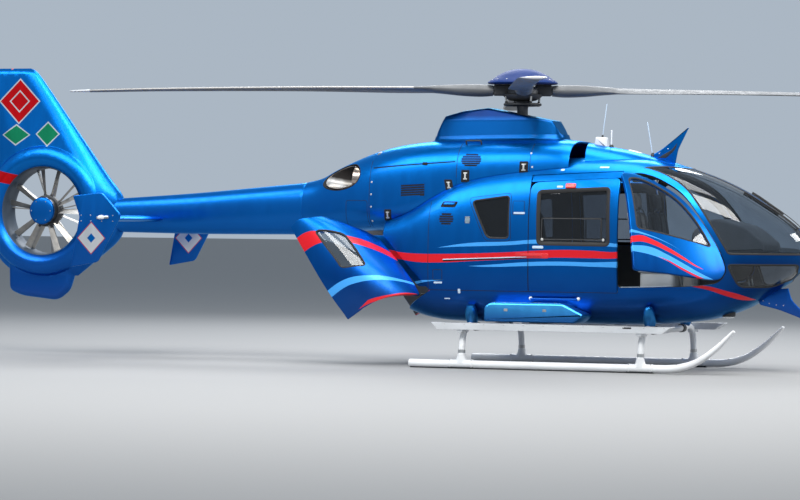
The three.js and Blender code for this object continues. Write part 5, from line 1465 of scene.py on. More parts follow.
def ventral_height(x, z):
    """Half thickness of the lower fin: 70 mm, falling to nothing at its edge along a quarter circle."""
    points = np.stack([x, z], 1)
    depth = np.where(inside(points, ventral_loop), distance_to(points, ventral_loop), 0)
    return 0.07 * np.sqrt(1 - (1 - np.clip(depth / 0.07, 0, 1)) ** 2)


def side_height(points):
    """The greatest of the three heights, with the hollow between them filled by a smooth step."""
    x, z = points[:, 0], points[:, 1]
    heights = np.sort(np.stack([fin_height(x, z), ring_height(x, z), ventral_height(x, z)]), axis=0)
    most, next_most = heights[2], heights[1]
    blend = np.minimum(0.09, 0.8 * most) + 1e-6
    near = np.clip(1 - (most - next_most) / blend, 0, 1)
    return most + near ** 2 * blend / 4 * (next_most > 0.001)


fin_front = np.stack([fin_rows[:, 1], fin_rows[:, 0]], 1)
fin_back = np.stack([fin_rows[:, 2], fin_rows[:, 0]], 1)[::-1]
fin_loop = densified(np.vstack([fin_front, fin_back]), 0.03)
round_turn = np.linspace(0, 2 * np.pi, 160, endpoint=False)
ring_loop = np.stack([FAN_X + 0.772 * np.cos(round_turn), FAN_Z + 0.772 * np.sin(round_turn)], 1)
crest_loop = np.stack([FAN_X + RING_CREST * np.cos(round_turn), FAN_Z + RING_CREST * np.sin(round_turn)], 1)


def drawn_in(loop, distance):
    """A closed line moved inwards, keeping only the points that stay that far from it."""
    loop = counter_clockwise(loop)
    ahead = np.roll(loop, -1, 0) - np.roll(loop, 1, 0)
    ahead /= np.maximum(np.linalg.norm(ahead, axis=1), 1e-9)[:, None]
    moved = loop - distance * np.stack([ahead[:, 1], -ahead[:, 0]], 1)
    return moved[distance_to(moved, loop) > 0.9 * distance]


shapes = [fin_loop, ring_loop, ventral_loop]
bands = np.vstack([drawn_in(loop, d) for loop in shapes
                   for d in (0.002, 0.006, 0.013, 0.024, 0.042, 0.068)])
bands = bands[np.hypot(bands[:, 0] - FAN_X, bands[:, 1] - FAN_Z) > RING_CREST + 0.004]
span = np.arange(-7.06, -4.95, 0.036), np.arange(0.62, 3.4, 0.036)
lattice = np.stack(np.meshgrid(*span, indexing="ij"), -1).reshape(-1, 2)
held = np.any([inside(lattice, loop) for loop in shapes], axis=0)
held &= np.hypot(lattice[:, 0] - FAN_X, lattice[:, 1] - FAN_Z) > RING_CREST + 0.02
held &= np.min([distance_to(lattice, loop) for loop in shapes], axis=0) > 0.016
points = np.vstack([crest_loop, *shapes, bands, lattice[held]])
starts = np.cumsum([0, len(crest_loop)] + [len(s) for s in shapes])
edges = [(a + k, a + (k + 1) % (b - a)) for a, b in zip(starts, starts[1:]) for k in range(b - a)]
flat, _, faces, origins, _, _ = delaunay_2d_cdt(points.tolist(), edges, [], 0, 1e-9)
flat = np.array([tuple(p) for p in flat])
faces = np.array([f for f in faces if len(f) == 3])
centres = flat[faces].mean(1)
keep = np.any([inside(centres, loop) for loop in shapes], axis=0)
keep &= np.hypot(centres[:, 0] - FAN_X, centres[:, 1] - FAN_Z) > RING_CREST
faces = faces[keep]
used = np.unique(faces)
renumber = np.zeros(len(flat), int)
renumber[used] = np.arange(len(used))
faces, flat = renumber[faces], flat[used]
height = side_height(flat)
# rim points, on one face's edge only, lie on the middle plane
pairs = np.sort(np.concatenate([faces[:, [0, 1]], faces[:, [1, 2]], faces[:, [2, 0]]]), axis=1)
codes, counts = np.unique(pairs[:, 0] * len(flat) + pairs[:, 1], return_counts=True)
rim = np.zeros(len(flat), bool)
border = codes[counts == 1]
rim[border // len(flat)] = True
rim[border % len(flat)] = True
on_crest = np.abs(np.hypot(flat[:, 0] - FAN_X, flat[:, 1] - FAN_Z) - RING_CREST) < 1e-5
height[rim & ~on_crest] = 0
right_side = np.column_stack([flat[:, 0] + MAST, -height, flat[:, 1]])
left_side = right_side * [1, -1, 1]
crest = np.nonzero(on_crest)[0]
crest = crest[np.argsort(np.arctan2(flat[crest, 1] - FAN_Z, flat[crest, 0] - FAN_X))]
crest_turn = np.arctan2(flat[crest, 1] - FAN_Z, flat[crest, 0] - FAN_X)
# duct profile from the right crest to the left: radius, y
DUCT = smooth_rows(np.array([
    [640, -205, 1], [600, -200, 1], [560, -178, 1], [530, -150, 1], [513, -120, 1], [505, -70, 1],
    [505, 20, 1], [505, 120, 1], [513, 165, 1], [535, 195, 1], [570, 205, 1], [640, 205, 1],
]), steps=6)[:, :2]
raised = height[crest] - 0.205
fade = np.clip((np.abs(DUCT[:, 0]) - 0.56) / 0.08, 0, 1)
duct = np.stack([
    FAN_X + MAST + DUCT[:, :1] * np.cos(crest_turn)[None],
    DUCT[:, 1:] + np.sign(DUCT[:, 1:]) * fade[:, None] * raised[None],
    FAN_Z + DUCT[:, :1] * np.sin(crest_turn)[None],
], -1)
count = len(flat)
inner_rows = duct[1:-1].reshape(-1, 3)
rows, around = len(duct), len(crest)
numbering = np.vstack([crest, 2 * count + np.arange((rows - 2) * around).reshape(rows - 2, around),
                       crest + count])
quads = np.stack([numbering[:-1], numbering[1:], np.roll(numbering[1:], -1, 1),
                  np.roll(numbering[:-1], -1, 1)], -1)
all_points = np.vstack([right_side, left_side, inner_rows])
shared = rim & ~on_crest
left_number = np.where(shared, np.arange(count), np.arange(count) + count)
corners = flat[faces]
one, two = corners[:, 1] - corners[:, 0], corners[:, 2] - corners[:, 0]
clockwise = one[:, 0] * two[:, 1] - one[:, 1] * two[:, 0] < 0
faces[clockwise] = faces[clockwise][:, ::-1]
fin_faces = faces.tolist() + left_number[faces[:, ::-1]].tolist() + quads.reshape(-1, 4)[:, ::-1].tolist()
# Its paint: the lacquer with a red lozenge over two green ones, and a red band across the fan's ring
GREEN = (0.012, 0.30, 0.13, 1)
fin_marks = []
for x, z, half_x, half_z, tint in ((-6.315, 3.000, 0.255, 0.255, RED), (-6.345, 2.600, 0.170, 0.110, GREEN),
                                   (-5.925, 2.610, 0.140, 0.130, GREEN)):
    fin_marks += [(x, z, half_x + 0.020, half_z + 0.020, WHITE), (x, z, half_x, half_z, tint)]
fin_marks += [(-6.315, 3.000, 0.135, 0.135, WHITE), (-6.315, 3.000, 0.115, 0.115, RED)]
fin_bands = [(-6.80, -6.30, 2.165, 2.055, 0.135, RED), (-5.46, -5.20, 1.60, 1.58, 0.050, RED)]
fin_paint = marked_paint("fin_paint", fin_marks, fin_bands)
duct_lining = finish_of("duct_lining", (0.055, 0.080, 0.115), 0.5, metal=0.3, cloud=5.0, grain=300.0,
                        bump=0.15)
piece = make("tail_fin", all_points, fin_faces, [fin_paint, duct_lining], nodes=["tail_fin"],
             smooth_below=60)
# the bore of the duct, inside its rounded lips, is lined
bore_rows = (DUCT[:-1, 0] + DUCT[1:, 0]) / 2 < 0.525
numbers = np.concatenate([np.zeros(2 * len(faces), np.int32),
                          np.repeat(bore_rows, around).astype(np.int32)])
piece.data.polygons.foreach_set("material_index", numbers)

# Tail fan: ten light-alloy blades at uneven spacing on a drum-shaped hub whose flat blue cover stands out
# to the right, turning in the duct. The cover is screwed to a dark steel collar that holds the blades'
# roots.
FAN_CENTRE = np.array([FAN_X, 0, FAN_Z])
FAN_AXIS = (0, 1, 0)
HUB_FACE = [(0.0, -0.1715), (0.050, -0.1708), (0.100, -0.1675), (0.130, -0.1625), (0.142, -0.158),
            (0.1435, -0.155),
            (0.1435, -0.145), (0.0, -0.145)]
HUB_RIM = [(0.0, -0.150), (0.1425, -0.150), (0.1430, -0.1575), (0.149, -0.1560), (0.156, -0.1500),
           (0.160, -0.1420),
           (0.1615, -0.132), (0.1615, -0.128), (0.0, -0.128)]
HUB_SIDE = [(0.0, -0.129), (0.1595, -0.129), (0.1600, -0.120), (0.1605, -0.060), (0.1605, -0.034),
            (0.0, -0.034)]
COLLAR = [(0.0, -0.035), (0.164, -0.035), (0.175, -0.030), (0.187, -0.024), (0.188, -0.010), (0.188, 0.020),
          (0.184, 0.027), (0.0, 0.027)]
fan_metal = finish_of("fan_metal", (0.36, 0.345, 0.32), 0.34, metal=0.85, cloud=9.0, grain=500.0, bump=0.12,
                      tone=0.2)


def spun(points, centre, axis, angle):
    """Points turned about an axis through a centre."""
    return turned(points, (centre, np.asarray(centre) + axis), np.degrees(angle))


def fan_blade(root, tip, chord, thick, pitch, place):
    """A blade along +X from the fan's axis: its wing section, wider at the tip, turned to its pitch."""
    rows = []
    for share in np.linspace(0, 1, 9):
        section_at = wing_section(chord[0] + (chord[1] - chord[0]) * share,
                                  thick[0] + (thick[1] - thick[0]) * share,
                                  count=24, camber=0.003)
        section_at = section_at + [(chord[0] + (chord[1] - chord[0]) * share) * 0.42, 0]
        angle = pitch[0] + (pitch[1] - pitch[0]) * share
        c, s = np.cos(angle), np.sin(angle)
        reach = np.full(len(section_at), root + (tip - root) * share)
        rows.append(np.column_stack([reach, section_at[:, 0] * s + section_at[:, 1] * c + place,
                                     section_at[:, 0] * c - section_at[:, 1] * s]))
    return np.stack(rows)


fan_forms = [lathed(0, HUB_FACE, FAN_CENTRE, FAN_AXIS, 64),
             lathed(0, HUB_RIM, FAN_CENTRE, FAN_AXIS, 64),
             lathed(2, HUB_SIDE, FAN_CENTRE, FAN_AXIS, 64),
             lathed(2, COLLAR, FAN_CENTRE, FAN_AXIS, 64)]
one_blade = fan_blade(0.170, 0.492, (0.066, 0.082), (0.013, 0.009), (0.80, 0.50), -0.006)
blade_root = capsule((0.150, -0.006, 0), (0.215, -0.006, 0), 0.017)
for k in range(10):
    angle = 2 * np.pi * (k + 0.3 * (k % 2)) / 10
    points, faces = form_through(one_blade)
    fan_forms += [
        (spun(points, (0, 0, 0), FAN_AXIS, angle) + FAN_CENTRE, faces, 1),
        (spun(blade_root[0], (0, 0, 0), FAN_AXIS, angle) + FAN_CENTRE, blade_root[1], 2),
    ]
for k in range(6):
    spot = np.array([0.125 * np.cos(k * np.pi / 3), -0.1635, 0.125 * np.sin(k * np.pi / 3)])
    head = lathe([(0.0, -0.006), (0.006, -0.0055), (0.0075, -0.003), (0.0075, 0.01), (0.0, 0.01)],
                 spot + FAN_CENTRE,
                 (0, 1, 0), 12)
    fan_forms.append((*form_through(head), 3))
gathered("tail_fan", fan_forms, [blue_paint, fan_metal, dark_steel, bare_metal], body="tail_fan",
         slot="grey_metal",
         nodes=["tail_fan"])

# Fan vanes: eleven fixed vanes behind the fan that hold its gearbox in the middle of the duct. Light alloy,
# bolted to the duct's wall and to the gearbox's round casing.
GEARBOX = [(0.0, 0.040), (0.150, 0.040), (0.163, 0.046), (0.166, 0.060), (0.160, 0.110), (0.146, 0.155),
           (0.118, 0.184),
           (0.100, 0.189), (0.0, 0.190)]
stator_forms = [lathed(0, GEARBOX, FAN_CENTRE, FAN_AXIS, 64)]
one_vane = fan_blade(0.110, 0.508, (0.088, 0.088), (0.014, 0.014), (1.48, 1.48), 0.110)
for k in range(11):
    points, faces = form_through(one_vane)
    angle = 2 * np.pi * k / 11 + 0.35
    stator_forms.append((spun(points, (0, 0, 0), FAN_AXIS, angle) + FAN_CENTRE, faces, 1))
for k in range(8):
    spot = np.array([0.14 * np.cos(k * np.pi / 4), 0.165, 0.14 * np.sin(k * np.pi / 4)])
    head = lathe([(0.0, -0.03), (0.008, -0.03), (0.008, 0.004), (0.006, 0.006), (0.0, 0.006)],
                 spot + FAN_CENTRE, (0, 1, 0), 12)
    stator_forms.append((*form_through(head), 2))
gathered("fan_vanes", stator_forms, [dark_steel, fan_metal, bare_metal], slot="grey_metal",
         nodes=["fan_stator"])

# Beacon on the fin's top: a red lamp in a round metal foot. The lens is moulded plastic, screwed down over
# its foot.
BEACON = np.array([-6.455, 0.0, 3.3895])
beacon_foot = lathe([(0.0, -0.03), (0.032, -0.03), (0.032, -0.012), (0.026, -0.006), (0.0, -0.006)], BEACON,
                    (0, 0, 1), 24)
beacon_lens = lathe([(0.0, -0.007), (0.023, -0.007), (0.024, -0.003), (0.022, 0.001), (0.012, 0.0035),
                     (0.0, 0.004)], BEACON,
                    (0, 0, 1), 24)
gathered("fin_beacon", [(*form_through(beacon_foot), 0), (*form_through(beacon_lens), 1)],
         [bare_metal, red_lens],
         slot="grey_metal")

# Main rotor hub: a forged star on the mast with four arms, over a swashplate that is linked to each blade.
# Forged light alloy and steel, with a rubber damper bolted round each arm.
HUB_HEIGHT = 3.110
ROTOR_TURN = np.radians(21.5)
BLADES = 4
UP = (0, 0, 1)
hub_forms = [
    lathed(0, [(0, 2.54), (0.061, 2.54), (0.061, 2.90), (0.075, 2.97), (0.080, 3.02), (0, 3.02)], (0, 0, 0),
           UP),
    lathed(0, [(0, 3.015), (0.150, 3.015), (0.184, 3.024), (0.190, 3.040), (0.188, 3.110), (0.176, 3.140),
               (0.160, 3.150), (0, 3.150)], (0, 0, 0), UP, 64),
    lathed(3, [(0, 2.985), (0.105, 2.985), (0.150, 2.995), (0.196, 3.020), (0.222, 3.046), (0.226, 3.060),
               (0.215, 3.068), (0, 3.068)], (0, 0, 0), UP, 64),
    lathed(1, [(0, 3.149), (0.106, 3.149), (0.110, 3.155), (0.110, 3.171), (0.104, 3.175), (0, 3.175)],
           (0, 0, 0), UP),
]
ARM = rounded([[0, -75, 10], [250, -75, 40], [330, -58, 12], [330, 58, 12], [250, 75, 40], [0, 75, 10]])
arm_form = form_through(slab_rings(ARM, HUB_HEIGHT - 0.035, HUB_HEIGHT + 0.035, edge=0.012))
bolt_form = form_through(lathe([(0, -0.048), (0.013, -0.048), (0.015, -0.044), (0.015, 0.044),
                                (0.013, 0.048), (0, 0.048)],
                               (0, 0, HUB_HEIGHT), UP, 16))
damper_form = form_through(slab_rings(rounded([[135, -84, 20], [331, -84, 16], [331, 84, 16],
                                               [135, 84, 20]]),
                                     HUB_HEIGHT - 0.064, HUB_HEIGHT + 0.060, edge=0.022))
nut_form = form_through(lathe([(0, -0.042), (0.022, -0.042), (0.022, 0.042), (0, 0.042)],
                              (0, 0, HUB_HEIGHT), UP, 6))
for k in range(BLADES):
    angle = ROTOR_TURN + k * np.pi / 2
    hub_forms += [
        (spun(arm_form[0], (0, 0, 0), UP, angle), arm_form[1], 0),
        (spun(damper_form[0], (0, 0, 0), UP, angle), damper_form[1], 3),
    ]
    for reach, shift in ((0.225, 0.040), (0.225, -0.040), (0.296, 0.0)):
        for form, number in ((bolt_form, 1), (nut_form, 2)):
            hub_forms.append((spun(form[0] + [reach, shift, 0], (0, 0, 0), UP, angle), form[1], number))
damper_rubber = finish_of("damper_rubber", (0.035, 0.036, 0.038), 0.6, cloud=9.0, grain=500.0, bump=0.3,
                          tone=0.25)
hub_metal = finish_of("hub_metal", (0.10, 0.105, 0.115), 0.45, metal=0.6, cloud=8.0, grain=600.0, bump=0.15,
                      tone=0.2)
gathered("rotor_hub", hub_forms, [hub_metal, bare_metal, dark_steel, damper_rubber], body="main_rotor",
         slot="dark_steel",
         nodes=["rotor_hub"])

swash_forms = [lathed(0, [(0.0635, 2.930), (0.120, 2.926), (0.195, 2.930), (0.212, 2.938), (0.215, 2.948),
                          (0.212, 2.960), (0.195, 2.966), (0.0635, 2.966)], (0, 0, 0), UP, 64, looped=True)]
for k in range(BLADES):
    angle = ROTOR_TURN + k * np.pi / 2 + 0.42
    rod_form = capsule((0.200, 0, 2.935), (0.213, 0, 3.040), 0.012)
    sleeve = capsule((0.2015, 0, 2.950), (0.206, 0, 2.990), 0.0165)
    horn = capsule((0.165, 0, 2.948), (0.222, 0, 2.948), 0.020)
    for form, number in ((rod_form, 1), (sleeve, 0), (horn, 0)):
        swash_forms.append((spun(form[0], (0, 0, 0), UP, angle), form[1], number))
gathered("swashplate", swash_forms, [dark_steel, bare_metal], body="main_rotor", slot="dark_steel",
         nodes=["control_plate"])

# Hub cap: a spun dome in body blue over the blade roots, held by screws near its rim. Spun from light-alloy
# sheet and painted; its blue is made dark navy as painted shade.
CAP = [(0.0, 3.1765), (0.200, 3.1765), (0.372, 3.1768), (0.388, 3.180), (0.3945, 3.186), (0.3955, 3.192),
       (0.386, 3.2035), (0.362, 3.221), (0.330, 3.2395), (0.290, 3.269), (0.250, 3.2925), (0.200, 3.3155),
       (0.150, 3.3330), (0.100, 3.3435),
       (0.060, 3.3480), (0.030, 3.3500), (0.0, 3.3507)]
cap_forms = [lathed(0, CAP, (0, 0, 0), UP, 96)]
for k in range(16):
    angle = 2 * np.pi * (k + 0.5) / 16
    spot = np.array([0.352 * np.cos(angle), 0.352 * np.sin(angle), 3.2265])
    lean = np.array([np.cos(angle) * 0.5, np.sin(angle) * 0.5, 0.87])
    screw = lathe([(0.0, -0.004), (0.007, -0.004), (0.007, 0.001), (0.005, 0.0025), (0.0, 0.0025)], spot,
                  lean, 10)
    cap_forms.append((*form_through(screw), 1))
# painted shade: a far darker blue than the body's lacquer
cap_paint = finish_of("cap_paint", (0.002, 0.020, 0.115), 0.5, cloud=2.0, grain=700.0, bump=0.05)
cap_paint.node_tree.nodes["Principled BSDF"].inputs["Specular IOR Level"].default_value = 0.22
gathered("hub_cap", cap_forms, [cap_paint, bare_metal], body="main_rotor", nodes=["hub_cap"])

# Rotor blades: glass-fibre blades with a thick oval cuff at the root and a metal strip along the front
# edge.
BLADE = np.array([
    # from the mast, chord, thickness, twist in degrees, rise, front edge ahead of the axis
    [0.332, 0.190, 0.120, 0, -0.008, 0.095], [0.480, 0.205, 0.140, 2, -0.008, 0.100],
    [0.700, 0.190, 0.128, 6, -0.004, 0.092], [0.960, 0.200, 0.084, 9, 0.000, 0.088],
    [1.250, 0.288, 0.046, 11, 0.002, 0.085], [2.500, 0.288, 0.038, 7, -0.004, 0.082],
    [4.000, 0.288, 0.034, 3, -0.030, 0.082], [4.800, 0.288, 0.030, 1, -0.054, 0.080],
    [5.100, 0.170, 0.016, 0, -0.064, 0.020],
])
blade_curve = smooth_rows(np.column_stack([BLADE[:, :1] * 1000, BLADE[:, 1:3] * 1000, BLADE[:, 3:4] * 1000,
                                           BLADE[:, 4:] * 1000, np.ones(len(BLADE))]), steps=8)[:, :6]
made, tree, shader = new_material("blade_paint")
wear = worn(tree, 2.5, 700.0)
ends = add_node(tree, "UVMap", uv_map="along_and_across").outputs[0]
ends = add_node(tree, "SeparateXYZ", {0: ends})
grey = mix_colour(tree, spread(tree, wear.outputs["Cloud"], 0.3, 0.7, 0.0, 1.0), (0.085, 0.091, 0.098, 1),
                  (0.12, 0.127, 0.135, 1))
front = spread(tree, ends.outputs["Y"], 0.055, 0.062, 1.0, 0.0)
past_cuff = spread(tree, ends.outputs["X"], 0.24, 0.242, 0.0, 1.0)
strip = calc(tree, "MULTIPLY", front, past_cuff)
grey = mix_colour(tree, strip, grey, (0.42, 0.41, 0.40, 1))
tip = spread(tree, ends.outputs["X"], 0.955, 0.957, 0.0, 1.0)
grey = mix_colour(tree, tip, grey, (0.62, 0.63, 0.64, 1))
tree.links.new(grey, shader.inputs["Base Color"])
tree.links.new(spread(tree, wear.outputs["Streak"], 0.35, 0.8, 0.48, 0.68), shader.inputs["Roughness"])
tree.links.new(spread(tree, strip, 0.0, 1.0, 0.1, 0.9), shader.inputs["Metallic"])
height = add_node(tree, "Bump", {"Height": wear.outputs["Grain"], "Strength": 0.1, "Distance": 0.0005})
tree.links.new(height.outputs[0], shader.inputs["Normal"])
blade_paint = made


def blade_rings(rows, around=40):
    """A blade's sections from its table: an oval at the cuff that turns into a wing section beyond it, set
    at the twist about the blade's axis."""
    turn = np.linspace(0, 2 * np.pi, around, endpoint=False)
    reach, chord, thick, twist, rise, lead = (rows[:, k:k + 1] for k in range(6))
    run = (1 - np.cos(turn)) / 2
    wing_half = 1.32 * np.sqrt(run) * (1 - run) + 0.15 * run * (1 - run) + 0.03 * np.sqrt(run)
    oval_half = np.sqrt(run * (1 - run))
    blend = np.clip((reach - 0.70) / 0.55, 0, 1)
    blend = blend * blend * (3 - 2 * blend)
    half = thick * (oval_half * (1 - blend) + wing_half * blend)
    up_by = np.sign(np.sin(turn)) * half
    back = lead - chord * run
    angle = np.radians(twist)
    along = np.broadcast_to(reach, back.shape)
    return np.stack([along, back * np.cos(angle) - up_by * np.sin(angle),
                     HUB_HEIGHT + rise + back * np.sin(angle) + up_by * np.cos(angle)], -1)


tight = blade_curve[-1:] * [1, 0.97, 0.5, 1, 1, 1]
blade_rows = np.vstack([blade_curve[:1] * [1, 0.92, 0.92, 1, 1, 1], blade_curve + [0.002, 0, 0, 0, 0, 0],
                        tight])
blade_rows[1:-1, 0] = np.clip(blade_rows[1:-1, 0], 0.334, 5.0985)
blade_rows[-1, 0] = 5.1
rings = blade_rings(blade_rows)
blade_form = form_through(rings)
along_share = np.repeat(blade_rows[:, 0] / 5.1, rings.shape[1])
across_share = np.tile((1 - np.cos(np.linspace(0, 2 * np.pi, 40, endpoint=False))) / 2, len(rings))
for k in range(BLADES):
    forms = [(spun(blade_form[0], (0, 0, 0), UP, ROTOR_TURN + k * np.pi / 2), blade_form[1])]
    piece = gathered(f"rotor_blade_{k + 1}", forms, [blade_paint], body="main_rotor", slot="blade_paint",
                     nodes=[f"rotor_blade_{k + 1}"])
    uv = piece.data.uv_layers.new(name="along_and_across")
    corners = np.empty(len(piece.data.loops), np.int32)
    piece.data.loops.foreach_get("vertex_index", corners)
    uv.data.foreach_set("uv", np.column_stack([along_share[corners],
                                               across_share[corners]]).astype(np.float32).ravel())

# Landing gear: two white skid tubes with flat turned-up toes, each clamped to two bent cross tubes. Light-
# alloy tubes, painted, with steel wear plates under them.
SKID_Y, SKID_BACK, SKID_RADIUS = 1.000, -0.950, 0.044
CROSS_X = (1.740, -0.330)


def run_rings(centres, ways, reach_across, reach_up, sideways, around=32, power=2.0):
    """Rings round a path: at each centre an oval, rounder or squarer by its power, square to the way there,
    with its first half size along sideways and its second square to both."""
    turn = np.linspace(0, 2 * np.pi, around, endpoint=False)
    c, s = np.cos(turn), np.sin(turn)
    power = np.broadcast_to(power, len(centres))[:, None]
    size = (np.abs(c) ** power + np.abs(s) ** power) ** (-1 / power)
    upward = np.cross(ways, sideways)
    upward /= np.linalg.norm(upward, axis=1)[:, None]
    offset = (size * c)[..., None] * (np.reshape(reach_across, (-1, 1, 1)) * np.asarray(sideways)[None,
                                                                                                  None])
    offset = offset + (size * s)[..., None] * (np.reshape(reach_up, (-1, 1, 1)) * upward[:, None])
    return np.asarray(centres)[:, None] + offset


toe = smooth_rows([
    [1750, 50, 44, 44, 2.0], [1950, 51, 44, 44, 2.0], [2110, 57, 43, 50, 2.2], [2260, 88, 40, 56, 2.6],
    [2420, 158, 34, 58, 3.0], [2600, 292, 28, 54, 3.0], [2786, 474, 16, 42, 2.8],
], steps=10)
skid_x = np.concatenate([[SKID_BACK + 0.002, SKID_BACK + 0.006, SKID_BACK + 0.014],
                         np.linspace(-0.90, 1.70, 30), toe[:, 0]])
skid_z = np.concatenate([np.full(33, 0.050), toe[:, 1]])
skid_up = np.concatenate([[0.030, 0.040], np.full(31, SKID_RADIUS), toe[:, 2]])
skid_across = np.concatenate([[0.030, 0.040], np.full(31, SKID_RADIUS), toe[:, 3]])
skid_power = np.concatenate([np.full(33, 2.0), toe[:, 4]])
tip = np.array([2.790, 0.478, 0.006, 0.030, 2.6])
skid_x, skid_z, skid_up, skid_across, skid_power = (
    np.append(values, extra) for values, extra in zip((skid_x, skid_z, skid_up, skid_across, skid_power),
                                                      tip))
skid_z = np.maximum(skid_z, skid_up + 0.0005)
skid_ways = ways_along(np.column_stack([skid_x, 0 * skid_x, skid_z]))
COLLAR_ROWS = [(0.0442, -0.142), (0.0500, -0.140), (0.0510, -0.136), (0.0510, -0.118), (0.0475, -0.114),
               (0.0475, 0.114),
               (0.0510, 0.118), (0.0510, 0.136), (0.0500, 0.140), (0.0442, 0.142)]


def flared(x, y):
    """A socket that stands on the skid: an oval foot that narrows, by a falling curve, to the tube it
    holds."""
    rise = np.linspace(0, 1, 14)
    wide = 0.046 + 0.048 * (1 - rise) ** 2.4
    deep = 0.0455 + 0.004 * (1 - rise) ** 2
    turn = np.linspace(0, 2 * np.pi, 40, endpoint=False)
    return np.stack([
        np.column_stack([x + w * np.cos(turn), y + d * np.sin(turn), np.full(40, 0.062 + 0.098 * r)])
        for w, d, r in zip(wide, deep, rise)
    ])


for hand, side in sides:
    centres = np.column_stack([skid_x, np.full(len(skid_x), side * SKID_Y), skid_z])
    forms = [(*form_through(run_rings(centres, skid_ways, skid_across, skid_up, (0, 1, 0),
                                      power=skid_power)), 0)]
    for x in CROSS_X:
        collar = lathe(COLLAR_ROWS, (x, side * SKID_Y, 0.051), (1, 0, 0), 40)
        forms += [
            (*form_through(collar, looped=True), 0),
            (*form_through(flared(x, side * SKID_Y)), 0),
        ]
        shoe = oblong(-150, 150, -38, 38, 12) + [x, side * SKID_Y]
        forms.append(plate(1, shoe, 0.0005, 0.022, edge=0.008))
        for dx in (-0.127, 0.127):
            for dy in (-1, 1):
                head = lathe([(0, -0.004), (0.008, -0.004), (0.008, 0.003), (0.0055, 0.006), (0, 0.006)],
                             (x + dx, side * SKID_Y + dy * 0.030, 0.051 + 0.0425), (0, dy * 0.58, 0.81), 6)
                forms.append((*form_through(head), 2))
    wear_plate = oblong(-0.93e3, 1.88e3, -24, 24, 8, step=0.05)
    forms.append(plate(1, wear_plate + [0, side * SKID_Y], 0.0012, 0.0135, edge=0.004))
    for x, z in ((2.16, 0.105), (2.30, 0.142), (2.45, 0.215), (2.58, 0.315), (2.66, 0.385)):
        for dy in (-0.030, 0.030):
            level = np.interp(x, skid_x, skid_z) + np.interp(x, skid_x, skid_up) * 0.93
            rise = np.interp(x, skid_x, np.gradient(skid_z, skid_x))
            head = lathe([(0, -0.006), (0.0075, -0.006), (0.0075, 0.001), (0.004, 0.003), (0, 0.003)],
                         (x - 0.93 * rise * np.interp(x, skid_x, skid_up) * 0.5, side * SKID_Y + dy, level),
                         (-rise, 0, 1), 10)
            forms.append((*form_through(head), 2))
    gathered(f"skid_{hand}", forms, [white_paint, dark_steel, bare_metal], slot="white_paint",
             nodes=[f"skid_{hand}"])

# Cross tubes: bent light-alloy tubes from skid to skid under the belly, with a blue fairing where each goes
# in.
cross_half = smooth_rows([[1000, 78, 1], [985, 250, 1], [950, 362, 1], [880, 440, 1], [760, 470, 1],
                          [560, 455, 1],
                          [0, 448, 1]], steps=9)[:, :2]
cross_path = np.vstack([cross_half[:-1], cross_half[::-1] * [-1, 1]])
for place, x in zip(("front", "rear"), CROSS_X):
    centres = np.column_stack([np.full(len(cross_path), x), cross_path])
    ways = ways_along(centres)
    radius = np.full(len(centres), 0.0358)
    forms = [(*form_through(run_rings(centres, ways, radius, radius, (1, 0, 0))), 0)]
    for side in (-1, 1):
        band = lathe([(0.036, -0.018), (0.0405, -0.017), (0.0405, 0.017), (0.036, 0.018)],
                     (x, side * 0.9905, 0.190),
                     (0, -side * 0.086, 1.0), 32)
        forms.append((*form_through(band, looped=True), 1))
        clamp = lathe([(0.036, -0.045), (0.047, -0.043), (0.047, 0.043), (0.036, 0.045)],
                      (x, side * 0.52, 0.4545), (0, 1, 0), 32)
        forms.append((*form_through(clamp, looped=True), 2))
    gathered(f"crosstube_{place}", forms, [white_paint, bare_metal, dark_steel], slot="white_paint",
             nodes=[f"crosstube_{place}"])
# painted shade: the fairings are lighter on top and darker low down
saddle_paint = lacquer("saddle_paint", upper=(0.01, 0.20, 0.50, 1), lower=(0.005, 0.10, 0.32, 1), low=0.50,
                       high=0.70)
for hand, side in sides:
    for number, x in enumerate(CROSS_X):
        # down the pod's flank and under it, ending where the tube goes in
        path = [[728, 716, 20, 1], [724, 698, 44, 1], [712, 650, 62, 1], [696, 595, 68, 1],
                [668, 530, 64, 1],
                [650, 492, 52, 1], [646, 480, 24, 1]]
        path = smooth_rows(path if number == 0 else path[1:], steps=6)[:, :3]
        centres = np.column_stack([np.full(len(path), x), side * path[:, 0], path[:, 1]])
        ways = ways_along(centres)
        form = form_through(run_rings(centres, ways, path[:, 2], path[:, 2], (1, 0, 0)))
        gathered(f"saddle_fairing_{hand}_{number}", [form], [saddle_paint])

# Underside plates: a hook plate for slung loads under the middle, and the stretcher's deck plate inside.
# Steel and light-alloy plates, bolted down.
hook = oblong(-110, 110, -110, 110, 15) + [0.25, 0]
hook_forms = [plate(0, hook, 0.4882, 0.560, edge=0.006)]
for dx in (-0.085, 0.085):
    for dy in (-0.085, 0.085):
        hook_forms.append(lathed(1, [(0, 0.0), (0.010, 0.0), (0.010, 0.004), (0, 0.004)],
                                 (0.25 + dx, dy, 0.4883), UP, 6))
gathered("hook_plate", hook_forms, [dark_steel, bare_metal], slot="dark_steel")
deck_plate = oblong(-420, 420, -150, 150, 20) + [0.55, -0.33]
gathered("litter_deck", [form_through(slab_rings(deck_plate, 0.8605, 0.885, edge=0.004))], [bare_metal],
         slot="grey_metal")

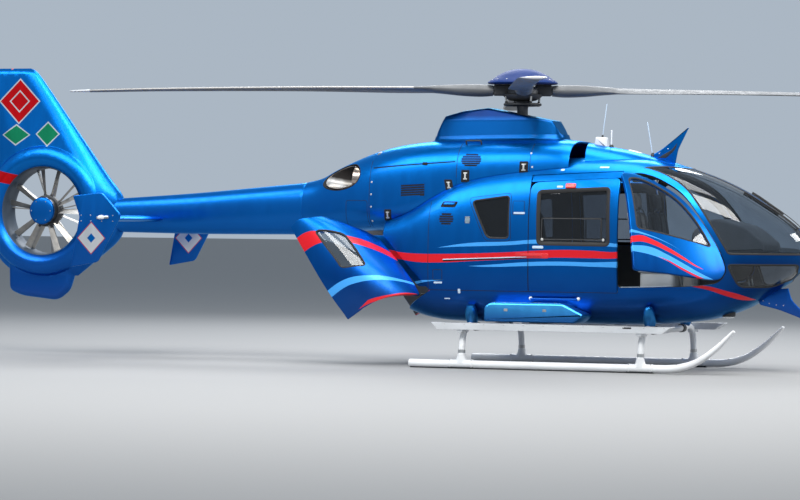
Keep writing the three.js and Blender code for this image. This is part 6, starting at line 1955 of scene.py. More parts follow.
# Boarding steps: long folded boards of silver-painted alloy on brackets from the cross tubes, with a grip
# strip.
step_paint = finish_of("step_paint", (0.66, 0.68, 0.70), 0.42, metal=0.1, coat=0.2, cloud=2.5, grain=500.0,
                       bump=0.08,
                       tone=0.08)
grip = finish_of("grip_strip", (0.07, 0.072, 0.075), 0.9, cloud=4.0, grain=1500.0, bump=0.9)
STEP_SIDE = [[-590, 432], [-660, 506], [2112, 506], [2002, 432]]
for hand, side in sides:
    near, far = 0.925, 1.085
    skirt = rounded([[x, z, 6] for x, z in STEP_SIDE], step=0.05)
    forms = []
    for a, b in ((near, near + 0.006), (far - 0.006, far)):
        low, high = sorted([side * a, side * b])
        forms.append(upright(0, skirt, low, high, edge=0.002))
    low, high = sorted([side * (near + 0.001), side * (far - 0.001)])
    top = oblong(-658, 2110, low * 1000, high * 1000, 8, step=0.05)
    forms.append(plate(0, top, 0.4975, 0.5058, edge=0.003))
    for x0, z0, x1, z1 in ((-0.588, 0.434, -0.658, 0.505), (2.002, 0.434, 2.110, 0.505)):
        lean = np.array([x1 - x0, z1 - z0])
        out = np.array([lean[1], -lean[0]]) / np.linalg.norm(lean) * 0.003 * (1 if x0 > 0 else -1)
        quad = np.array([[x0, z0], [x1, z1], [x1 - out[0] * 2, z1 - out[1] * 2],
                         [x0 - out[0] * 2, z0 - out[1] * 2]])
        forms.append(upright(0, quad, low, high, edge=0.001))
    strip = oblong(-560, 2020, low * 1000 + 25, high * 1000 - 25, 6, step=0.05)
    forms.append(plate(1, strip, 0.5054, 0.5060, edge=0.0002))
    for x in np.arange(-0.50, 2.05, 0.23):
        head = lathe([(0, -0.001), (0.007, -0.001), (0.007, 0.0012), (0.005, 0.0024), (0, 0.0024)],
                     (x, side * (far - 0.001), 0.492), (0, side, 0), 12)
        forms.append((*form_through(head), 2))
    slot_at = sorted([side * (far - 0.004), side * (far + 0.0004)])
    handle = oblong(1560, 1660, 478, 497, 8, step=0.01)
    forms.append(upright(3, handle, *slot_at, edge=0.0002))
    for x in CROSS_X:
        low, high = sorted([side * 0.850, side * 1.070])
        bracket = oblong(x * 1000 - 28, x * 1000 + 28, low * 1000, high * 1000, 6, step=0.02)
        forms.append(plate(0, bracket, 0.3985, 0.4695, edge=0.006))
        post = oblong(x * 1000 - 20, x * 1000 + 20, side * 1000 - 24, side * 1000 + 24, 4, step=0.02)
        forms.append(plate(0, post, 0.466, 0.499, edge=0.002))
    gathered(f"step_{hand}", forms, [step_paint, grip, bare_metal, black_plastic], slot="step_metal",
             nodes=[f"step_{hand}"])

# Side pod: an equipment locker in a streamlined shell on the right flank, with a riveted lid. Moulded of
# glass fibre and bolted to the belly's side.
# painted highlight and shade: the pod is light blue over its top and darker blue below its middle
pod_paint_lit_above = lacquer("side_pod_paint", lower=(0.004, 0.12, 0.46, 1), upper=(0.06, 0.42, 0.86, 1), low=0.57,
                    high=0.72)
SIDE_POD = [[-110, 520, 30], [-110, 690, 30], [-40, 735, 30], [800, 735, 40], [1060, 610, 40],
            [940, 520, 30]]
pod_forms = [upright(0, rounded(SIDE_POD, step=0.03), -0.905, -0.500, edge=0.028)]
lid = oblong(-30, 790, -895, -800, 20, step=0.03)
pod_forms.append(plate(0, lid, 0.7300, 0.7368, edge=0.002))
for x in np.linspace(-0.01, 0.77, 14):
    for y in (-0.884, -0.812):
        head = lathe([(0, -0.001), (0.005, -0.001), (0.004, 0.0012), (0, 0.0016)], (x, y, 0.7368), UP, 8)
        pod_forms.append((*form_through(head), 1))
for x in (0.15, 0.60):
    latch = oblong(x * 1000 - 22, x * 1000 + 22, 640, 668, 5, step=0.01)
    pod_forms.append(upright(1, latch, -0.9085, -0.904, edge=0.001))
gathered("side_pod", pod_forms, [pod_paint_lit_above, bare_metal], nodes=["side_pod"])

# Wire cutters: upright blades above the cockpit and under the nose that lead a cable into a hardened notch.
# Painted plates with steel jaws, bolted through.
TOP_CUTTER = [[1540, 2270], [1525, 2380, 20], [1640, 2442, 60], [1955, 2690, 6], [1832, 2442, 40],
              [1800, 2270]]
LOW_CUTTER = [[2760, 900], [2790, 745, 20], [3020, 690, 60], [3420, 545, 6], [3150, 800, 50], [3110, 930]]
cutter_forms = [upright(0, rounded(TOP_CUTTER), -0.014, 0.014, edge=0.006)]
notch = rounded([[1600, 2352, 8], [1760, 2440, 30], [1830, 2520, 8], [1800, 2440, 30], [1700, 2352, 8]],
                step=0.01)
for y in ((-0.0155, -0.013), (0.013, 0.0155)):
    cutter_forms.append(upright(1, notch, *y, edge=0.0008))
for x, z in ((1.575, 2.345), (1.66, 2.315), (1.75, 2.300), (1.62, 2.400), (1.72, 2.455)):
    for side in (-1, 1):
        head = lathe([(0, -0.001), (0.0065, -0.001), (0.0065, 0.002), (0.004, 0.0035), (0, 0.0035)],
                     (x, side * 0.0138, z), (0, side, 0), 10)
        cutter_forms.append((*form_through(head), 2))
gathered("wire_cutter_top", cutter_forms, [blue_paint, dark_steel, bare_metal], nodes=["wire_cutter_top"])
cutter_forms = [upright(0, rounded(LOW_CUTTER), -0.014, 0.014, edge=0.006)]
for x, z in ((2.83, 0.790), (2.90, 0.760), (2.98, 0.745), (3.06, 0.740)):
    for side in (-1, 1):
        head = lathe([(0, -0.001), (0.0065, -0.001), (0.0065, 0.002), (0.004, 0.0035), (0, 0.0035)],
                     (x, side * 0.0138, z), (0, side, 0), 10)
        cutter_forms.append((*form_through(head), 1))
gathered("wire_cutter_low", cutter_forms, [blue_paint, bare_metal], nodes=["wire_cutter_low"])

# Instrument panel and console: a hooded grey panel with four screens, and a console with knobs between the
# seats.
screen_black = finish_of("screen_black", (0.006, 0.007, 0.009), 0.10, coat=0.6, cloud=3.0, grain=900.0,
                         bump=0.02)
hood_grey = finish_of("hood_grey", (0.16, 0.165, 0.175), 0.75, cloud=3.0, grain=900.0, bump=0.35)
PANEL_SIDE = [[2080, 1290, 10], [2120, 1560, 20], [2250, 1640, 60], [2360, 1690, 80], [2700, 1600, 80],
              [2930, 1420, 40], [2930, 1330, 20], [2420, 1290, 60]]
panel_forms = [upright(0, rounded(PANEL_SIDE, step=0.02), -0.330, 0.330, edge=0.030)]
CONSOLE_SIDE = [[2132, 862, 8], [2132, 1180, 40], [2200, 1300, 30], [2418, 1320, 10], [2418, 862, 8]]
panel_forms.append(upright(1, rounded(CONSOLE_SIDE, step=0.02), -0.139, 0.139, edge=0.012))
face_from, face_to = np.array([2.083, 1.315]), np.array([2.119, 1.553])
face_up = (face_to - face_from) / np.linalg.norm(face_to - face_from)
face_out = np.array([-face_up[1], face_up[0]])


def on_face(number, across_at, up_at, width, height, depth, corner=0.006):
    """A rounded plate standing a depth proud of the sloping instrument face, across_at to the left, up_at
    high."""
    half_wide, half_high = width * 500, height * 500
    ring = oblong(across_at * 1000 - half_wide, across_at * 1000 + half_wide, up_at * 1000 - half_high,
                  up_at * 1000 + half_high, corner * 1000, step=0.02)
    rings = slab_rings(ring, -0.004, depth, edge=0.002)
    flat_y, flat_up, out = rings[..., 0], rings[..., 1], rings[..., 2]
    base = face_from + face_up * flat_up[..., None] + face_out * out[..., None]
    return (*form_through(np.stack([base[..., 0], flat_y, base[..., 1]], -1)), number)


for y in (-0.235, -0.080, 0.080, 0.235):
    panel_forms += [
        on_face(1, y, 0.130, 0.142, 0.172, 0.012),
        on_face(2, y, 0.136, 0.114, 0.140, 0.0135),
    ]
    for k in range(6):
        panel_forms.append(on_face(3, y - 0.05 + 0.02 * k, 0.054, 0.012, 0.007, 0.0145, 0.002))
for y in np.linspace(-0.28, 0.28, 9):
    panel_forms.append(on_face(1, y, 0.022, 0.030, 0.022, 0.010, 0.004))
for row, z in enumerate(np.linspace(0.94, 1.14, 5)):
    for y in (-0.07, 0.0, 0.07):
        knob = lathe([(0, -0.003), (0.015, -0.003), (0.014, 0.012), (0.010, 0.015), (0, 0.015)],
                     (2.131, y, z), (-1, 0, 0), 20)
        panel_forms.append((*form_through(knob), 3 if row % 2 else 1))
for side in (-1, 1):
    for y in (0.30, 0.44):
        pedal = oblong(-45, 45, -35, 35, 15, step=0.015) + [side * y, 1.02]
        tread = slab_rings(pedal, 2.560, 2.572, edge=0.003, flat=(1, 2), across=0)
        panel_forms += [
            (*form_through(tread), 1),
            rod(4, (2.567, side * y, 1.02), (2.60, side * y, 0.872), 0.010),
        ]
gathered("instrument_panel", panel_forms, [hood_grey, black_plastic, screen_black, grey_lining, bare_metal],
         slot="black_plastic", nodes=["instrument_panel"])

# Flight controls: a curved stick before each cockpit seat and a lever beside it, on the cabin floor. Steel
# tubes with rubber grips and boots.
control_forms = []
for side in (-1, 1):
    path = smooth_rows([[1985, 865, 1], [2000, 960, 1], [1960, 1090, 1], [1900, 1200, 1], [1885, 1290, 1]],
                       steps=8)[:, :2]
    centres = np.column_stack([path[:, 0], np.full(len(path), side * 0.370), path[:, 1]])
    ways = ways_along(centres)
    radius = np.full(len(centres), 0.0125)
    control_forms += [
        (*form_through(run_rings(centres, ways, radius, radius, (0, 1, 0), around=16)), 0),
        rod(1, (1.888, side * 0.370, 1.270), (1.876, side * 0.370, 1.400), 0.021),
        rod(2, (1.862, side * 0.370, 1.385), (1.880, side * 0.370, 1.392), 0.012),
    ]
    boot = lathe([(0, 0), (0.07, 0), (0.068, 0.01), (0.045, 0.02), (0.040, 0.03), (0.032, 0.036),
                  (0.026, 0.05), (0.016, 0.058),
                  (0, 0.058)], (1.986, side * 0.370, 0.8606), UP, 24)
    control_forms.append((*form_through(boot), 1))
    lever = side * 0.370 + 0.265
    control_forms += [
        rod(0, (1.560, lever, 0.900), (1.910, lever, 1.165), 0.0135),
        rod(1, (1.850, lever, 1.120), (1.965, lever, 1.207), 0.022),
        lathed(1, [(0, 0), (0.035, 0), (0.030, 0.02), (0.015, 0.045), (0, 0.045)], (1.560, lever, 0.8606),
               UP, 20),
    ]
gathered("flight_controls", control_forms, [bare_metal, black_rubber, red_paint], slot="black_plastic")

# Seats: cloth-covered foam cushions, back and headrest on a shell over a boxed base and two floor rails. The
# cushions are sewn in channels, and each seat has a harness with metal buckles.
made, tree, shader = new_material("seat_cloth")
spot = add_node(tree, "TexCoord").outputs["Object"]
weave_one = add_node(tree, "TexWave", {"Vector": spot, "Scale": 90.0, "Distortion": 0.6, "Detail": 1.0},
                     bands_direction="X")
weave_two = add_node(tree, "TexWave", {"Vector": spot, "Scale": 90.0, "Distortion": 0.6, "Detail": 1.0},
                     bands_direction="Y")
weave = calc(tree, "MULTIPLY", weave_one.outputs["Fac"], weave_two.outputs["Fac"])
wear = worn(tree, 4.0, 800.0)
cloth = mix_colour(tree, weave, (0.032, 0.036, 0.046, 1), (0.082, 0.090, 0.108, 1))
cloth = mix_colour(tree, spread(tree, wear.outputs["Cloud"], 0.4, 0.75, 0.0, 0.35), cloth,
                   (0.13, 0.135, 0.15, 1))
tree.links.new(cloth, shader.inputs["Base Color"])
tree.links.new(spread(tree, wear.outputs["Cloud"], 0.3, 0.7, 0.82, 0.95), shader.inputs["Roughness"])
shader.inputs["Sheen Weight"].default_value = 0.35
height = add_node(tree, "Bump", {"Height": weave, "Strength": 0.35, "Distance": 0.0008})
tree.links.new(height.outputs[0], shader.inputs["Normal"])
seat_cloth = made
webbing = finish_of("harness_webbing", (0.05, 0.052, 0.056), 0.8, cloud=20.0, grain=1200.0, bump=0.5)
seat_base = finish_of("seat_base", (0.46, 0.47, 0.48), 0.6, cloud=3.0, grain=500.0, bump=0.2, tone=0.1)
seat_shell = finish_of("seat_shell", (0.30, 0.31, 0.32), 0.6, cloud=4.0, grain=600.0, bump=0.15)


def pillow(size, bolster=0.0, count=25):
    """A cushion's starting shape about its middle: a block with round edges, its top crowned by the cosines
    of both shares, and its two long sides raised into bolsters. Axes are length, width and thickness."""
    length, width, thick = size
    u, v = np.meshgrid(np.linspace(-1, 1, count), np.linspace(-1, 1, count), indexing="ij")
    square = (1 - np.abs(u) ** 6) ** (1 / 6), (1 - np.abs(v) ** 6) ** (1 / 6)
    x = u * length / 2 * (0.93 + 0.07 * square[1])
    y = v * width / 2 * (0.93 + 0.07 * square[0])
    edge = (1 - np.abs(u) ** 10) ** 0.5 * (1 - np.abs(v) ** 10) ** 0.5
    crown = 0.75 + 0.25 * np.cos(u * np.pi / 2) * np.cos(v * np.pi / 2)
    rise = bolster * np.exp(-((np.abs(v) - 0.80) / 0.13) ** 2)
    top = edge * (thick / 2 * crown + rise)
    low = -edge * thick / 2
    points = np.concatenate([np.stack([x, y, top], -1).reshape(-1, 3),
                             np.stack([x, y, low], -1).reshape(-1, 3)])
    faces = grid_faces(count, count)
    return points, np.concatenate([faces, faces[:, ::-1] + count * count])


def puffed(name, points, faces, cap, channels, groove=0.006):
    """A cushion blown up a little by cloth simulation from a remeshed block: no point moves further than
    the cap. Sewn channels, lines of (axis, place), are then pressed in on its top by a bell curve of the
    distance."""
    mesh = bpy.data.meshes.new(name)
    mesh.from_pydata(points.tolist(), [], faces.tolist())
    work = bpy.data.objects.new(name, mesh)
    bpy.context.scene.collection.objects.link(work)
    bpy.context.view_layer.objects.active = work
    weld = work.modifiers.new("weld", "WELD")
    weld.merge_threshold = 0.0004
    remesh = work.modifiers.new("remesh", "REMESH")
    remesh.mode = "VOXEL"
    remesh.voxel_size = 0.006
    depsgraph = bpy.context.evaluated_depsgraph_get()
    block = bpy.data.meshes.new_from_object(work.evaluated_get(depsgraph))
    work.modifiers.clear()
    work.data = block
    start = np.empty(len(block.vertices) * 3, np.float32)
    block.vertices.foreach_get("co", start)
    start = start.reshape(-1, 3)
    cloth = work.modifiers.new("cloth", "CLOTH")
    cloth.settings.use_pressure = True
    cloth.settings.uniform_pressure_force = 4.0
    cloth.settings.effector_weights.gravity = 0.0
    cloth.settings.quality = 4
    cloth.point_cache.frame_start, cloth.point_cache.frame_end = 1, 20
    for number in range(1, 21):
        bpy.context.scene.frame_set(number)
    depsgraph = bpy.context.evaluated_depsgraph_get()
    blown = bpy.data.meshes.new_from_object(work.evaluated_get(depsgraph))
    found = np.empty(len(blown.vertices) * 3, np.float32)
    blown.vertices.foreach_get("co", found)
    moved = found.reshape(-1, 3) - start
    length = np.linalg.norm(moved, axis=1, keepdims=True)
    start = start + moved * np.minimum(1, cap / np.maximum(length, 1e-9))
    bpy.context.scene.frame_set(1)
    work.modifiers.clear()
    pressed = start.astype(float)
    on_top = np.clip(pressed[:, 2] / max(pressed[:, 2].max(), 1e-6) * 3, 0, 1)
    for axis, place, low, high in channels:
        other = pressed[:, 1 - axis]
        within = np.clip((other - low) / 0.02, 0, 1) * np.clip((high - other) / 0.02, 0, 1)
        pressed[:, 2] -= groove * on_top * within * np.exp(-((pressed[:, axis] - place) / 0.007) ** 2)
    quads = np.empty(len(block.loops), np.int32)
    block.loops.foreach_get("vertex_index", quads)
    starts = np.empty(len(block.polygons), np.int32)
    block.polygons.foreach_get("loop_start", starts)
    bounds = np.append(starts, len(quads))
    cushion_faces = [quads[a:b].tolist() for a, b in zip(bounds, bounds[1:])]
    bpy.data.objects.remove(work)
    return pressed, cushion_faces


PAN_SIZE, BACK_SIZE, HEAD_SIZE = (0.452, 0.434, 0.098), (0.570, 0.414, 0.082), (0.188, 0.244, 0.088)
cushions = [
    ("pan", PAN_SIZE, 0.016, [(1, -0.125, -0.21, 0.21), (1, 0.125, -0.21, 0.21), (0, -0.07, -0.12, 0.12),
                              (0, 0.07, -0.12, 0.12)]),
    ("back", BACK_SIZE, 0.016, [(1, -0.115, -0.26, 0.26), (1, 0.115, -0.26, 0.26), (0, -0.13, -0.11, 0.11),
                                (0, 0.0, -0.11, 0.11),
                                (0, 0.13, -0.11, 0.11)]),
    ("head", HEAD_SIZE, 0.0, []),
]
puffed_forms = {name: puffed(name, *pillow(size, rise), 0.006, lines) for name, size, rise,
                lines in cushions}


def placed_form(points, middle, along, out):
    """Points of a form about its middle, with its length along one way and its thickness along another."""
    along = np.array(along, float) / np.linalg.norm(along)
    out = np.array(out, float)
    out -= along * (out @ along)
    out /= np.linalg.norm(out)
    side_way = np.cross(out, along)
    return np.asarray(middle) + points[:, :1] * along + points[:, 1:2] * side_way + points[:, 2:3] * out


SEATS = [("pilot_seat_right", 1.560, -0.370), ("pilot_seat_left", 1.560, 0.370),
         ("cabin_seat", 0.090, 0.370)]
for seat, x, y in SEATS:
    # middle, way along its length, way out of its top
    poses = {
        "pan": ((x + 0.245, y, 1.162), (1, 0, 0.06), (0, 0, 1)),
        "back": ((x - 0.027, y, 1.468), (-0.155, 0, 1), (1, 0, 0)),
        "head": ((x - 0.094, y, 1.862), (-0.10, 0, 1), (1, 0, 0)),
    }
    for name, (middle, along, out) in poses.items():
        points, faces = puffed_forms[name]
        cushion = gathered(f"{seat}_{name}", [(placed_form(points, middle, along, out), faces)],
                           [seat_cloth],
                           slot="seat_cloth", nodes=[seat] if name == "pan" else [], smooth_below=70)
    tray = rounded([[x * 1000 + 5, (y - 0.215) * 1000, 30], [x * 1000 + 465, (y - 0.215) * 1000, 40],
                    [x * 1000 + 465, (y + 0.215) * 1000, 40], [x * 1000 + 5, (y + 0.215) * 1000, 30]],
                   step=0.02)
    forms = [plate(0, tray, 1.086, 1.112, edge=0.008)]
    back_plate = rounded([[-205, -300, 50], [205, -300, 50], [205, 300, 60], [-205, 300, 60]], step=0.02)
    rings = slab_rings(back_plate, -0.008, 0.008, edge=0.006)
    rings = np.stack([rings[..., 1], rings[..., 0], rings[..., 2]], -1).reshape(-1, 3)
    back_rings = placed_form(rings, (x - 0.078, y, 1.450), (-0.155, 0, 1), (1, 0, 0)).reshape(8, -1, 3)
    forms.append((*form_through(back_rings), 0))
    base = rounded([[x * 1000 + 20, (y - 0.196) * 1000, 40], [x * 1000 + 415, (y - 0.196) * 1000, 50],
                    [x * 1000 + 415, (y + 0.196) * 1000, 50], [x * 1000 + 20, (y + 0.196) * 1000, 40]],
                   step=0.02)
    forms.append(plate(3, base, 0.8865, 1.086, edge=0.014))
    for dy in (-0.170, 0.170):
        rail = oblong((x + 0.0) * 1000, (x + 0.42) * 1000, (y + dy - 0.020) * 1000, (y + dy + 0.020) * 1000,
                      4, step=0.03)
        forms += [
            plate(1, rail, 0.8605, 0.886, edge=0.003),
            rod(1, (x - 0.080, y + dy * 0.42, 1.750), (x - 0.092, y + dy * 0.42, 1.800), 0.007),
        ]
        # shoulder strap: a flat band laid over the back cushion from its top to the lap
        strap_x = np.array([-0.115, -0.090, -0.055, -0.028, -0.010, 0.010, 0.026, 0.045])
        strap_z = np.array([1.760, 1.785, 1.770, 1.700, 1.600, 1.480, 1.370, 1.262])
        side_at = y + dy * np.linspace(0.40, 0.62, 8)
        line_at = smooth_rows(np.column_stack([(x + strap_x) * 1000 + 14, side_at * 1000, strap_z * 1000,
                                               np.ones(8)]), steps=5)[:, :3]
        ways = ways_along(line_at)
        flat_band = run_rings(line_at, ways, np.full(len(line_at), 0.024), np.full(len(line_at), 0.0018),
                              (0, 1, 0), around=12, power=4)
        forms.append((*form_through(flat_band), 2))
        buckle = oblong(-22, 22, -26, 26, 5, step=0.01)
        plate_at = slab_rings(buckle + [y + dy * 0.72, 1.228], x + 0.0635, x + 0.072, edge=0.002,
                              flat=(1, 2), across=0)
        forms.append((*form_through(plate_at), 1))
    lap = np.column_stack([np.full(15, x + 0.135), y + np.linspace(-0.205, 0.205, 15),
                           1.236 + 0.010 * np.cos(np.linspace(-np.pi / 2, np.pi / 2, 15)) ** 0.5 - 0.004])
    ways = np.tile([0.0, 1.0, 0.0], (15, 1))
    lap_band = run_rings(lap, ways, np.full(15, 0.024), np.full(15, 0.0018), (1, 0, 0), around=12, power=4)
    forms.append((*form_through(lap_band), 2))
    buckle = oblong(-30, 30, -24, 24, 8, step=0.01) + [x + 0.135, y]
    forms.append(plate(1, buckle, 1.240, 1.252, edge=0.003))
    gathered(f"{seat}_frame", forms, [seat_shell, bare_metal, webbing, seat_base], slot="grey_metal")

# Cowling fittings: spring latches in black cups, louvred vents and drip rails, let into the lids' skin
# alike on both sides. Pressed light alloy and black plastic, riveted or clipped in.


def flank(form, spots, side):
    """Skin points, x from the mast, and outward normals of a body at side-view spots (x, z) on one side."""
    table, maps = flat_map(form, [on_side(form, np.asarray(spots, float))])
    at, normal = lift(form, table, maps[0])
    return (at - [MAST, 0, 0]) * [1, side, 1], normal * [1, side, 1]


def laid_plate(number, form, outline, low, high, side, edge=0.001):
    """A plate between two heights over a body's skin, laid on it inside a side-view outline: its rounded
    rim, then the same ring drawn towards its middle, so that its face follows the skin."""
    rings = list(slab_rings(outline, low, high, edge, flat=(0, 2), across=1))
    rim = rings[-1]
    middle = rim.mean(axis=0)
    rings += [middle + (rim - middle) * share for share in (0.7, 0.4, 0.1)]
    flat = np.stack(rings).reshape(-1, 3)
    at, normal = flank(form, flat[:, [0, 2]], side)
    return (*form_through((at + normal * flat[:, 1:2]).reshape(len(rings), -1, 3)), number)


def laid_strip(number, form, spots, wide, low, high, side):
    """A strip along an open side-view line on a body's skin: the corners of its section carried along the
    line."""
    at, normal = flank(form, spots, side)
    across = np.cross(normal, ways_along(at))
    corners = [(-wide / 2, low), (-wide / 2, high * 0.6), (-wide / 4, high), (wide / 4, high),
               (wide / 2, high * 0.6), (wide / 2, low)]
    return (*form_through(np.stack([at + across * c + normal * h for c, h in corners], axis=1)), number)


def leaning(middle, size, lean=0.0, corner=6):
    """A rectangle's outline in side view about its middle, sheared so that its top leans forward."""
    (x, z), (long, tall) = middle, size
    spots = [(-long / 2, -tall / 2), (long / 2, -tall / 2), (long / 2, tall / 2), (-long / 2, tall / 2)]
    rows = [[(x + u + v * lean) * 1000, (z + v) * 1000, corner] for u, v in spots]
    return rounded(rows, step=0.012)


def laid_plates(form, table, side):
    """Plates from rows (x, z, length, height, lean, corner radius in mm, from and to over the skin, rim,
    finish)."""
    return [laid_plate(number, form, leaning((x, z), (long, tall), lean, corner), low, high, side, edge)
            for x, z, long, tall, lean, corner, low, high, edge, number in table]


def closed(loop):
    """A closed line with its first point once more at its end."""
    return np.vstack([loop, loop[:1]])


def louvre(form, middle, size, slots, side, rise=0.0, round_ends=True):
    """Slots one above the other, shorter towards the ends where they are round, each a black strip under a
    hood. The black strip is painted shade inside the slot."""
    forms = []
    (x, z), (long, tall) = middle, size
    pitch = tall / slots
    for place in np.linspace(-1, 1, slots) * (1 - 1 / slots):
        share = np.sqrt(1 - (0.94 * place) ** 2) if round_ends else 1.0
        ends = np.linspace(-long / 2, long / 2, 7) * share
        # the slot: a black strip, painted shade
        black = np.column_stack([x + ends, z + place * tall / 2 + ends * rise])
        forms.append(laid_strip(1, form, black, pitch * 0.66, -0.002, 0.0012, side))
        forms.append(laid_strip(0, form, black + [0, pitch * 0.48], pitch * 0.20, -0.002, 0.0040, side))
    return forms


fitting_metal = finish_of("fitting_metal", (0.60, 0.60, 0.58), 0.36, metal=0.6, cloud=9.0, grain=500.0,
                          bump=0.1)
# a strip's section: how wide it is, and from and to over the skin
SEAM_LINE = (0.0055, -0.003, 0.0006)
HATCH_LINE = (0.005, -0.002, 0.0006)
# middle, size and lean of each latch
LATCHES = [((-0.459, 2.132), (0.098, 0.136), 0.0), ((0.230, 2.232), (0.102, 0.134), 0.0),
           ((-0.653, 2.030), (0.094, 0.124), -0.20), ((-1.414, 1.690), (0.088, 0.126), 0.10)]
COWL_SCREWS = [(-1.628, 2.06), (-1.628, 1.92), (-1.628, 1.78), (-1.628, 1.62), (0.300, 2.39),
               (0.330, 2.235)]
COWL_PLATES = [(-0.975, 1.925, 0.050, 0.034, 0.0, 5, -0.002, 0.003, 0.001, 1),
               (-0.955, 2.268, 0.060, 0.030, 0.0, 5, -0.002, 0.008, 0.001, 1)]
COWL_PLATES += [(x, z, 0.020, 0.020, 0.0, 9, -0.002, 0.0025, 0.001, 2) for x, z in COWL_SCREWS]
for (x, z), (long, tall), lean in LATCHES:
    COWL_PLATES += [(x, z, long, tall, lean, 12, -0.002, 0.0025, 0.001, 1),
                    (x, z, long * 0.20, tall * 0.56, lean, 6, 0.002, 0.010, 0.002, 2)]
    COWL_PLATES += [(x + rise * tall * lean, z + rise * tall, long * 0.46, 0.014, lean, 5, 0.002, 0.007,
                     0.001, 2)
                    for rise in (-0.24, 0.24)]
# seams between the lids: x from the mast, and the heights they run between
COWL_SEAMS = [(COWL_JOINTS[1], 2.20, 2.50), (COWL_JOINTS[2], 2.12, 2.50), (COWL_JOINTS[3], 1.56, 2.30)]
drip = np.column_stack([np.linspace(-1.623, -0.590, 40), 2.216 + 0.075 * np.linspace(0, 1, 40) ** 0.9])
hatch = closed(leaning((-1.826, 1.700), (0.290, 0.300), 0.0, 30))
for hand, side in sides:
    forms = laid_plates(DECK, COWL_PLATES, side)
    forms += louvre(DECK, (-0.399, 2.310), (0.240, 0.144), 6, side)
    forms += louvre(DECK, (-1.095, 1.972), (0.290, 0.132), 5, side, rise=0.05, round_ends=False)
    # the drip rail: a black strip, painted shade under the blue lip above it
    forms += [laid_strip(1, DECK, drip, 0.010, -0.002, 0.0008, side),
              laid_strip(0, DECK, drip + [0, 0.010], 0.010, -0.002, 0.006, side),
              laid_strip(1, DECK, hatch, *HATCH_LINE, side)]
    for x, low, high in COWL_SEAMS:
        seam = np.column_stack([np.full(40, x), np.linspace(low, high, 40)])
        forms.append(laid_strip(1, DECK, seam, *SEAM_LINE, side))
    gathered(f"cowling_fittings_{hand}", forms, [blue_paint, deep_black, fitting_metal], slot="grey_metal")

# Cabin fittings: vents, handles, small plates and the sliding door's rail, screwed to the cabin's sides.
# Pressed light alloy, black plastic and glass fibre.
dull_plate = finish_of("dull_plate", (0.16, 0.22, 0.27), 0.55, cloud=30.0, grain=300.0, bump=0.2, tone=0.3)
pale_strip = finish_of("pale_strip", (0.50, 0.62, 0.74), 0.4, coat=0.2, cloud=3.0, grain=500.0, bump=0.05,
                       tone=0.08)
CABIN_PLATES = [
    (-0.600, 1.814, 0.186, 0.064, 0.5, 18, -0.002, 0.003, 0.001, 1),
    (-0.596, 1.820, 0.140, 0.026, 0.5, 10, 0.002, 0.012, 0.004, 0),
    (-0.363, 1.643, 0.058, 0.076, 0.0, 6, -0.002, 0.002, 0.001, 6),
    (0.246, 1.724, 0.130, 0.022, 0.0, 4, -0.002, 0.0016, 0.001, 3),
    (0.474, 1.349, 0.128, 0.030, 0.0, 12, -0.002, 0.012, 0.005, 3),
    (0.405, 1.256, 0.390, 0.058, 0.0, 20, -0.002, 0.008, 0.004, 4),
    (0.405, 1.256, 0.250, 0.026, 0.0, 10, 0.006, 0.014, 0.004, 4),
    (0.826, 2.026, 0.120, 0.054, 0.0, 14, -0.002, 0.018, 0.008, 5),
    (0.700, 2.018, 0.070, 0.022, 0.0, 8, -0.002, 0.004, 0.001, 3),
    (-0.714, 0.941, 0.104, 0.020, 0.0, 9, -0.002, 0.0025, 0.001, 3),
    (-0.459, 0.850, 0.030, 0.050, 0.0, 9, -0.002, 0.0025, 0.001, 3),
    (-0.613, 0.764, 0.070, 0.012, 0.0, 9, -0.002, 0.0025, 0.001, 3),
    (0.690, 2.205, 0.044, 0.020, 0.0, 9, -0.002, 0.0025, 0.001, 3),
    (1.165, 2.236, 0.110, 0.016, 0.0, 9, -0.002, 0.0025, 0.001, 3),
]
PLATE_SCREWS = [(-0.39, 1.617), (-0.335, 1.617), (-0.39, 1.669), (-0.335, 1.669)]
CABIN_PLATES += [(x, z, 0.008, 0.008, 0.0, 3, 0.001, 0.0035, 0.001, 1) for x, z in PLATE_SCREWS]
rail = np.column_stack([np.linspace(-0.649, 0.345, 40), 1.199 + 0.042 * np.linspace(0, 1, 40)])
frame_line = rounded([[-150, 1412, 60], [-364, 1888, 60], [142, 1946, 50], [152, 1412, 50]], step=0.02)
sill_line = np.column_stack([np.linspace(1.400, 2.000, 30), 0.910 + 0.018 * np.linspace(0, 1, 30) ** 1.6])
belly_seam = np.column_stack([np.linspace(-0.835, 1.385, 60), np.full(60, 0.858)])
SEAM_HEIGHTS = [(0.358, 2.060, 0.872), (-0.838, 1.840, 0.872)]
# line, width, from and to over the skin, finish
CABIN_STRIPS = [
    (closed(leaning((0.236, 1.782), (0.136, 0.150), 0.0, 16)), 0.0045, -0.002, 0.0006, 1),
    (rail, 0.012, -0.002, 0.010, 3),
    (rail - [0, 0.012], 0.013, -0.002, 0.004, 1),
    (closed(frame_line), 0.005, -0.002, 0.0007, 1),
    (closed(leaning((-0.719, 1.029), (0.112, 0.110), 0.0, 10)), 0.006, -0.002, 0.0006, 1),
    (belly_seam, 0.006, -0.003, 0.0006, 1),
    (sill_line, 0.016, -0.060, -0.048, 3),
]
CABIN_STRIPS += [(np.column_stack([np.full(50, x), np.linspace(low, top, 50)]), 0.005, -0.003, 0.0006, 1)
                 for x, top, low in SEAM_HEIGHTS]
for hand, side in sides:
    forms = louvre(POD, (-0.621, 1.650), (0.176, 0.132), 5, side) + laid_plates(POD, CABIN_PLATES, side)
    forms += [laid_strip(number, POD, way, wide, low, high, side) for way, wide, low, high,
              number in CABIN_STRIPS]
    gathered(f"cabin_fittings_{hand}", forms,
             [blue_paint, deep_black, fitting_metal, pale_strip, red_paint, red_lens, dull_plate],
             slot="grey_metal")
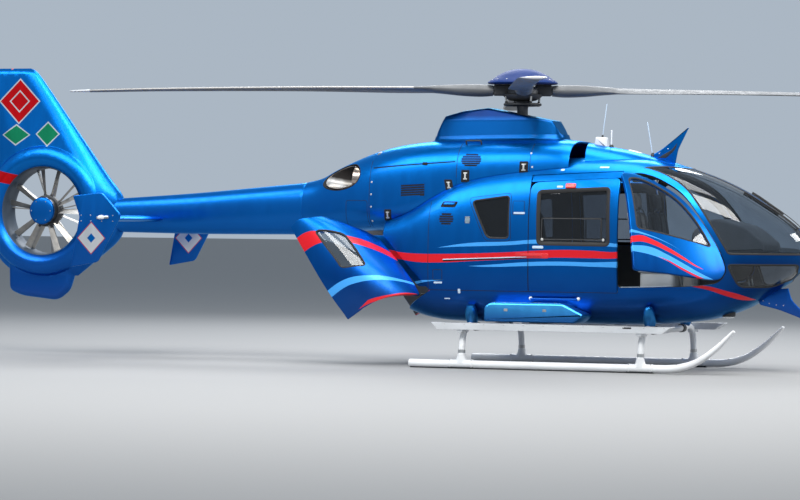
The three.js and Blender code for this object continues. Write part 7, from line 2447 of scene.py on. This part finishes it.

# Sliding window fittings: an inner sliding frame, with a catch at each lower corner.
# Black plastic and pressed metal, clipped into the door's rubber frame.
slide_edge = closed(rounded([[512, 1440, 20], [512, 1672, 20], [1201, 1672, 20], [1201, 1440, 20]],
                            step=0.02))
for hand, side in sides:
    forms = [laid_strip(0, POD, slide_edge, 0.014, -0.0135, -0.006, side)]
    for x in (0.520, 1.226):
        forms.append(laid_plate(1, POD, leaning((x, 1.436), (0.030, 0.030), 0.0, 14), -0.012, 0.002, side,
                                0.003))
    gathered(f"window_slide_{hand}", forms, [black_plastic, fitting_metal], slot="black_plastic")

# Roof fittings: a white aerial box with a whip, two thin rods, a flat plate aerial, and a grab rail at the
# mast fairing's foot. Moulded plastic and steel, bolted through the fairing and the cowling.
AERIAL_BOX = rounded([[868, 2474, 4], [1020, 2456, 4], [1006, 2580, 14], [884, 2584, 14]])
PLATE_AERIAL = rounded([[1270, 2424, 4], [1410, 2388, 4], [1408, 2408, 8], [1276, 2444, 8]])
roof_forms = [
    upright(0, AERIAL_BOX, -0.050, 0.050, edge=0.014),
    rod(1, (0.950, 0, 2.570), (1.000, 0, 2.955), 0.0045),
    rod(2, (0.949, 0, 2.565), (0.954, 0, 2.610), 0.011),
    rod(0, (1.058, 0, 2.440), (1.058, 0, 2.662), 0.0075),
    lathed(2, [(0, 2.440), (0.026, 2.440), (0.024, 2.485), (0.014, 2.500), (0, 2.500)], (1.058, 0, 0), UP,
           20),
    rod(1, (1.545, 0, 2.350), (1.475, 0, 2.752), 0.0050),
    lathed(2, [(0, 2.340), (0.026, 2.340), (0.024, 2.385), (0.012, 2.410), (0, 2.410)], (1.541, 0, 0), UP,
           20),
    upright(0, PLATE_AERIAL, -0.055, 0.055, edge=0.008),
]
for side in (-1, 1):
    rail_at, rail_out = flank(DECK, [(-0.513, 2.490), (-0.333, 2.492)], side)
    rail_top = rail_at + rail_out * 0.045
    roof_forms.append(rod(2, rail_top[0], rail_top[1], 0.0085))
    for foot, head in zip(rail_at, rail_top):
        roof_forms.append(rod(2, foot - [0, 0, 0.01], head, 0.0085))
gathered("roof_fittings", roof_forms, [white_paint, pale_strip, black_plastic], slot="white_paint")

# Wipers: black arms from the windshields' feet that lie up along the glass, each with a rubber blade.
# Painted steel, pivoted on studs in the nose frame.
wiper_forms = []
for side in (-1, 1):
    path_x = np.linspace(3.215, 2.640, 30)
    angle = angle_at_width(POD, path_x, 0.060 + 0.10 * (3.215 - path_x) / 0.575)
    table, maps = flat_map(POD, [np.stack([path_x, angle], 1)])
    at, normal = lift(POD, table, maps[0])
    at, normal = (at - [MAST, 0, 0]) * [1, side, 1], normal * [1, side, 1]
    arm = at + normal * 0.018
    ways = ways_along(arm)
    reach = np.full(30, 0.007)
    blade_line, blade_reach = (at + normal * 0.006)[10:], reach[10:]
    foot = at[0] + normal[0] * 0.004
    wiper_forms += [
        (*form_through(run_rings(arm, ways, reach, reach * 0.7, (0, 1, 0), around=12)), 0),
        (*form_through(run_rings(blade_line, ways[10:], blade_reach * 0.6, blade_reach * 1.3, (0, 1, 0),
                                 around=12)), 1),
        rod(0, foot - [0, 0, 0.006], foot + normal[0] * 0.020, 0.013),
    ]
gathered("wipers", wiper_forms, [dark_steel, black_rubber], slot="black_plastic")

# Belly fittings: a rail low on each flank, a landing lamp under the nose, and two small
# aerials.
belly_forms = []
for side in (-1, 1):
    ends, out = flank(POD, [(0.386, 0.790), (0.940, 0.790)], side)
    ends = ends + out * 0.034
    belly_forms.append(rod(0, ends[0], ends[1], 0.013))
    for end, way in zip(ends, out):
        belly_forms.append(rod(1, end - way * 0.040, end + way * 0.006, 0.020))
LAMP_CUP = [(0, -0.02), (0.070, -0.02), (0.078, 0.0), (0.076, 0.060), (0.060, 0.085), (0, 0.085)]
LAMP_GLASS = [(0, 0.0), (0.066, 0.0), (0.060, 0.010), (0.030, 0.020), (0, 0.022)]
FRONT_AERIAL = rounded([[1262, 506, 4], [1392, 506, 4], [1372, 452, 10], [1300, 440, 14]])
BACK_AERIAL = rounded([[1000, 506, 4], [1120, 506, 4], [1085, 445, 20], [1030, 430, 20]])
belly_forms += [
    lathed(2, LAMP_CUP, (2.465, -0.10, 0.628), UP, 32),
    lathed(4, LAMP_GLASS, (2.465, -0.10, 0.610), (0, 0, -1), 32),
    upright(1, FRONT_AERIAL, -0.412, -0.388, edge=0.008),
    upright(1, BACK_AERIAL, -0.010, 0.010, edge=0.007),
]
gathered("belly_fittings", belly_forms, [blue_paint, white_paint, black_plastic, dark_steel, white_lens],
         slot="grey_metal")

# Engines and gearbox: two small turbine engines side by side under the cowlings, each bolted to the rotor
# gearbox ahead of it. Steel casings with a flanged joint between each pair, oil and fuel pipes, and black
# accessories.
casing = finish_of("engine_casing", (0.36, 0.34, 0.31), 0.42, metal=0.9, cloud=9.0, grain=420.0, bump=0.25,
                   tone=0.3)
gear_casting = finish_of("gear_casting", (0.24, 0.25, 0.25), 0.55, metal=0.5, cloud=7.0, grain=380.0,
                         bump=0.4, tone=0.2)
ENGINE_LINE = (0.235, 2.295)
# radius, x from the mast
ENGINE = [(0, -1.630), (0.106, -1.630), (0.112, -1.615), (0.112, -1.400), (0.122, -1.396), (0.122, -1.380),
          (0.096, -1.370), (0.104, -1.250), (0.122, -1.235), (0.124, -1.060), (0.122, -0.960),
          (0.104, -0.940), (0.092, -0.880), (0.092, -0.800), (0.116, -0.796), (0.116, -0.778),
          (0.084, -0.770), (0.078, -0.620), (0.098, -0.540),
          (0.104, -0.500), (0.104, -0.432), (0, -0.432)]
engine_forms = []
for side in (-1, 1):
    middle = (0, side * ENGINE_LINE[0], ENGINE_LINE[1])
    engine_forms.append(lathed(0, ENGINE, middle, (1, 0, 0), 56))
    for front, rear, inner, outer, low, high in ((-0.72, -0.52, 0.255, 0.405, 2.185, 2.285),
                                                 (-1.18, -0.99, 0.330, 0.415, 2.300, 2.400)):
        box = rounded([[rear * 1000, side * inner * 1000, 18], [front * 1000, side * inner * 1000, 18],
                       [front * 1000, side * outer * 1000, 18], [rear * 1000, side * outer * 1000, 18]])
        engine_forms.append(plate(2, box, low, high, 0.010))
    for turn in np.radians([20, 65, 110, 160]):
        spoke = np.array([0, side * np.cos(turn), np.sin(turn)])
        at = np.array(middle)
        engine_forms.append(rod(3, at + spoke * 0.115 - [1.37, 0, 0], at + spoke * 0.117 - [0.80, 0, 0],
                                0.006))
gear_plan = rounded([[-428, -215, 60], [150, -255, 70], [255, -150, 60], [255, 150, 60], [150, 255, 70],
                     [-428, 215, 60]])
engine_forms += [
    plate(1, gear_plan, 2.3585, 2.442, 0.012),
    lathed(1, [(0, 2.430), (0.212, 2.430), (0.216, 2.446), (0.205, 2.452), (0.150, 2.470), (0.132, 2.498),
               (0, 2.498)], (0, 0, 0), UP, 72),
]
for turn in np.radians(np.arange(0, 360, 30)):
    at = np.array([0.190 * np.cos(turn), 0.190 * np.sin(turn), 2.448])
    engine_forms.append(rod(3, at, at + [0, 0, 0.016], 0.009))
engine_forms.append(lathed(1, [(0, -0.048), (0.070, -0.048), (0.074, 0), (0.070, 0.048), (0, 0.048)],
                           (-1.00, 0, 2.290), (0, 1, 0), 40))
gathered("engine_block", engine_forms, [casing, gear_casting, black_plastic, bare_metal], slot="dark_steel",
         nodes=["engine_block"])
